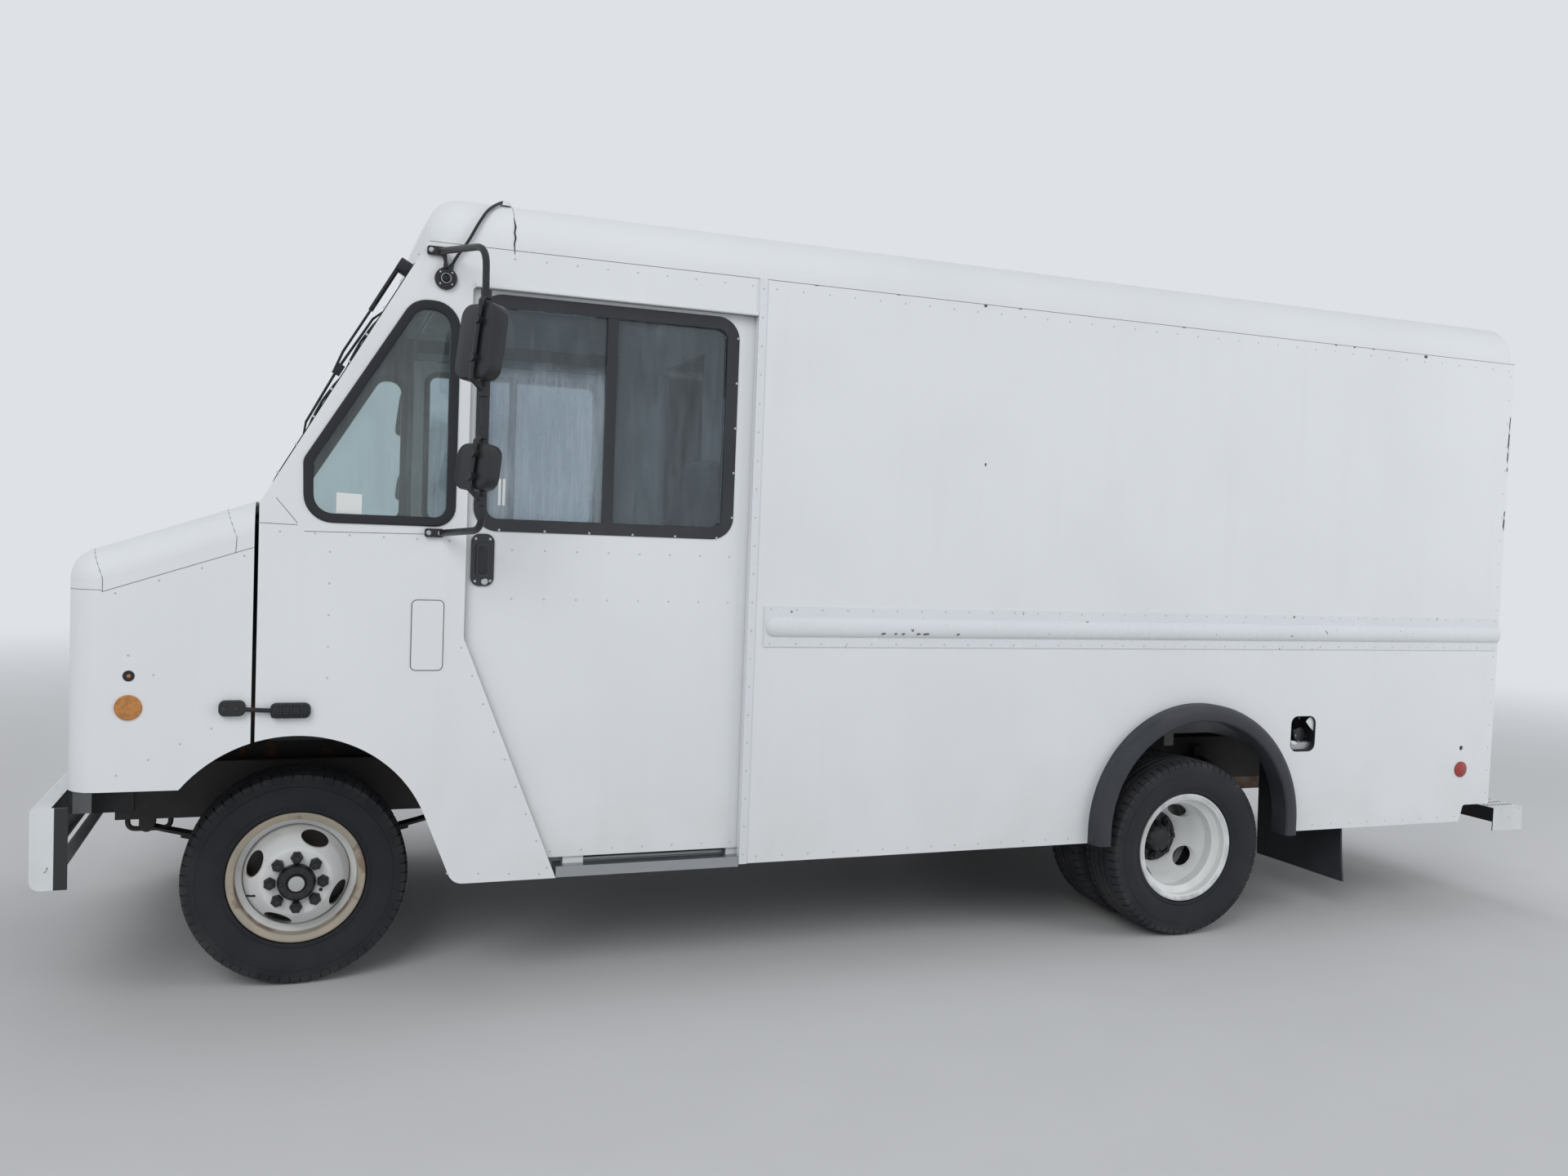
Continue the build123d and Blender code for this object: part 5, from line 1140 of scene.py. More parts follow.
@dataclass
class CadFinishes:
    """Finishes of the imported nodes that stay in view."""

    shop: Workshop
    # Finish name, then the nodes that take it
    plan: tuple[tuple[str, tuple[str, ...]], ...] = (
        ("body_paint", ("side_panel_left", "side_panel_right", "front_cap", "rear_portal", "rear_door")),
        ("recess_paint", ("filler_recess",)),
        ("roof_paint", ("roof",)),
        ("cowl_paint", ("cab_side_left", "cab_side_right", "windshield_frame")),
        ("hood_paint", ("hood",)),
        ("door_paint", ("door_left", "door_right")),
        ("trim_paint", ("body_trim",)),
        ("bumper_paint", ("front_bumper", "rear_bumper")),
        ("wall_panel", ("bulkhead", "pocket_liners")),
        ("chassis_paint", ("frame_rails", "cross_members", "front_axle", "leaf_springs", "rear_axle", "radiator",
                           "seat_base", "knuckle_left", "knuckle_right", "tie_rod")),
        ("frame_paint", ("door_frame_left", "door_frame_right")),
        ("sheet_aluminium", ("floor",)),
        ("sill_aluminium", ("door_tracks",)),
        ("engine_iron", ("engine_block",)),
        ("exhaust_steel", ("exhaust_and_tank",)),
        ("black_plastic", ("steering", "grille_and_hooks")),
        ("grey_plastic", ("dash", "engine_cover")),
        ("window_glass", ("cab_glass",)),
        ("door_window_glass", ("door_glass_left", "door_glass_right")),
    )

    def build(self, nodes: dict[str, bpy.types.Object]) -> None:
        """Gives each node its finish.

        Args:
            nodes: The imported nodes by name.
        """
        for finish, names in self.plan:
            for name in names:
                mesh = nodes[name].data
                mesh.materials.clear()
                mesh.materials.append(self.shop.palette[finish])
        log.info("finishes given")


@dataclass
class Rivets:
    """Rivet and screw rows on the body, hood and doors."""

    shop: Workshop
    radius: float = 0.0042
    height: float = 0.0014
    spacing: float = 0.098

    def body_rows(self, side: Side) -> list[list[Point]]:
        """Lines of rivets on the cab side and the cargo side.

        Args:
            side: Side of the van.

        Returns:
            The lines.
        """
        y = side.value * SIDE_Y
        belt = side.value * (SIDE_Y + 0.005)
        strip = side.value * (SIDE_Y + 0.007)
        # Rows of (Y, stations and heights of the line's points)
        table = (
            (y, ((1.53, 2.425), (5.03, 2.425))),
            (y, ((1.53, 0.418), (2.93, 0.418))),
            (y, ((3.95, 0.418), (4.86, 0.418))),
            (y, ((5.040, 0.52), (5.040, 1.14))),
            (y, ((5.040, 1.35), (5.040, 2.40))),
            (belt, ((1.55, 1.180), (5.03, 1.180))),
            (belt, ((1.55, 1.302), (5.03, 1.302))),
            (strip, ((1.479, 0.43), (1.479, 2.42))),
            (y, ((0.52, 2.428), (1.44, 2.428))),
            (y, ((0.077, 1.063), (0.077, 1.46))),
            (y, ((0.485, 1.16), (0.785, 0.42))),
            (y, ((0.46, 0.42), (0.76, 0.40))),
            (y, ((-0.07, 1.518), (0.44, 1.506))),
            (y, ((-0.08, 1.70), (0.32, 2.41))),
        )
        return [[(at(s), level, z) for s, z in line] for level, line in table]

    def hood_rows(self, side: Side) -> list[list[Point]]:
        """Lines of rivets on the hood's side."""
        y = side.value * SIDE_Y
        table = (((-0.252, 0.909), (-0.51, 0.772)), ((-0.52, 1.318), (-0.17, 1.440)), ((-0.414, 1.074), (-0.483, 1.133)))
        return [[(at(s), y, z) for s, z in line] for line in table]

    def door_rows(self, side: Side) -> list[list[Point]]:
        """Lines of rivets on the door."""
        y = side.value * DOOR_Y
        table = (((0.80, 0.468), (1.44, 0.468)), ((0.644, 1.482), (1.40, 1.482)), ((0.646, 1.321), (1.40, 1.321)))
        return [[(at(s), y, z) for s, z in line] for line in table]

    def screw_rows(self, side: Side) -> list[list[Point]]:
        """Lines of screws on the door's window frame."""
        y = side.value * (DOOR_Y + 0.003)
        table = (((0.599, 1.547), (1.349, 1.547)), ((1.403, 1.62), (1.403, 2.245)))
        return [[(at(s), y, z) for s, z in line] for line in table]

    def build(self) -> None:
        """Sets out every row."""
        palette, repeat = self.shop.palette, self.shop.repeat
        for side in Side:
            jobs = (("body_rivets", self.body_rows(side), self.spacing, self.radius, "rivet_paint", "root",
                     "white_paint"),
                    ("hood_rivets", self.hood_rows(side), 0.0965, self.radius, "rivet_paint", "hood", "white_paint"),
                    ("door_rivets", self.door_rows(side), 0.1016, self.radius, "rivet_paint", f"{side.word}_door",
                     "white_paint"),
                    ("frame_screws", self.screw_rows(side), 0.125, 0.0050, "bright_steel", f"{side.word}_door",
                     "black_frame"))
            for name, rows, spacing, radius, finish, body, slot in jobs:
                head = dome(radius, self.height, Axis.Y, side.value)
                mesh = repeat.along(head, rows, spacing, palette[finish], wear=0.08)
                piece(f"{name}_{side.word}", joined(name, [mesh]), palette[finish], body)


@dataclass
class Seams:
    """Panel joints, the drip moulding over the doors, and marks of age on the body."""

    shop: Workshop
    radius: float = 0.0009
    eaves: float = 2.455
    cap_rear: float = 0.620
    cove: float = 0.150
    nose_front: float = -0.650
    nose_top: float = 1.423
    nose_slope: float = radians(20)
    nose_round: float = 0.090
    nose_seam: float = 1.327

    def cove_path(self, side: Side, station: float, last: float = 90.0) -> list[Point]:
        """Line up over the eaves and round the roof's cove at a station.

        Args:
            side: Side of the van.
            station: Station of the line.
            last: Angle in degrees at which it ends.

        Returns:
            The line's points.
        """
        low = self.eaves + 0.020
        points = [(at(station), side.value * SIDE_Y, self.eaves - 0.001)]
        for i in range(9):
            angle = radians(last * i / 8)
            points.append((at(station), side.value * (SIDE_Y - self.cove + self.cove * cos(angle)),
                           low + self.cove * sin(angle)))
        return points

    def nose_path(self) -> list[Point]:
        """Line round the nose below the hood's rounded top."""
        inner = SIDE_Y - self.nose_round
        points = [(at(-0.141), -SIDE_Y, 1.467), (at(-0.554), -SIDE_Y, 1.322)]
        for i in range(9):
            angle = radians(90 * i / 8)
            points.append((at(self.nose_front + self.nose_round * (1 - sin(angle))),
                           -inner - self.nose_round * cos(angle), self.nose_seam))
        return points + [(x, -y, z) for x, y, z in reversed(points)]

    def corner_path(self, side: Side, station: float, foot: Point) -> list[Point]:
        """Line from a place on the hood's side round its rounded upper edge, square to the slope.

        Args:
            side: Side of the van.
            station: Station of the edge's sharp corner.
            foot: Where the line starts, as (station, 0, height).

        Returns:
            The line's points.
        """
        up = (-sin(self.nose_slope), cos(self.nose_slope))
        top = self.nose_top + (station - self.nose_front) * sin(self.nose_slope) / cos(self.nose_slope)
        points = [(at(foot[0]), side.value * SIDE_Y, foot[2])]
        for i in range(7):
            angle = radians(15 * i)
            lift = self.nose_round * (sin(angle) - 1)
            points.append((at(station) + lift * up[0],
                           side.value * (SIDE_Y - self.nose_round + self.nose_round * cos(angle)), top + lift * up[1]))
        return points

    def body_lines(self, side: Side) -> list[list[Point]]:
        """Lines of the panel joints on one side."""
        y = side.value * SIDE_Y
        table = (((self.cap_rear, self.eaves), (5.062, self.eaves)), ((-0.134, 1.543), (-0.020, 1.540)), ((0.000, 1.521), (0.362, 1.525)),
                 ((0.352, self.eaves), (self.cap_rear, self.eaves)), ((-0.083, 1.622), (-0.020, 1.546)))
        lines = [[(at(s), y, z) for s, z in line] for line in table]
        lines.append(self.cove_path(side, self.cap_rear))
        return lines

    def crack(self) -> Form:
        """Widened joint behind the cap on the left, from the eaves up the cove."""
        line = [(-0.002, 0.0), (0.0015, 8.0), (-0.0015, 15.0), (0.002, 23.0), (0.0, 30.0), (-0.001, 38.0)]
        points = []
        for shift, angle in line:
            turn = radians(angle)
            points.append((at(self.cap_rear + shift), -SIDE_Y + self.cove - (self.cove + 0.0005) * cos(turn),
                           self.eaves + 0.020 + self.cove * sin(turn)))
        points.insert(0, (at(self.cap_rear + 0.001), -SIDE_Y - 0.0005, self.eaves - 0.012))
        return Form().tube(points, [0.0010, 0.0022, 0.0030, 0.0026, 0.0032, 0.0022, 0.0010], 6)

    def drip(self, side: Side) -> Form:
        """Moulding over the door opening."""
        y0, y1 = side.value * SIDE_Y, side.value * (SIDE_Y + 0.010)
        return Form().box((at(0.500), min(y0, y1), 2.326), (at(1.463), max(y0, y1), 2.340), 0.002)

    def marks(self) -> Form:
        """Small chips and peeled spots on the left side."""
        form = Form()
        y = -SIDE_Y - 0.0004
        # Rows of (station, height, length, width)
        table = ((2.361, 2.450, 0.016, 0.012), (4.535, 2.446, 0.020, 0.014), (2.390, 1.860, 0.009, 0.013),
                 (1.68, 2.454, 0.020, 0.004), (2.00, 2.454, 0.012, 0.004), (2.51, 2.453, 0.018, 0.004),
                 (3.26, 2.453, 0.020, 0.004), (4.035, 2.452, 0.010, 0.006), (4.136, 2.452, 0.012, 0.007),
                 (4.239, 2.452, 0.010, 0.005), (5.055, 2.19, 0.007, 0.070), (5.054, 2.11, 0.010, 0.085),
                 (5.053, 2.04, 0.009, 0.050), (5.054, 1.985, 0.007, 0.022), (5.054, 1.785, 0.008, 0.030),
                 (5.053, 1.740, 0.011, 0.055))
        for station, z, length, width in table:
            outline = []
            for i in range(9):
                angle = 2 * pi * i / 9
                reach = 1 + 0.35 * sin(3.1 * i + station * 7)
                outline.append((at(station) + reach * length / 2 * cos(angle), y, z + reach * width / 2 * sin(angle)))
            form.prism(outline, (0, 0.0008, 0))
        strip = ((1.979, 0.018), (2.032, 0.010), (2.062, 0.012), (2.122, 0.016), (2.149, 0.026), (2.289, 0.012))
        for station, length in strip:
            form.prism([(at(station), -SIDE_Y - 0.0208, 1.216), (at(station + length), -SIDE_Y - 0.0206, 1.219),
                        (at(station + length * 0.8), -SIDE_Y - 0.0214, 1.2235),
                        (at(station + length * 0.1), -SIDE_Y - 0.0212, 1.222)], (0, 0.0015, 0))
        return form

    def build(self) -> None:
        """Adds the joints, mouldings and marks."""
        palette = self.shop.palette
        for side in Side:
            form = Form()
            for line in self.body_lines(side):
                form.tube(line, self.radius, 5)
            piece(f"panel_joints_{side.word}", form.mesh("joints"), palette["seam_dark"], "root")
            piece(f"drip_moulding_{side.word}", self.drip(side).mesh("drip"), palette["body_paint"], "root")
        nose = Form().tube(self.nose_path(), self.radius, 5)
        for side in Side:
            for station, foot in ((-0.585, (-0.554, 0.0, 1.322)), (-0.222, (-0.194, 0.0, 1.448))):
                nose.tube(self.corner_path(side, station, foot), self.radius, 5)
        piece("hood_joint", nose.mesh("hood_joint"), palette["seam_dark"], "hood")
        panels = Form()
        for side in Side:
            line = [(at(0.377) + a, side.value * (SIDE_Y + 0.0012), 1.200 + b) for a, b in
                    rounded(0.099, 0.226, 0.016)]
            panels.tube(line + line[:1], 0.0016, 6)
        piece("access_panel_joints", panels.mesh("panels"), palette["seam_dark"], "root")
        seal = Form().lathe([(-0.006, 0.021), (0.003, 0.019), (0.010, 0.013), (0.014, 0.0)],
                            (at(0.600), -1.040, 2.624), Axis.Z, 18, closed=False)
        piece("cable_end_seal", seal.mesh("seal"), palette["trim_paint"], "root")
        piece("cap_joint_crack", self.crack().mesh("crack"), palette["black_rubber"], "root")
        piece("paint_marks", self.marks().mesh("marks"), palette["seam_dark"], "root")


@dataclass
class Tyres:
    """Tyres with ribs, grooves and shoulder blocks."""

    shop: Workshop
    radius: float = 0.360
    half_width: float = 0.110
    bead_radius: float = 0.2045
    groove: float = 0.009
    blocks: int = 66
    steps: int = 120
    front_middle: float = 0.791
    rear_middles: tuple[float, float] = (1.086, 0.820)

    def section(self) -> list[tuple[float, float]]:
        """Half of the tyre's section from the bead to the middle, as (Y distance, radius) rows."""
        crown, low = self.radius - 0.0015, self.radius - self.groove
        wide = self.half_width
        return [(0.074, self.bead_radius), (0.076, 0.2225), (0.088, 0.2245), (0.094, 0.232), (0.092, 0.238),
                (0.101, 0.250), (0.1075, 0.268), (wide, 0.290), (wide - 0.0006, 0.3085), (wide - 0.003, 0.311),
                (wide - 0.004, 0.324), (wide - 0.009, 0.336), (wide - 0.012, low - 0.006), (wide - 0.022, low),
                (0.062, low), (0.058, crown - 0.002), (0.040, crown - 0.001), (0.038, low), (0.030, low),
                (0.028, crown), (0.009, crown), (0.007, low), (0.0, low)]

    def blocks_mesh(self, centre: Point, finish: bpy.types.Material) -> bpy.types.Mesh:
        """Shoulder blocks round both edges of the tread.

        Args:
            centre: Middle of the tyre.
            finish: Rubber material.

        Returns:
            One plain mesh.
        """
        length = 2 * pi * self.radius / self.blocks * 0.40
        item = Form()
        for side in (-1, 1):
            corners = ((0.066, self.radius - 0.002), (0.086, self.radius - 0.0045), (0.101, self.radius - 0.012),
                       (0.1045, self.radius - 0.030), (0.094, self.radius - 0.030), (0.066, self.radius - 0.014))
            item.prism([(-length + side * 0.002, side * y, r) for y, r in corners], (2 * length, 0, 0))
        return self.shop.repeat.around(item, self.blocks, centre, (0, 1, 0), finish)

    def tyre(self, centre: Point, finish: bpy.types.Material) -> list[bpy.types.Mesh]:
        """Body and blocks of one tyre."""
        half = self.section()
        whole = half + [(-y, r) for y, r in reversed(half[:-1])]
        body = Form().lathe(whole, centre, Axis.Y, self.steps)
        return [body.mesh("tyre"), self.blocks_mesh(centre, finish)]

    def build(self) -> None:
        """Makes the six tyres."""
        palette = self.shop.palette
        for side in Side:
            front = self.tyre((at(0), side.value * self.front_middle, WHEEL_Z), palette["front_tyre_rubber"])
            tyre = piece(f"front_tyre_tread_{side.word}", joined("front_tyre", front), palette["front_tyre_rubber"],
                         f"front_{side.word}_wheel")
            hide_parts(f"front_tyre_{side.word}")
            rear = [mesh for middle in self.rear_middles
                    for mesh in self.tyre((at(WHEELBASE), side.value * middle, WHEEL_Z), palette["rear_tyre_rubber"])]
            tyre = piece(f"rear_tyre_treads_{side.word}", joined("rear_tyres", rear), palette["rear_tyre_rubber"],
                         f"rear_{side.word}_wheels")
            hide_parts(f"rear_tyres_{side.word}")


@dataclass
class Rims:
    """Steel rims with oval hand holes, their hubs, drums and nuts."""

    shop: Workshop
    flange_half: float = 0.089
    offset: float = 0.133
    front_middle: float = 0.791
    rear_middles: tuple[float, float] = (1.086, 0.820)
    steps: int = 96
    lugs: int = 8
    lug_circle: float = 0.08255
    nut: tuple[float, float] = (0.0205, 0.028)
    holes: int = 4
    hole_circle: float = 0.141
    hole_half: tuple[float, float] = (0.021, 0.047)
    hole_starts: tuple[float, float] = (67.0, 55.0)
    # Barrel: rows of (depth from the outer flange, radius), outside then back along the inside
    barrel_rows: tuple[tuple[float, float], ...] = (
        (0.0, 0.2125), (0.0012, 0.2180), (0.0048, 0.2200), (0.0095, 0.2180), (0.0125, 0.2120), (0.014, 0.204),
        (0.042, 0.204), (0.058, 0.180), (0.108, 0.180), (0.128, 0.204), (0.164, 0.204), (0.1655, 0.212),
        (0.1685, 0.2180), (0.1732, 0.2200), (0.1768, 0.2180), (0.178, 0.2125), (0.172, 0.196), (0.132, 0.196),
        (0.112, 0.172), (0.054, 0.172), (0.038, 0.196), (0.007, 0.196), (0.0045, 0.199), (0.003, 0.205))
    # Disc: rows of (distance behind the pad, radius), along its face and back
    disc_rows: tuple[tuple[float, float], ...] = (
        (0.0, 0.061), (0.0, 0.104), (0.0015, 0.110), (0.006, 0.116), (0.036, 0.146), (0.043, 0.151), (0.054, 0.156),
        (0.113, 0.172), (0.125, 0.172), (0.063, 0.148), (0.049, 0.142), (0.014, 0.108), (0.009, 0.102), (0.009, 0.061))
    # Hubs, drum and brake disc: rows of (distance outside the pad, radius)
    front_hub: tuple[tuple[float, float], ...] = (
        (0.034, 0.0), (0.034, 0.022), (0.032, 0.026), (0.026, 0.030), (0.029, 0.034), (0.030, 0.050), (0.027, 0.055),
        (0.018, 0.060), (-0.150, 0.060), (-0.150, 0.0283), (-0.020, 0.0283), (-0.020, 0.0))
    front_flange: tuple[tuple[float, float], ...] = ((-0.009, 0.0595), (-0.009, 0.100), (-0.030, 0.100),
                                                     (-0.030, 0.0595))
    brake_disc: tuple[tuple[float, float], ...] = ((-0.130, 0.0595), (-0.130, 0.165), (-0.150, 0.165),
                                                   (-0.150, 0.0595))
    rear_hub: tuple[tuple[float, float], ...] = (
        (0.070, 0.0), (0.070, 0.036), (0.067, 0.041), (0.058, 0.052), (0.020, 0.060), (-0.040, 0.080), (-0.190, 0.080),
        (-0.190, 0.0403), (-0.004, 0.0403), (-0.004, 0.0))
    drum: tuple[tuple[float, float], ...] = ((-0.009, 0.0595), (-0.009, 0.112), (-0.040, 0.165), (-0.150, 0.165),
                                             (-0.150, 0.151), (-0.060, 0.151), (-0.040, 0.0605))

    def turned(self, rows: tuple[tuple[float, float], ...], station: float, side: Side, base: float,
               way: int = 1, closed: bool = True) -> bpy.types.Mesh:
        """Turned part of a wheel.

        Args:
            rows: Rows of (distance, radius).
            station: Station of the axle.
            side: Side of the van.
            base: Distance of row 0 from the van's middle.
            way: 1 where distances grow outward, -1 where they grow inward.
            closed: Whether the last row joins the first.

        Returns:
            Its mesh.
        """
        section = [(side.value * (base + way * along), radius) for along, radius in rows]
        return Form().lathe(section, (at(station), 0.0, WHEEL_Z), Axis.Y, self.steps, closed).mesh("turned")

    def disc(self, middle: float, outset: int, station: float, side: Side) -> bpy.types.Mesh:
        """Disc with its hand holes."""
        pad = middle + outset * self.offset
        cutters = Form()
        y0, y1 = side.value * (pad + outset * 0.01), side.value * (pad - outset * 0.14)
        radial, along = self.hole_half
        for k in range(self.holes):
            angle = radians(self.hole_starts[station > 0] + k * 360 / self.holes)
            ux, uz = cos(angle), sin(angle)
            outline = []
            for i in range(28):
                turn = 2 * pi * i / 28
                a, b = self.hole_circle + radial * cos(turn), along * sin(turn)
                outline.append((at(station) + a * ux - b * uz, y0, WHEEL_Z + a * uz + b * ux))
            cutters.prism(outline, (0, y1 - y0, 0))
        return cut_away(self.turned(self.disc_rows, station, side, pad, -outset), cutters.mesh("cutters"))

    def nuts(self, pad: float, station: float, side: Side) -> bpy.types.Mesh:
        """Capped nuts on the pad."""
        radius, height = self.nut
        out = side.value
        item = Form().lathe([(0.0, radius), (height * 0.72 * out, radius), (height * 0.93 * out, radius * 0.82),
                             (height * out, radius * 0.55), (height * out, 0.0)], (self.lug_circle, 0, 0), Axis.Y, 6,
                            closed=False)
        return self.shop.repeat.around(item, self.lugs, (at(station), side.value * pad, WHEEL_Z), (0, 1, 0),
                                       self.shop.palette["black_plastic"])

    def build(self) -> None:
        """Makes the rims of all six wheels."""
        palette = self.shop.palette
        for side in Side:
            pad = self.front_middle + self.offset
            meshes = [self.turned(self.barrel_rows, 0.0, side, self.front_middle + self.flange_half, -1),
                      self.disc(self.front_middle, 1, 0.0, side),
                      self.turned(self.front_hub, 0.0, side, pad, closed=False),
                      self.turned(self.front_flange, 0.0, side, pad), self.turned(self.brake_disc, 0.0, side, pad),
                      self.nuts(pad, 0.0, side)]
            rim = piece(f"front_wheel_{side.word}", joined("front_wheel", meshes), palette["front_wheel_paint"],
                        f"front_{side.word}_wheel")
            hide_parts(f"front_rim_{side.word}")
            outer, inner = self.rear_middles
            pad = outer - self.offset
            meshes = [self.turned(self.barrel_rows, WHEELBASE, side, middle + self.flange_half, -1)
                      for middle in self.rear_middles]
            meshes += [self.disc(outer, -1, WHEELBASE, side), self.disc(inner, 1, WHEELBASE, side),
                       self.turned(self.rear_hub, WHEELBASE, side, pad, closed=False),
                       self.turned(self.drum, WHEELBASE, side, pad), self.nuts(pad, WHEELBASE, side)]
            rim = piece(f"rear_wheels_{side.word}", joined("rear_wheels", meshes), palette["rear_wheel_paint"],
                        f"rear_{side.word}_wheels")
            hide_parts(f"rear_rims_{side.word}")


@dataclass
class WheelFittings:
    """Stud ends, hub bolts, black spots of painted shade for the locating holes, and valve stems."""

    shop: Workshop
    lugs: int = 8
    lug_circle: float = 0.08255
    front_pad: float = 0.924
    rear_pad: float = 0.953

    def studs(self, centre: Point, side: Side) -> bpy.types.Mesh:
        """Threaded stud ends out of the nuts."""
        reach = side.value * 0.028
        item = Form().lathe([(reach - side.value * 0.004, 0.0145), (reach + side.value * 0.003, 0.0130),
                             (reach + side.value * 0.003, 0.0095), (reach + side.value * 0.009, 0.0088),
                             (reach + side.value * 0.011, 0.0)], (self.lug_circle, 0, 0), Axis.Y, 12, closed=False)
        return self.shop.repeat.around(item, self.lugs, centre, (0, 1, 0), self.shop.palette["black_plastic"])

    def pin_hole(self, centre: Point, side: Side) -> Form:
        """Black spot in the disc between two nuts: painted shade standing for a locating hole."""
        x, y, z = centre
        angle = radians(-22.5)
        out = side.value
        return Form().lathe([(0.0, 0.0065), (0.0012 * out, 0.0060), (0.0006 * out, 0.0)],
                            (x + self.lug_circle * cos(angle), y, z + self.lug_circle * sin(angle)), Axis.Y, 14,
                            closed=False)

    def hub_bolts(self, centre: Point, side: Side, out: float, circle: float) -> bpy.types.Mesh:
        """Ring of bolts round the hub's cap."""
        y = side.value * out
        item = Form().lathe([(y, 0.0062), (y + side.value * 0.006, 0.0062), (y + side.value * 0.007, 0.004),
                             (y + side.value * 0.007, 0.0)], (circle, 0, 0), Axis.Y, 6, closed=False)
        return self.shop.repeat.around(item, self.lugs, centre, (0, 1, 0), self.shop.palette["black_plastic"])

    def valve(self, centre: Point, side: Side, out: float, radius: float) -> Form:
        """Valve stem through a hand hole."""
        x, y, z = centre
        angle = radians(200)
        root = (x + radius * cos(angle), y + side.value * (out - 0.03), z + radius * sin(angle))
        tip = (x + (radius - 0.03) * cos(angle), y + side.value * (out + 0.012), z + (radius - 0.03) * sin(angle))
        return Form().tube([root, tip], 0.0035, 8)

    def build(self) -> None:
        """Adds the fittings to every wheel."""
        palette = self.shop.palette
        for side in Side:
            for place, station, pad, body, bolts in (
                    ("front", 0.0, self.front_pad, f"front_{side.word}_wheel", (0.029, 0.045)),
                    ("rear", WHEELBASE, self.rear_pad, f"rear_{side.word}_wheels", (0.060, 0.047))):
                centre = (at(station), side.value * pad, WHEEL_Z)
                name = f"{place}_{side.word}"
                # The locating hole is a raised black spot of painted shade, not a cut
                studs = [self.studs(centre, side), self.pin_hole(centre, side).mesh("hole")]
                piece(f"wheel_studs_{name}", joined("studs", studs), palette["black_plastic"], body)
                piece(f"hub_bolts_{name}", joined("bolts", [self.hub_bolts(centre, side, *bolts)]),
                      palette["black_plastic"], body)
                out, radius = (-0.035, 0.165) if place == "front" else (0.02, 0.150)
                piece(f"valve_stem_{name}", self.valve(centre, side, out, radius).mesh("valve"),
                      palette["black_rubber"], body)


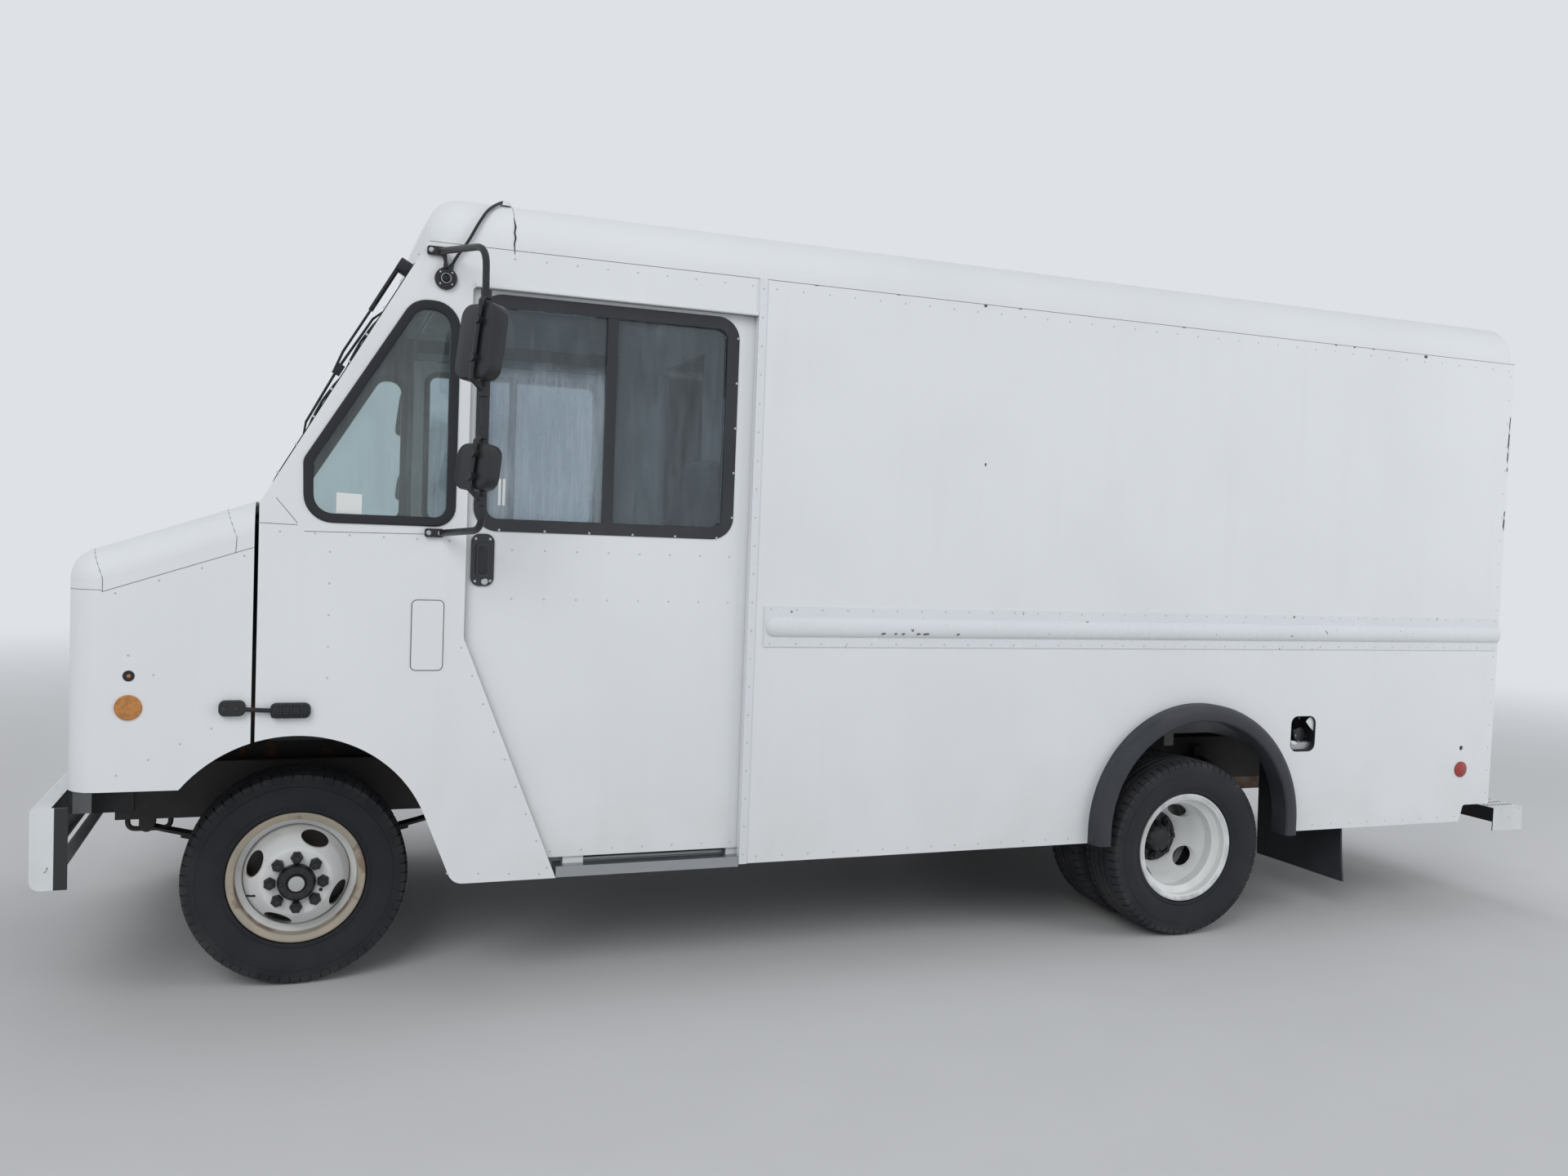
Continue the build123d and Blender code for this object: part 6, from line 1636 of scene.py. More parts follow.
@dataclass
class Lamps:
    """Headlamps, turn signals, reflectors and rear lamps."""

    shop: Workshop
    nose_x: float = -2.9225
    tail_x: float = 2.7895
    headlamp: tuple[float, float, float] = (0.800, 1.060, 0.089)

    def headlamp_forms(self, side: Side) -> tuple[Form, Form, Form]:
        """Bezel, reflector bowl and lens of one headlamp."""
        y, z, r = self.headlamp
        centre = (self.nose_x, side.value * y, z)
        bezel = Form().lathe([(0.0, r + 0.014), (-0.008, r + 0.013), (-0.0118, r + 0.006), (-0.0105, r - 0.004),
                              (0.004, r - 0.008), (0.004, r - 0.002)], centre, Axis.X, 48)
        bowl = Form().lathe([(0.002, r - 0.004), (0.018, 0.07), (0.034, 0.04), (0.039, 0.0)], centre, Axis.X, 40,
                            closed=False)
        lens = Form().lathe([(0.001, r - 0.009), (-0.004, 0.066), (-0.008, 0.040), (-0.0095, 0.0)], centre, Axis.X,
                            40, closed=False)
        return bezel, bowl, lens

    def build(self) -> None:
        """Makes every lamp."""
        palette = self.shop.palette
        bezels, glass, amber = [], [], Form()
        for side in Side:
            bezel, bowl, lens = self.headlamp_forms(side)
            bezels += [bezel.mesh("bezel"), bowl.mesh("bowl")]
            glass.append(lens.mesh("lens"))
            y = side.value * SIDE_Y
            out = side.value
            amber.lathe([(0.0, 0.038), (0.004 * out, 0.038), (0.0064 * out, 0.035), (0.0070 * out, 0.0)],
                        (at(-0.481), y, 0.976), Axis.Y, 40, closed=False)
            amber.box((self.nose_x - 0.015, side.value * 0.8 - 0.083, 0.832),
                      (self.nose_x, side.value * 0.8 + 0.083, 0.888), 0.005)
        lamps = piece("headlamp_bezels", joined("bezels", bezels), palette["chrome"], "hood")
        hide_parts("hood_lamps")
        piece("headlamp_lenses", joined("lenses", glass), palette["clear_lens"], "hood")
        piece("amber_lenses", amber.mesh("amber"), palette["amber_lens"], "hood")
        hole = (at(-0.481), -SIDE_Y, 1.071)
        ring = Form().lathe([(0.006, 0.0125), (-0.0006, 0.0125), (-0.0006, 0.0165), (-0.0022, 0.0155),
                             (-0.0026, 0.0110), (-0.0010, 0.0070), (0.006, 0.0070)], hole, Axis.Y, 28)
        piece("empty_lamp_grommet", ring.mesh("ring"), palette["black_rubber"], "hood")
        dot = Form().lathe([(0.004, 0.0072), (0.0015, 0.0060), (0.001, 0.0)], hole, Axis.Y, 20, closed=False)
        piece("empty_lamp_plug", dot.mesh("dot"), palette["amber_lens"], "hood")
        self.rear()

    def rear(self) -> None:
        """Makes the reflectors and the lamps at the rear."""
        palette = self.shop.palette
        red, clear, rings = Form(), Form(), Form()
        for side in Side:
            out = side.value
            red.lathe([(0.0, 0.035), (0.004 * out, 0.035), (0.0057 * out, 0.032), (0.006 * out, 0.0)],
                      (at(4.880), out * SIDE_Y, 0.632), Axis.Y, 40, closed=False)
            for z, form in ((0.980, clear), (1.110, red), (1.240, red)):
                centre = (self.tail_x, out * 1.030, z)
                rings.lathe([(0.0, 0.052), (0.009, 0.052), (0.011, 0.049), (0.009, 0.046), (0.0, 0.046)], centre,
                            Axis.X, 40)
                form.lathe([(0.0, 0.046), (0.012, 0.044), (0.0165, 0.034), (0.018, 0.0)], centre, Axis.X, 40,
                           closed=False)
            red.box((self.tail_x, out * 1.04 - 0.03, 2.39), (self.tail_x + 0.016, out * 1.04 + 0.03, 2.42), 0.005)
        plug = Form().lathe([(0.0105, 0.0105), (0.0065, 0.0105), (0.0075, 0.0)], (at(4.879), -SIDE_Y, 0.728), Axis.Y,
                            24, closed=False)
        piece("empty_marker_plug", plug.mesh("plug"), palette["black_rubber"], "root")
        for y in (-0.16, 0.0, 0.16):
            red.box((self.tail_x, y - 0.035, 2.405), (self.tail_x + 0.016, y + 0.035, 2.43), 0.005)
        lamps = piece("red_lenses", red.mesh("red"), palette["red_lens"], "root")
        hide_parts("lamps")
        piece("reversing_lenses", clear.mesh("clear"), palette["clear_lens"], "root")
        piece("tail_lamp_rings", rings.mesh("rings"), palette["black_rubber"], "root")


@dataclass
class Windshield:
    """Gaskets round the two panes and the wipers above them."""

    shop: Workshop
    foot: Point = (-2.4025, 0.0, 1.604)
    run: float = 0.482
    rise: float = 0.851
    pane: tuple[float, float, float] = (1.033, 0.818, 0.060)
    pane_middle: tuple[float, float] = (0.5415, 0.499)
    wiper_y: float = 0.760

    def place(self, across: float, up: float, out: float) -> Point:
        """Point on the slope.

        Args:
            across: Y.
            up: Distance up the slope from its foot.
            out: Distance in front of it.

        Returns:
            The point.
        """
        length = hypot(self.run, self.rise)
        ux, uz = self.run / length, self.rise / length
        return (self.foot[0] + up * ux - out * uz, across, self.foot[2] + up * uz + out * ux)

    def gasket(self, side: Side) -> Form:
        """Rubber ring round one pane."""
        width, height, radius = self.pane
        middle, up = self.pane_middle
        rings = []
        for extra in (0.014, -0.016):
            outline = rounded(width + 2 * extra, height + 2 * extra, radius + extra)
            rings.append([self.place(side.value * middle + a, up + b, 0.0) for a, b in outline])
        shift = Vector(self.place(0, 0, 0.006)) - Vector(self.foot)
        form = Form().ring_prism(rings[0], rings[1], tuple(shift))
        inner = [self.place(side.value * middle + a, up + b, -0.010) for a, b in
                 rounded(width - 0.002, height - 0.002, radius - 0.001)]
        lip = [self.place(side.value * middle + a, up + b, -0.010) for a, b in
               rounded(width - 0.032, height - 0.032, radius - 0.016)]
        return form.ring_prism(inner, lip, tuple(shift * 2))

    def wiper(self, side: Side) -> Form:
        """Pivot, arm, spring, yokes and blade."""
        y = side.value * self.wiper_y
        form = Form()
        top = 0.938

        def out(reach: float) -> Point:
            """Shift that stands out from the slope."""
            return tuple(Vector(self.place(0, 0, reach)) - Vector(self.foot))

        form.prism([self.place(y + a, top + b, 0.0) for a, b in rounded(0.050, 0.052, 0.022)], out(0.058), 0.003)
        form.prism([self.place(y - 0.011, top + 0.016, 0.042), self.place(y + 0.011, top + 0.016, 0.042),
                    self.place(y + 0.008, top - 0.19, 0.042), self.place(y - 0.008, top - 0.19, 0.042)], out(0.016),
                   0.002)
        form.tube([self.place(y, top - 0.17, 0.050), self.place(y, top - 0.36, 0.052),
                   self.place(y, top - 0.44, 0.042)], 0.0045, 8)
        form.tube([self.place(y - 0.013, top - 0.03, 0.050), self.place(y - 0.013, top - 0.16, 0.050)], 0.0035, 6)
        form.prism([self.place(y + a, top - 0.42 + b, 0.020) for a, b in rounded(0.016, 0.040, 0.006)], out(0.024))
        for low, high, rise in ((0.16, 0.68, 0.036), (0.18, 0.42, 0.022), (0.42, 0.66, 0.022)):
            form.tube([self.place(y, top - low, 0.010), self.place(y, top - low - 0.05, rise * 0.8),
                       self.place(y, top - (low + high) / 2, rise), self.place(y, top - high + 0.05, rise * 0.8),
                       self.place(y, top - high, 0.010)], [0.003, 0.0045, 0.005, 0.0045, 0.003], 6)
        form.prism([self.place(y - 0.004, top - 0.15, 0.001), self.place(y + 0.004, top - 0.15, 0.001),
                    self.place(y + 0.004, top - 0.69, 0.001), self.place(y - 0.004, top - 0.69, 0.001)], out(0.012))
        return form

    def build(self) -> None:
        """Adds the gaskets and wipers."""
        palette = self.shop.palette
        for side in Side:
            piece(f"windshield_gasket_{side.word}", self.gasket(side).mesh("gasket"), palette["black_rubber"], "root")
        wipers = joined("wipers", [self.wiper(side).mesh("wiper") for side in Side])
        blades = piece("wiper_arms", wipers, palette["black_plastic"], "root")
        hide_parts("wipers")


@dataclass
class Fittings:
    """Hood latches, door locks and other small outside fittings."""

    shop: Workshop
    def latch(self, side: Side) -> Form:
        """Strap of the rubber hood latch and its ribs."""
        y = side.value * (SIDE_Y + 0.014)
        form = Form().tube([(at(-0.085), y, 0.964), (at(-0.12), y + side.value * 0.002, 0.966),
                            (at(-0.165), y, 0.969)], 0.007, 10)
        form.box((at(-0.080), min(side.value * 1.170, side.value * 1.176), 0.950),
                 (at(0.020), max(side.value * 1.170, side.value * 1.176), 0.976), 0.002)
        for station in (-0.060, -0.030, 0.0):
            form.box((at(station), min(side.value * 1.172, side.value * 1.179), 0.942),
                     (at(station + 0.008), max(side.value * 1.172, side.value * 1.179), 0.984), 0.0015)
        return form

    def hook(self, side: Side) -> Form:
        """Two bolts of the hood latch's hook."""
        out = side.value
        form = Form()
        for station in (-0.218, -0.182):
            form.lathe([(0.0, 0.008), (0.004 * out, 0.0075), (0.005 * out, 0.0)],
                       (at(station), out * (SIDE_Y + 0.020), 0.972), Axis.Y, 6, closed=False)
        return form

    def grip(self, side: Side) -> Form:
        """Edge of the pull grip in the lock plate."""
        out = side.value
        outline = [(at(0.548) + a, out * (DOOR_Y + 0.018), 1.447 + b) for a, b in rounded(0.030, 0.094, 0.010)]
        return Form().prism(outline, (0, out * 0.003, 0), 0.001)

    def lock(self, side: Side) -> Form:
        """Key cylinder and corner screws of the lock plate."""
        out = side.value
        face = out * (DOOR_Y + 0.006)
        form = Form().lathe([(-0.001 * out, 0.0115), (0.004 * out, 0.0110), (0.005 * out, 0.0085), (0.0035 * out, 0.0080),
                             (0.0035 * out, 0.0)], (at(0.556), face, 1.376), Axis.Y, 20, closed=False)
        for station, z in ((0.525, 1.516), (0.571, 1.516), (0.525, 1.377), (0.574, 1.379)):
            form.lathe([(0.0, 0.0052), (0.002 * out, 0.0040), (0.0022 * out, 0.0)], (at(station), face, z), Axis.Y, 10,
                       closed=False)
        return form

    def build(self) -> None:
        """Adds the fittings on both sides."""
        palette = self.shop.palette
        for side in Side:
            word = side.word
            piece(f"latch_strap_{word}", self.latch(side).mesh("latch"), palette["black_rubber"], "root")
            piece(f"latch_hook_bolts_{word}", self.hook(side).mesh("hook"), palette["chassis_paint"], "hood")
            piece(f"lock_cylinder_{word}", self.lock(side).mesh("lock"), palette["bright_steel"], f"{word}_door")
            piece(f"lock_grip_{word}", self.grip(side).mesh("grip"), palette["black_plastic"], f"{word}_door")


@dataclass
class Mirrors:
    """Mirror tubes with turned heads, and the round side camera below the left one."""

    shop: Workshop
    tube: float = 0.011
    bend: float = 0.060
    # Tube: rows of (station, distance outside the body, height)
    arm: tuple[Point, ...] = ((0.385, 0.008, 2.425), (0.495, 0.280, 2.400), (0.505, 0.280, 1.546),
                              (0.410, 0.008, 1.530))
    # Feet: rows of (station, height)
    feet: tuple[tuple[float, float], ...] = ((0.375, 2.425), (0.390, 1.530))
    foot_half: tuple[float, float] = (0.030, 0.014)
    foot_thick: float = 0.016
    station: float = 0.488
    out: float = 1.430
    tilt: float = radians(8)
    yaw: float = radians(35)
    # Heads: rows of (height above the ground, depth, width, height)
    heads: tuple[tuple[float, float, float, float], ...] = ((2.110, 0.055, 0.158, 0.232),
                                                            (1.735, 0.055, 0.150, 0.142))
    camera: tuple[float, float] = (0.405, 2.341)
    camera_radius: float = 0.035
    camera_face: float = 1.166

    def on_head(self, side: Side, z: float, across: float, up: float, back: float) -> Point:
        """Point on a head, which is tilted and turned to the driver.

        Args:
            side: Side of the van.
            z: Height of the head's middle.
            across: Distance across its face.
            up: Distance up its face.
            back: Distance behind its middle.

        Returns:
            The point.
        """
        turn = -side.value * self.yaw
        x, lift = back * cos(self.tilt) + up * sin(self.tilt), up * cos(self.tilt) - back * sin(self.tilt)
        return (at(self.station) + x * cos(turn) - across * sin(turn),
                side.value * self.out + x * sin(turn) + across * cos(turn), z + lift)

    def body(self, side: Side) -> Form:
        """Tube, feet and both heads of one side."""
        out = side.value
        form = Form().tube(bent([(at(s), out * (SIDE_Y + reach), z) for s, reach, z in self.arm], self.bend),
                           self.tube, 14)
        along, high = self.foot_half
        for station, z in self.feet:
            outline = [(at(station) + a, out * SIDE_Y, z + b) for a, b in rounded(2 * along, 2 * high, 0.008)]
            form.prism(outline, (0, out * self.foot_thick, 0), 0.003)
        for z, depth, width, height in self.heads:
            outline = [self.on_head(side, z, a, b, -depth / 2) for a, b in rounded(width, height, 0.040)]
            shift = Vector(self.on_head(side, z, 0, 0, depth / 2)) - Vector(self.on_head(side, z, 0, 0, -depth / 2))
            form.prism(outline, tuple(shift), 0.010)
        return form

    def bars(self, side: Side) -> Form:
        """Bars that carry the heads, with their clamps."""
        form = Form()
        for z, depth, width, height in self.heads:
            shift = 0.018 * side.value
            ends = [(at(0.4985), side.value * self.out, z + way * (height / 2 + 0.030)) for way in (1, -1)]
            bar = [self.on_head(side, z, shift, reach, -depth / 2 - 0.010)
                   for reach in (height / 2 + 0.002, height / 4, -height / 4, -height / 2 - 0.002)]
            form.tube([ends[0], *bar, ends[1]], 0.0085, 10)
            for x, y, level in ends:
                form.lathe([(-0.014, 0.0165), (0.014, 0.0165), (0.016, 0.013), (-0.016, 0.013)], (x, y, level),
                           Axis.Z, 16)
            for reach in (height / 4, -height / 4):
                a, b = [self.on_head(side, z, shift, reach, -depth / 2 - back) for back in (-0.002, 0.022)]
                form.tube([a, b], 0.014, 10)
        return form

    def glass(self, side: Side) -> Form:
        """Mirror glasses on the rear of both heads."""
        form = Form()
        for z, depth, width, height in self.heads:
            outline = [self.on_head(side, z, a, b, depth / 2 + 0.0006)
                       for a, b in rounded(width - 0.026, height - 0.034, 0.032)]
            shift = Vector(self.on_head(side, z, 0, 0, 0.0015)) - Vector(self.on_head(side, z, 0, 0, 0))
            form.prism(outline, tuple(shift))
        return form

    def bolts(self, side: Side) -> Form:
        """Bright bolts in the feet."""
        form = Form()
        out = side.value
        for station, z in self.feet:
            for shift in (-0.018, 0.018):
                form.lathe([(0.0, 0.0085), (0.004 * out, 0.0080), (0.0055 * out, 0.0055), (0.006 * out, 0.0)],
                           (at(station + shift), out * (SIDE_Y + self.foot_thick), z), Axis.Y, 10, closed=False)
        return form

    def camera_forms(self) -> tuple[Form, Form, Form]:
        """Housing with its boot and ball mount, lens, and bright ring and screws of the camera."""
        station, z = self.camera
        r, face = self.camera_radius, self.camera_face
        centre = (at(station), -face, z)
        housing = Form().lathe([(face - SIDE_Y, r), (0.004, r), (0.0012, r - 0.0015), (0.0, r - 0.004),
                                (-0.001, 0.019), (0.0, 0.0165), (0.0, 0.0)], centre, Axis.Y, 40, closed=False)
        housing.tube([(at(0.4125), -1.158, 2.362), (at(0.4181), -1.1592, 2.3749), (at(0.4235), -1.1602, 2.387)],
                     [0.0105, 0.0095, 0.0062], 14)
        housing.tube([(at(0.398), -1.162, 2.414), (at(0.402), -1.163, 2.392), (at(0.403), -1.163, 2.372)],
                     [0.008, 0.0055, 0.009], 10)
        lens = Form().lathe([(-0.0005, 0.0130), (-0.0055, 0.0120), (-0.0095, 0.0080), (-0.011, 0.0)], centre, Axis.Y,
                            28, closed=False)
        bright = Form().lathe([(0.0, 0.0165), (-0.0035, 0.0160), (-0.004, 0.0140), (0.0, 0.0132)], centre, Axis.Y, 32)
        for k in range(4):
            angle = radians(45 + 90 * k)
            bright.lathe([(0.0, 0.0036), (-0.0022, 0.0030), (-0.0026, 0.0)],
                         (at(station) + 0.026 * cos(angle), -face, z + 0.026 * sin(angle)), Axis.Y, 10, closed=False)
        return housing, lens, bright

    def build(self) -> None:
        """Makes the mirrors and the camera."""
        palette = self.shop.palette
        housing, lens, bright = self.camera_forms()
        meshes = [self.body(side).mesh("arm") for side in Side] + [self.bars(side).mesh("bars") for side in Side]
        arms = piece("mirror_arms", joined("mirrors", meshes), palette["black_plastic"], "root")
        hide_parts("mirrors")
        piece("side_camera_housing", housing.mesh("housing"), palette["black_plastic"], "root")
        piece("side_camera_lens", lens.mesh("lens"), palette["camera_glass"], "root")
        piece("side_camera_screws", bright.mesh("screws"), palette["bright_steel"], "root")
        for side in Side:
            piece(f"mirror_glasses_{side.word}", self.glass(side).mesh("glass"), palette["mirror_silver"], "root")
            piece(f"mirror_foot_bolts_{side.word}", self.bolts(side).mesh("bolts"), palette["bright_steel"], "root")


@dataclass
class QuarterWindows:
    """Rubber gaskets of the quarter windows and the latch pads beside the hood."""

    shop: Workshop
    corners: tuple[tuple[float, float], ...] = ((0.456, 1.550), (0.456, 2.270), (0.309, 2.270), (-0.008, 1.745),
                                                (-0.003, 1.550))
    radii: tuple[float, ...] = (0.065, 0.085, 0.080, 0.050, 0.088)
    # Gasket: rows of (distance inside the outline, distance outside the body)
    section: tuple[tuple[float, float], ...] = (
        (0.000, 0.0002), (0.0008, 0.0045), (0.004, 0.0068), (0.025, 0.0068), (0.0292, 0.0045), (0.030, 0.000),
        (0.030, -0.029), (0.000, -0.029), (0.000, -0.0225), (0.0125, -0.0225), (0.0125, -0.0002))
    catch: tuple[float, float] = (-0.028, 0.963)
    catch_size: tuple[float, float, float] = (0.118, 0.048, 0.018)

    def gasket(self, side: Side) -> Form:
        """Gasket of one side."""
        form = Form()
        places = [(at(s), z) for s, z in self.corners]
        rings = []
        for depth, out in self.section:
            outline = round_corners(inset(places, depth), [r - depth for r in self.radii])
            rings.append([form.bm.verts.new((x, side.value * (SIDE_Y + out), z)) for x, z in outline])
        faces = []
        count = len(rings[0])
        for first, last in zip(rings, rings[1:] + rings[:1]):
            faces += [form.bm.faces.new((first[i], first[(i + 1) % count], last[(i + 1) % count], last[i]))
                      for i in range(count)]
        bmesh.ops.recalc_face_normals(form.bm, faces=faces)
        return form

    def pad(self, side: Side) -> Form:
        """Rubber latch pad with a raised end."""
        out = side.value
        s, z = self.catch
        width, height, radius = self.catch_size
        outline = [(at(s) + a, out * SIDE_Y, z + b) for a, b in rounded(width, height, radius)]
        form = Form().prism(outline, (0, out * 0.020, 0), 0.004)
        block = [(at(s - 0.034) + a, out * (SIDE_Y + 0.018), z + b) for a, b in rounded(0.044, height - 0.004, 0.006)]
        return form.prism(block, (0, out * 0.004, 0), 0.0015)

    def build(self) -> None:
        """Makes the gaskets and the pads."""
        palette = self.shop.palette
        meshes = [form.mesh("rubber") for side in Side for form in (self.gasket(side), self.pad(side))]
        rubber = piece("quarter_gaskets", joined("gaskets", meshes), palette["black_rubber"], "root")
        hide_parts("cab_rubber")


@dataclass
class Flares:
    """Round-edged rubber flares of the rear arches, the mud flaps, and the torn filler opening."""

    shop: Workshop
    centre: tuple[float, float] = (3.420, 0.450)
    foot: float = 0.395
    # Flare: rows of (radius, distance outside the body)
    section: tuple[tuple[float, float], ...] = (
        (0.498, 0.0), (0.498, 0.038), (0.4955, 0.049), (0.489, 0.059), (0.479, 0.0665), (0.466, 0.070), (0.448, 0.070),
        (0.437, 0.068), (0.431, 0.062), (0.430, 0.052), (0.430, -0.020), (0.436, -0.020), (0.436, 0.0))
    flap: tuple[float, float, float, float] = (0.590, 1.100, 0.145, 0.740)
    flap_station: float = 4.250
    flap_thick: float = 0.009
    filler: tuple[float, float] = (3.974, 0.810)
    filler_size: tuple[float, float, float] = (0.132, 0.152, 0.034)

    def flare(self, side: Side) -> Form:
        """Flare of one side."""
        form = Form()
        x, z = at(self.centre[0]), self.centre[1]
        turns = [pi] + [pi * (1 - i / 56) for i in range(57)] + [0.0]
        rings = []
        for i, turn in enumerate(turns):
            low = i in (0, len(turns) - 1)
            rings.append([form.bm.verts.new((x + r * cos(turn), side.value * (SIDE_Y + out),
                                             self.foot if low else z + r * sin(turn))) for r, out in self.section])
        faces = [form.bm.faces.new(rings[0]), form.bm.faces.new(rings[-1][::-1])]
        count = len(self.section)
        for first, last in zip(rings, rings[1:]):
            faces += [form.bm.faces.new((first[k], first[(k + 1) % count], last[(k + 1) % count], last[k]))
                      for k in range(count)]
        bmesh.ops.recalc_face_normals(form.bm, faces=faces)
        return form

    def flap_form(self, side: Side) -> Form:
        """Mud flap, bowed a little and curled at its lower outer corner."""
        form = Form()
        y0, y1, z0, z1 = self.flap
        rings = []
        rows, columns = 12, 10
        for thick in (0.0, self.flap_thick):
            grid = []
            for i in range(rows + 1):
                low = 1 - i / rows
                line = []
                for j in range(columns + 1):
                    across = j / columns
                    bow = 0.012 * low ** 2 * (1 + 0.8 * sin(pi * across)) + 0.020 * (low * across) ** 4
                    line.append(form.bm.verts.new((at(self.flap_station) + thick + bow,
                                                   side.value * (y0 + (y1 - y0) * across), z0 + (z1 - z0) * i / rows)))
                grid.append(line)
            rings.append(grid)
        faces = []
        for grid in rings:
            faces += [form.bm.faces.new((grid[i][j], grid[i][j + 1], grid[i + 1][j + 1], grid[i + 1][j]))
                      for i in range(rows) for j in range(columns)]
        front, back = rings
        edge = ([(0, j) for j in range(columns)] + [(i, columns) for i in range(rows)]
                + [(rows, j) for j in range(columns, 0, -1)] + [(i, 0) for i in range(rows, 0, -1)])
        for (i, j), (k, m) in zip(edge, edge[1:] + edge[:1]):
            faces.append(form.bm.faces.new((front[i][j], front[k][m], back[k][m], back[i][j])))
        bmesh.ops.recalc_face_normals(form.bm, faces=faces)
        return form

    def liner(self) -> Form:
        """Black rubber edge of the filler opening."""
        s, z = self.filler
        width, height, radius = self.filler_size
        loops = [[(at(s) + a, -SIDE_Y + 0.0012, z + b) for a, b in
                  rounded(width - 2 * lip, height - 2 * lip, radius - lip)] for lip in (0.0002, 0.0035)]
        return Form().ring_prism(loops[0], loops[1], (0, 0.024, 0))

    def torn(self) -> Form:
        """Pale remains of the filler's surround."""
        upper = [(4.038, 0.878), (4.038, 0.820), (4.018, 0.836), (3.996, 0.860), (4.006, 0.872), (4.020, 0.880)]
        lower = [(3.911, 0.772), (3.944, 0.762), (3.956, 0.770), (3.938, 0.779), (3.911, 0.782)]
        form = Form()
        for outline in (upper, lower):
            form.prism([(at(s), -SIDE_Y + 0.010, z) for s, z in outline], (0, 0.002, 0))
        return form

    def build(self) -> None:
        """Makes the flares, the flaps and the filler's edge."""
        palette = self.shop.palette
        meshes = [form.mesh("rubber") for side in Side for form in (self.flare(side), self.flap_form(side))]
        rubber = piece("flares_and_mud_flaps", joined("flares", meshes), palette["flare_rubber"], "root")
        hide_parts("flares_and_flaps")
        piece("filler_edge", self.liner().mesh("liner"), palette["black_rubber"], "root")
        piece("filler_remains", self.torn().mesh("torn"), palette["trim_paint"], "root")


@dataclass
class Underbody:
    """Tow loops, spring bolts, dampers and other small parts below the floor."""

    shop: Workshop
    rail_y: float = 0.400
    spring_y: float = 0.505
    axle_z: float = 0.360
    axle_tube: float = 0.055

    def tow_loops(self) -> Form:
        """Round loops under the front of the rails."""
        form = Form()
        for side in Side:
            y = side.value * self.rail_y
            form.tube(bent([(at(-0.425), y, 0.486), (at(-0.425), y, 0.440), (at(-0.563), y, 0.440),
                            (at(-0.563), y, 0.486)], 0.028), 0.009, 10)
        return form

    def spring_bolts(self) -> Form:
        """U-bolts that hold the rear springs to the axle, with their nuts."""
        form = Form()
        x, low, high = at(WHEELBASE), self.axle_z - self.axle_tube - 0.008, 0.470
        for side in Side:
            for shift in (-0.050, 0.050):
                y0, y1 = [side.value * self.spring_y + half for half in (-0.041, 0.041)]
                form.tube(bent([(x + shift, y0, high), (x + shift, y0, low), (x + shift, y1, low),
                                (x + shift, y1, high)], 0.020), 0.0075, 10)
                for y in (y0, y1):
                    form.lathe([(0.0, 0.014), (0.013, 0.014), (0.015, 0.011), (0.015, 0.0)],
                               (x + shift, y, high - 0.020), Axis.Z, 6, closed=False)
        return form

    def dampers(self) -> Form:
        """Dampers from the rear axle up to the rails."""
        form = Form()
        for side in Side:
            y = side.value * 0.300
            foot, top = Vector((1.165, y, 0.375)), Vector((1.560, y * 1.15, 0.610))
            middle = foot.lerp(top, 0.52)
            form.tube([tuple(foot), tuple(middle)], 0.024, 18)
            form.tube([tuple(foot.lerp(top, 0.50)), tuple(top)], 0.030, 18)
            for end in (foot, top):
                form.lathe([(-0.026, 0.020), (-0.026, 0.008), (0.026, 0.008), (0.026, 0.020)], tuple(end), Axis.Y, 16)
        return form

    def flap_irons(self) -> Form:
        """Angle irons along the tops of the mud flaps."""
        form = Form()
        for side in Side:
            y0, y1 = sorted((side.value * 0.590, side.value * 1.100))
            form.box((at(4.238), y0, 0.700), (at(4.249), y1, 0.738), 0.002)
        return form

    def build(self) -> None:
        """Adds the parts."""
        palette = self.shop.palette
        for name, form, finish, slot in (
                ("tow_loops", self.tow_loops(), "chassis_paint", "chassis_black"),
                ("rear_spring_bolts", self.spring_bolts(), "chassis_paint", "chassis_black"),
                ("rear_dampers", self.dampers(), "chassis_paint", "chassis_black"),
                ("mud_flap_irons", self.flap_irons(), "chassis_paint", "chassis_black")):
            piece(name, form.mesh(name), palette[finish], "root")


@dataclass
class Treads:
    """Raised lozenges on the steps and the rear bumper."""

    shop: Workshop
    lozenge: tuple[float, float, float] = (0.026, 0.006, 0.0018)

    def item(self) -> Form:
        """One lozenge about the origin."""
        length, width, height = self.lozenge
        outline = [(-length / 2, 0, -0.0004), (0, -width / 2, -0.0004), (length / 2, 0, -0.0004),
                   (0, width / 2, -0.0004)]
        return Form().prism(outline, (0, 0, height + 0.0004))

    def build(self) -> None:
        """Covers the steps and the bumper."""
        repeat, palette = self.shop.repeat, self.shop.palette
        for side in Side:
            centre = (at(1.150), side.value * 0.930, 0.430)
            mesh = repeat.over(self.item(), (0.56, 0.24), (21, 10), centre, palette["sill_aluminium"])
            piece(f"step_tread_{side.word}", joined("tread", [mesh]), palette["sill_aluminium"], "root")
        mesh = repeat.over(self.item(), (0.15, 2.24), (7, 84), (at(5.190), 0.0, 0.447), palette["bumper_paint"])
        piece("bumper_tread", joined("tread", [mesh]), palette["bumper_paint"], "root")


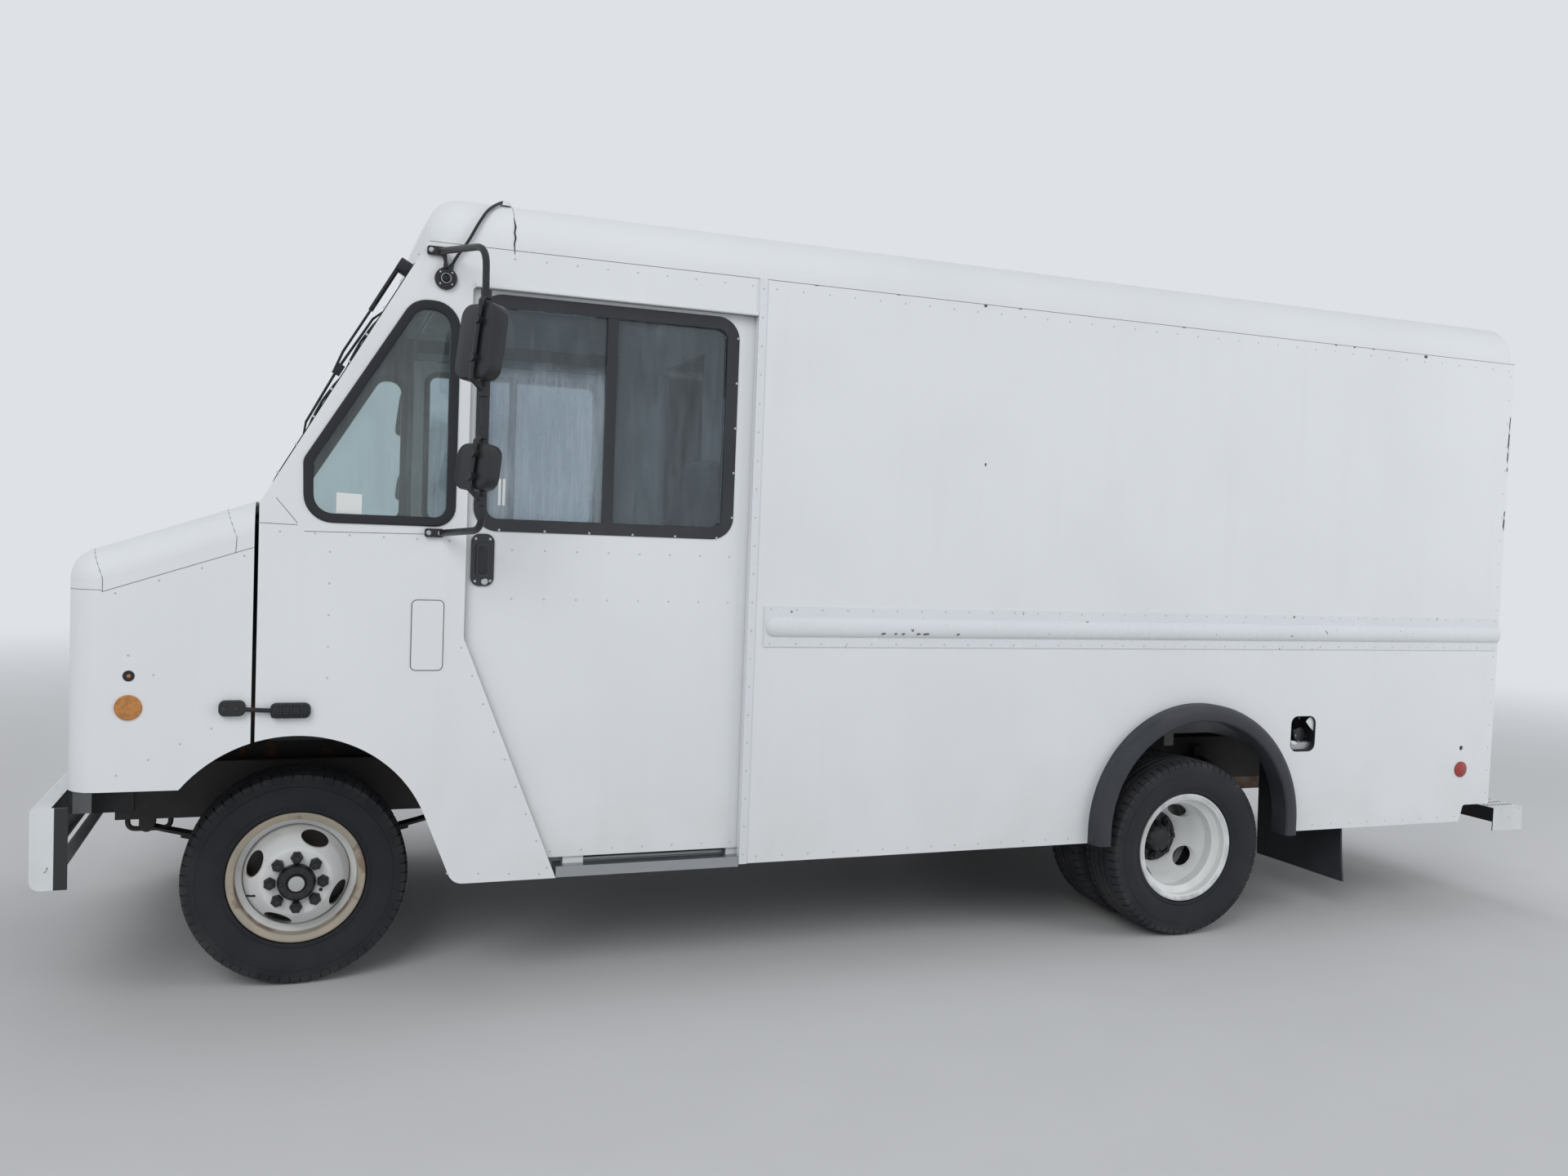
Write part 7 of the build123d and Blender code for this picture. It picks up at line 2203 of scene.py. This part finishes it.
@dataclass
class Cab:
    """Seat, gauges, papers and other things seen through the windows."""

    shop: Workshop

    def cushion(self, name: str, outline: list[tuple[float, float]], y0: float, y1: float) -> None:
        """Makes a padded seat piece from its side outline.

        Args:
            name: Name of the piece.
            outline: Rows of (station, height), in order.
            y0: Left edge.
            y1: Right edge.
        """
        form = Form()
        count = 9
        rings = []
        middle = Vector((sum(at(s) for s, z in outline), 0, sum(z for s, z in outline))) / len(outline)
        for i in range(count):
            t = i / (count - 1)
            swell = 1 - 0.10 * abs(2 * t - 1) ** 6
            y = y0 + (y1 - y0) * t
            rings.append([form.bm.verts.new((middle.x + (at(s) - middle.x) * swell, y,
                                             middle.z + (z - middle.z) * swell)) for s, z in outline])
        size = len(outline)
        form.bm.faces.new(rings[0])
        form.bm.faces.new(rings[-1][::-1])
        for first, last in zip(rings, rings[1:]):
            for k in range(size):
                form.bm.faces.new((first[k], first[(k + 1) % size], last[(k + 1) % size], last[k]))
        bmesh.ops.recalc_face_normals(form.bm, faces=form.bm.faces)
        mesh = form.mesh(name)
        mesh.shade_smooth()
        seat = bpy.data.objects.new(name, mesh)
        bpy.context.scene.collection.objects.link(seat)
        smooth = seat.modifiers.new("round", "SUBSURF")
        smooth.levels = smooth.render_levels = 2
        mesh.materials.append(self.shop.palette["seat_cloth"])
        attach(seat, "root")
        if name == "seat_cushion_pad":
            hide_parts("seat_cushions")

    def gauges(self) -> Form:
        """Dial bezels and switches on the instrument hump."""
        form = Form()
        for y in (-0.70, -0.54):
            form.lathe([(0.0, 0.052), (0.012, 0.050), (0.012, 0.042), (0.004, 0.040), (0.004, 0.0)],
                       (at(0.316), y, 1.480), Axis.X, 32, closed=False)
        for y in (-0.78, -0.62, -0.46):
            form.box((at(0.318), y - 0.012, 1.415), (at(0.328), y + 0.012, 1.432), 0.002)
        return form

    def papers(self) -> Form:
        """Sheets left on the dash by the left window."""
        form = Form()
        form.prism([(at(0.02), -0.98, 1.560), (at(0.17), -1.04, 1.530), (at(0.20), -0.84, 1.527),
                    (at(0.05), -0.79, 1.556)], (0, 0, 0.003))
        form.prism([(at(0.092), -1.1456, 1.646), (at(0.168), -1.1456, 1.643), (at(0.168), -1.1456, 1.580),
                    (at(0.092), -1.1456, 1.582)], (0, 0.0004, 0))
        return form

    def pole(self) -> Form:
        """Upright grab pole behind the driver's seat."""
        form = Form().tube([(at(1.335), -0.360, 0.772), (at(1.335), -0.360, 2.180)], 0.017, 16)
        form.tube(bent([(at(1.335), -0.360, 2.16), (at(1.335), -0.360, 2.20), (at(1.50), -0.360, 2.20)], 0.035),
                  0.017, 16)
        return form.lathe([(0.0, 0.045), (0.006, 0.045), (0.010, 0.030), (0.010, 0.0)], (at(1.335), -0.360, 0.7705),
                          Axis.Z, 20, closed=False)

    def label(self) -> Form:
        """Two plain white strips on the door's glass."""
        form = Form()
        for low, high in ((0.595, 0.604), (0.609, 0.618)):
            form.box((at(low), -1.1060, 1.628), (at(high), -1.1052, 1.716))
        return form

    def visor(self) -> Form:
        """Sun visor under the header with its arm."""
        form = Form()
        outline = [(at(0.395) + 0.17 * t, -0.90, 2.27 - 0.04 * t) for t in (0.0, 1.0)]
        outline += [(x, y, z + 0.018) for x, y, z in reversed(outline)]
        form.prism(outline, (0, 0.52, 0), 0.005)
        return form.tube([(at(0.392), -0.93, 2.29), (at(0.392), -0.36, 2.29)], 0.007, 10)

    def build(self) -> None:
        """Furnishes the cab."""
        palette = self.shop.palette
        self.cushion("seat_cushion_pad", [(0.885, 1.163), (1.13, 1.162), (1.365, 1.163), (1.362, 1.22), (1.36, 1.262),
                                          (1.13, 1.268), (0.92, 1.272), (0.886, 1.225)], -0.856, -0.384)
        self.cushion("seat_back_pad", [(1.300, 1.276), (1.395, 1.276), (1.42, 1.45), (1.482, 1.82), (1.445, 1.845),
                                       (1.408, 1.845), (1.36, 1.65), (1.32, 1.46)], -0.846, -0.394)
        piece("dash_gauges", self.gauges().mesh("gauges"), palette["black_plastic"], "root")
        piece("grab_pole", self.pole().mesh("pole"), palette["wall_panel"], "root")
        piece("door_glass_label", self.label().mesh("label"), palette["paper_white"], "left_door")
        piece("sun_visor", self.visor().mesh("visor"), palette["grey_plastic"], "root")
        piece("dash_papers", self.papers().mesh("papers"), palette["paper_white"], "root")


def main() -> None:
    """Builds the van's looks in order."""
    logging.basicConfig(level=logging.INFO, format="%(name)s: %(message)s")
    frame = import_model()
    shop = Workshop(Palette().build(), Repeater())
    Studio().build()
    CameraCable(shop).build()
    CadFinishes(shop).build(frame["nodes"])
    for assembly in (Mirrors, Rims, Tyres, WheelFittings, QuarterWindows, Flares, Underbody, Rivets, Seams, Lamps,
                     Windshield, Fittings, Treads, Cab):
        assembly(shop).build()
        log.info("%s done", assembly.__name__)


if __name__ == "__main__":
    main()
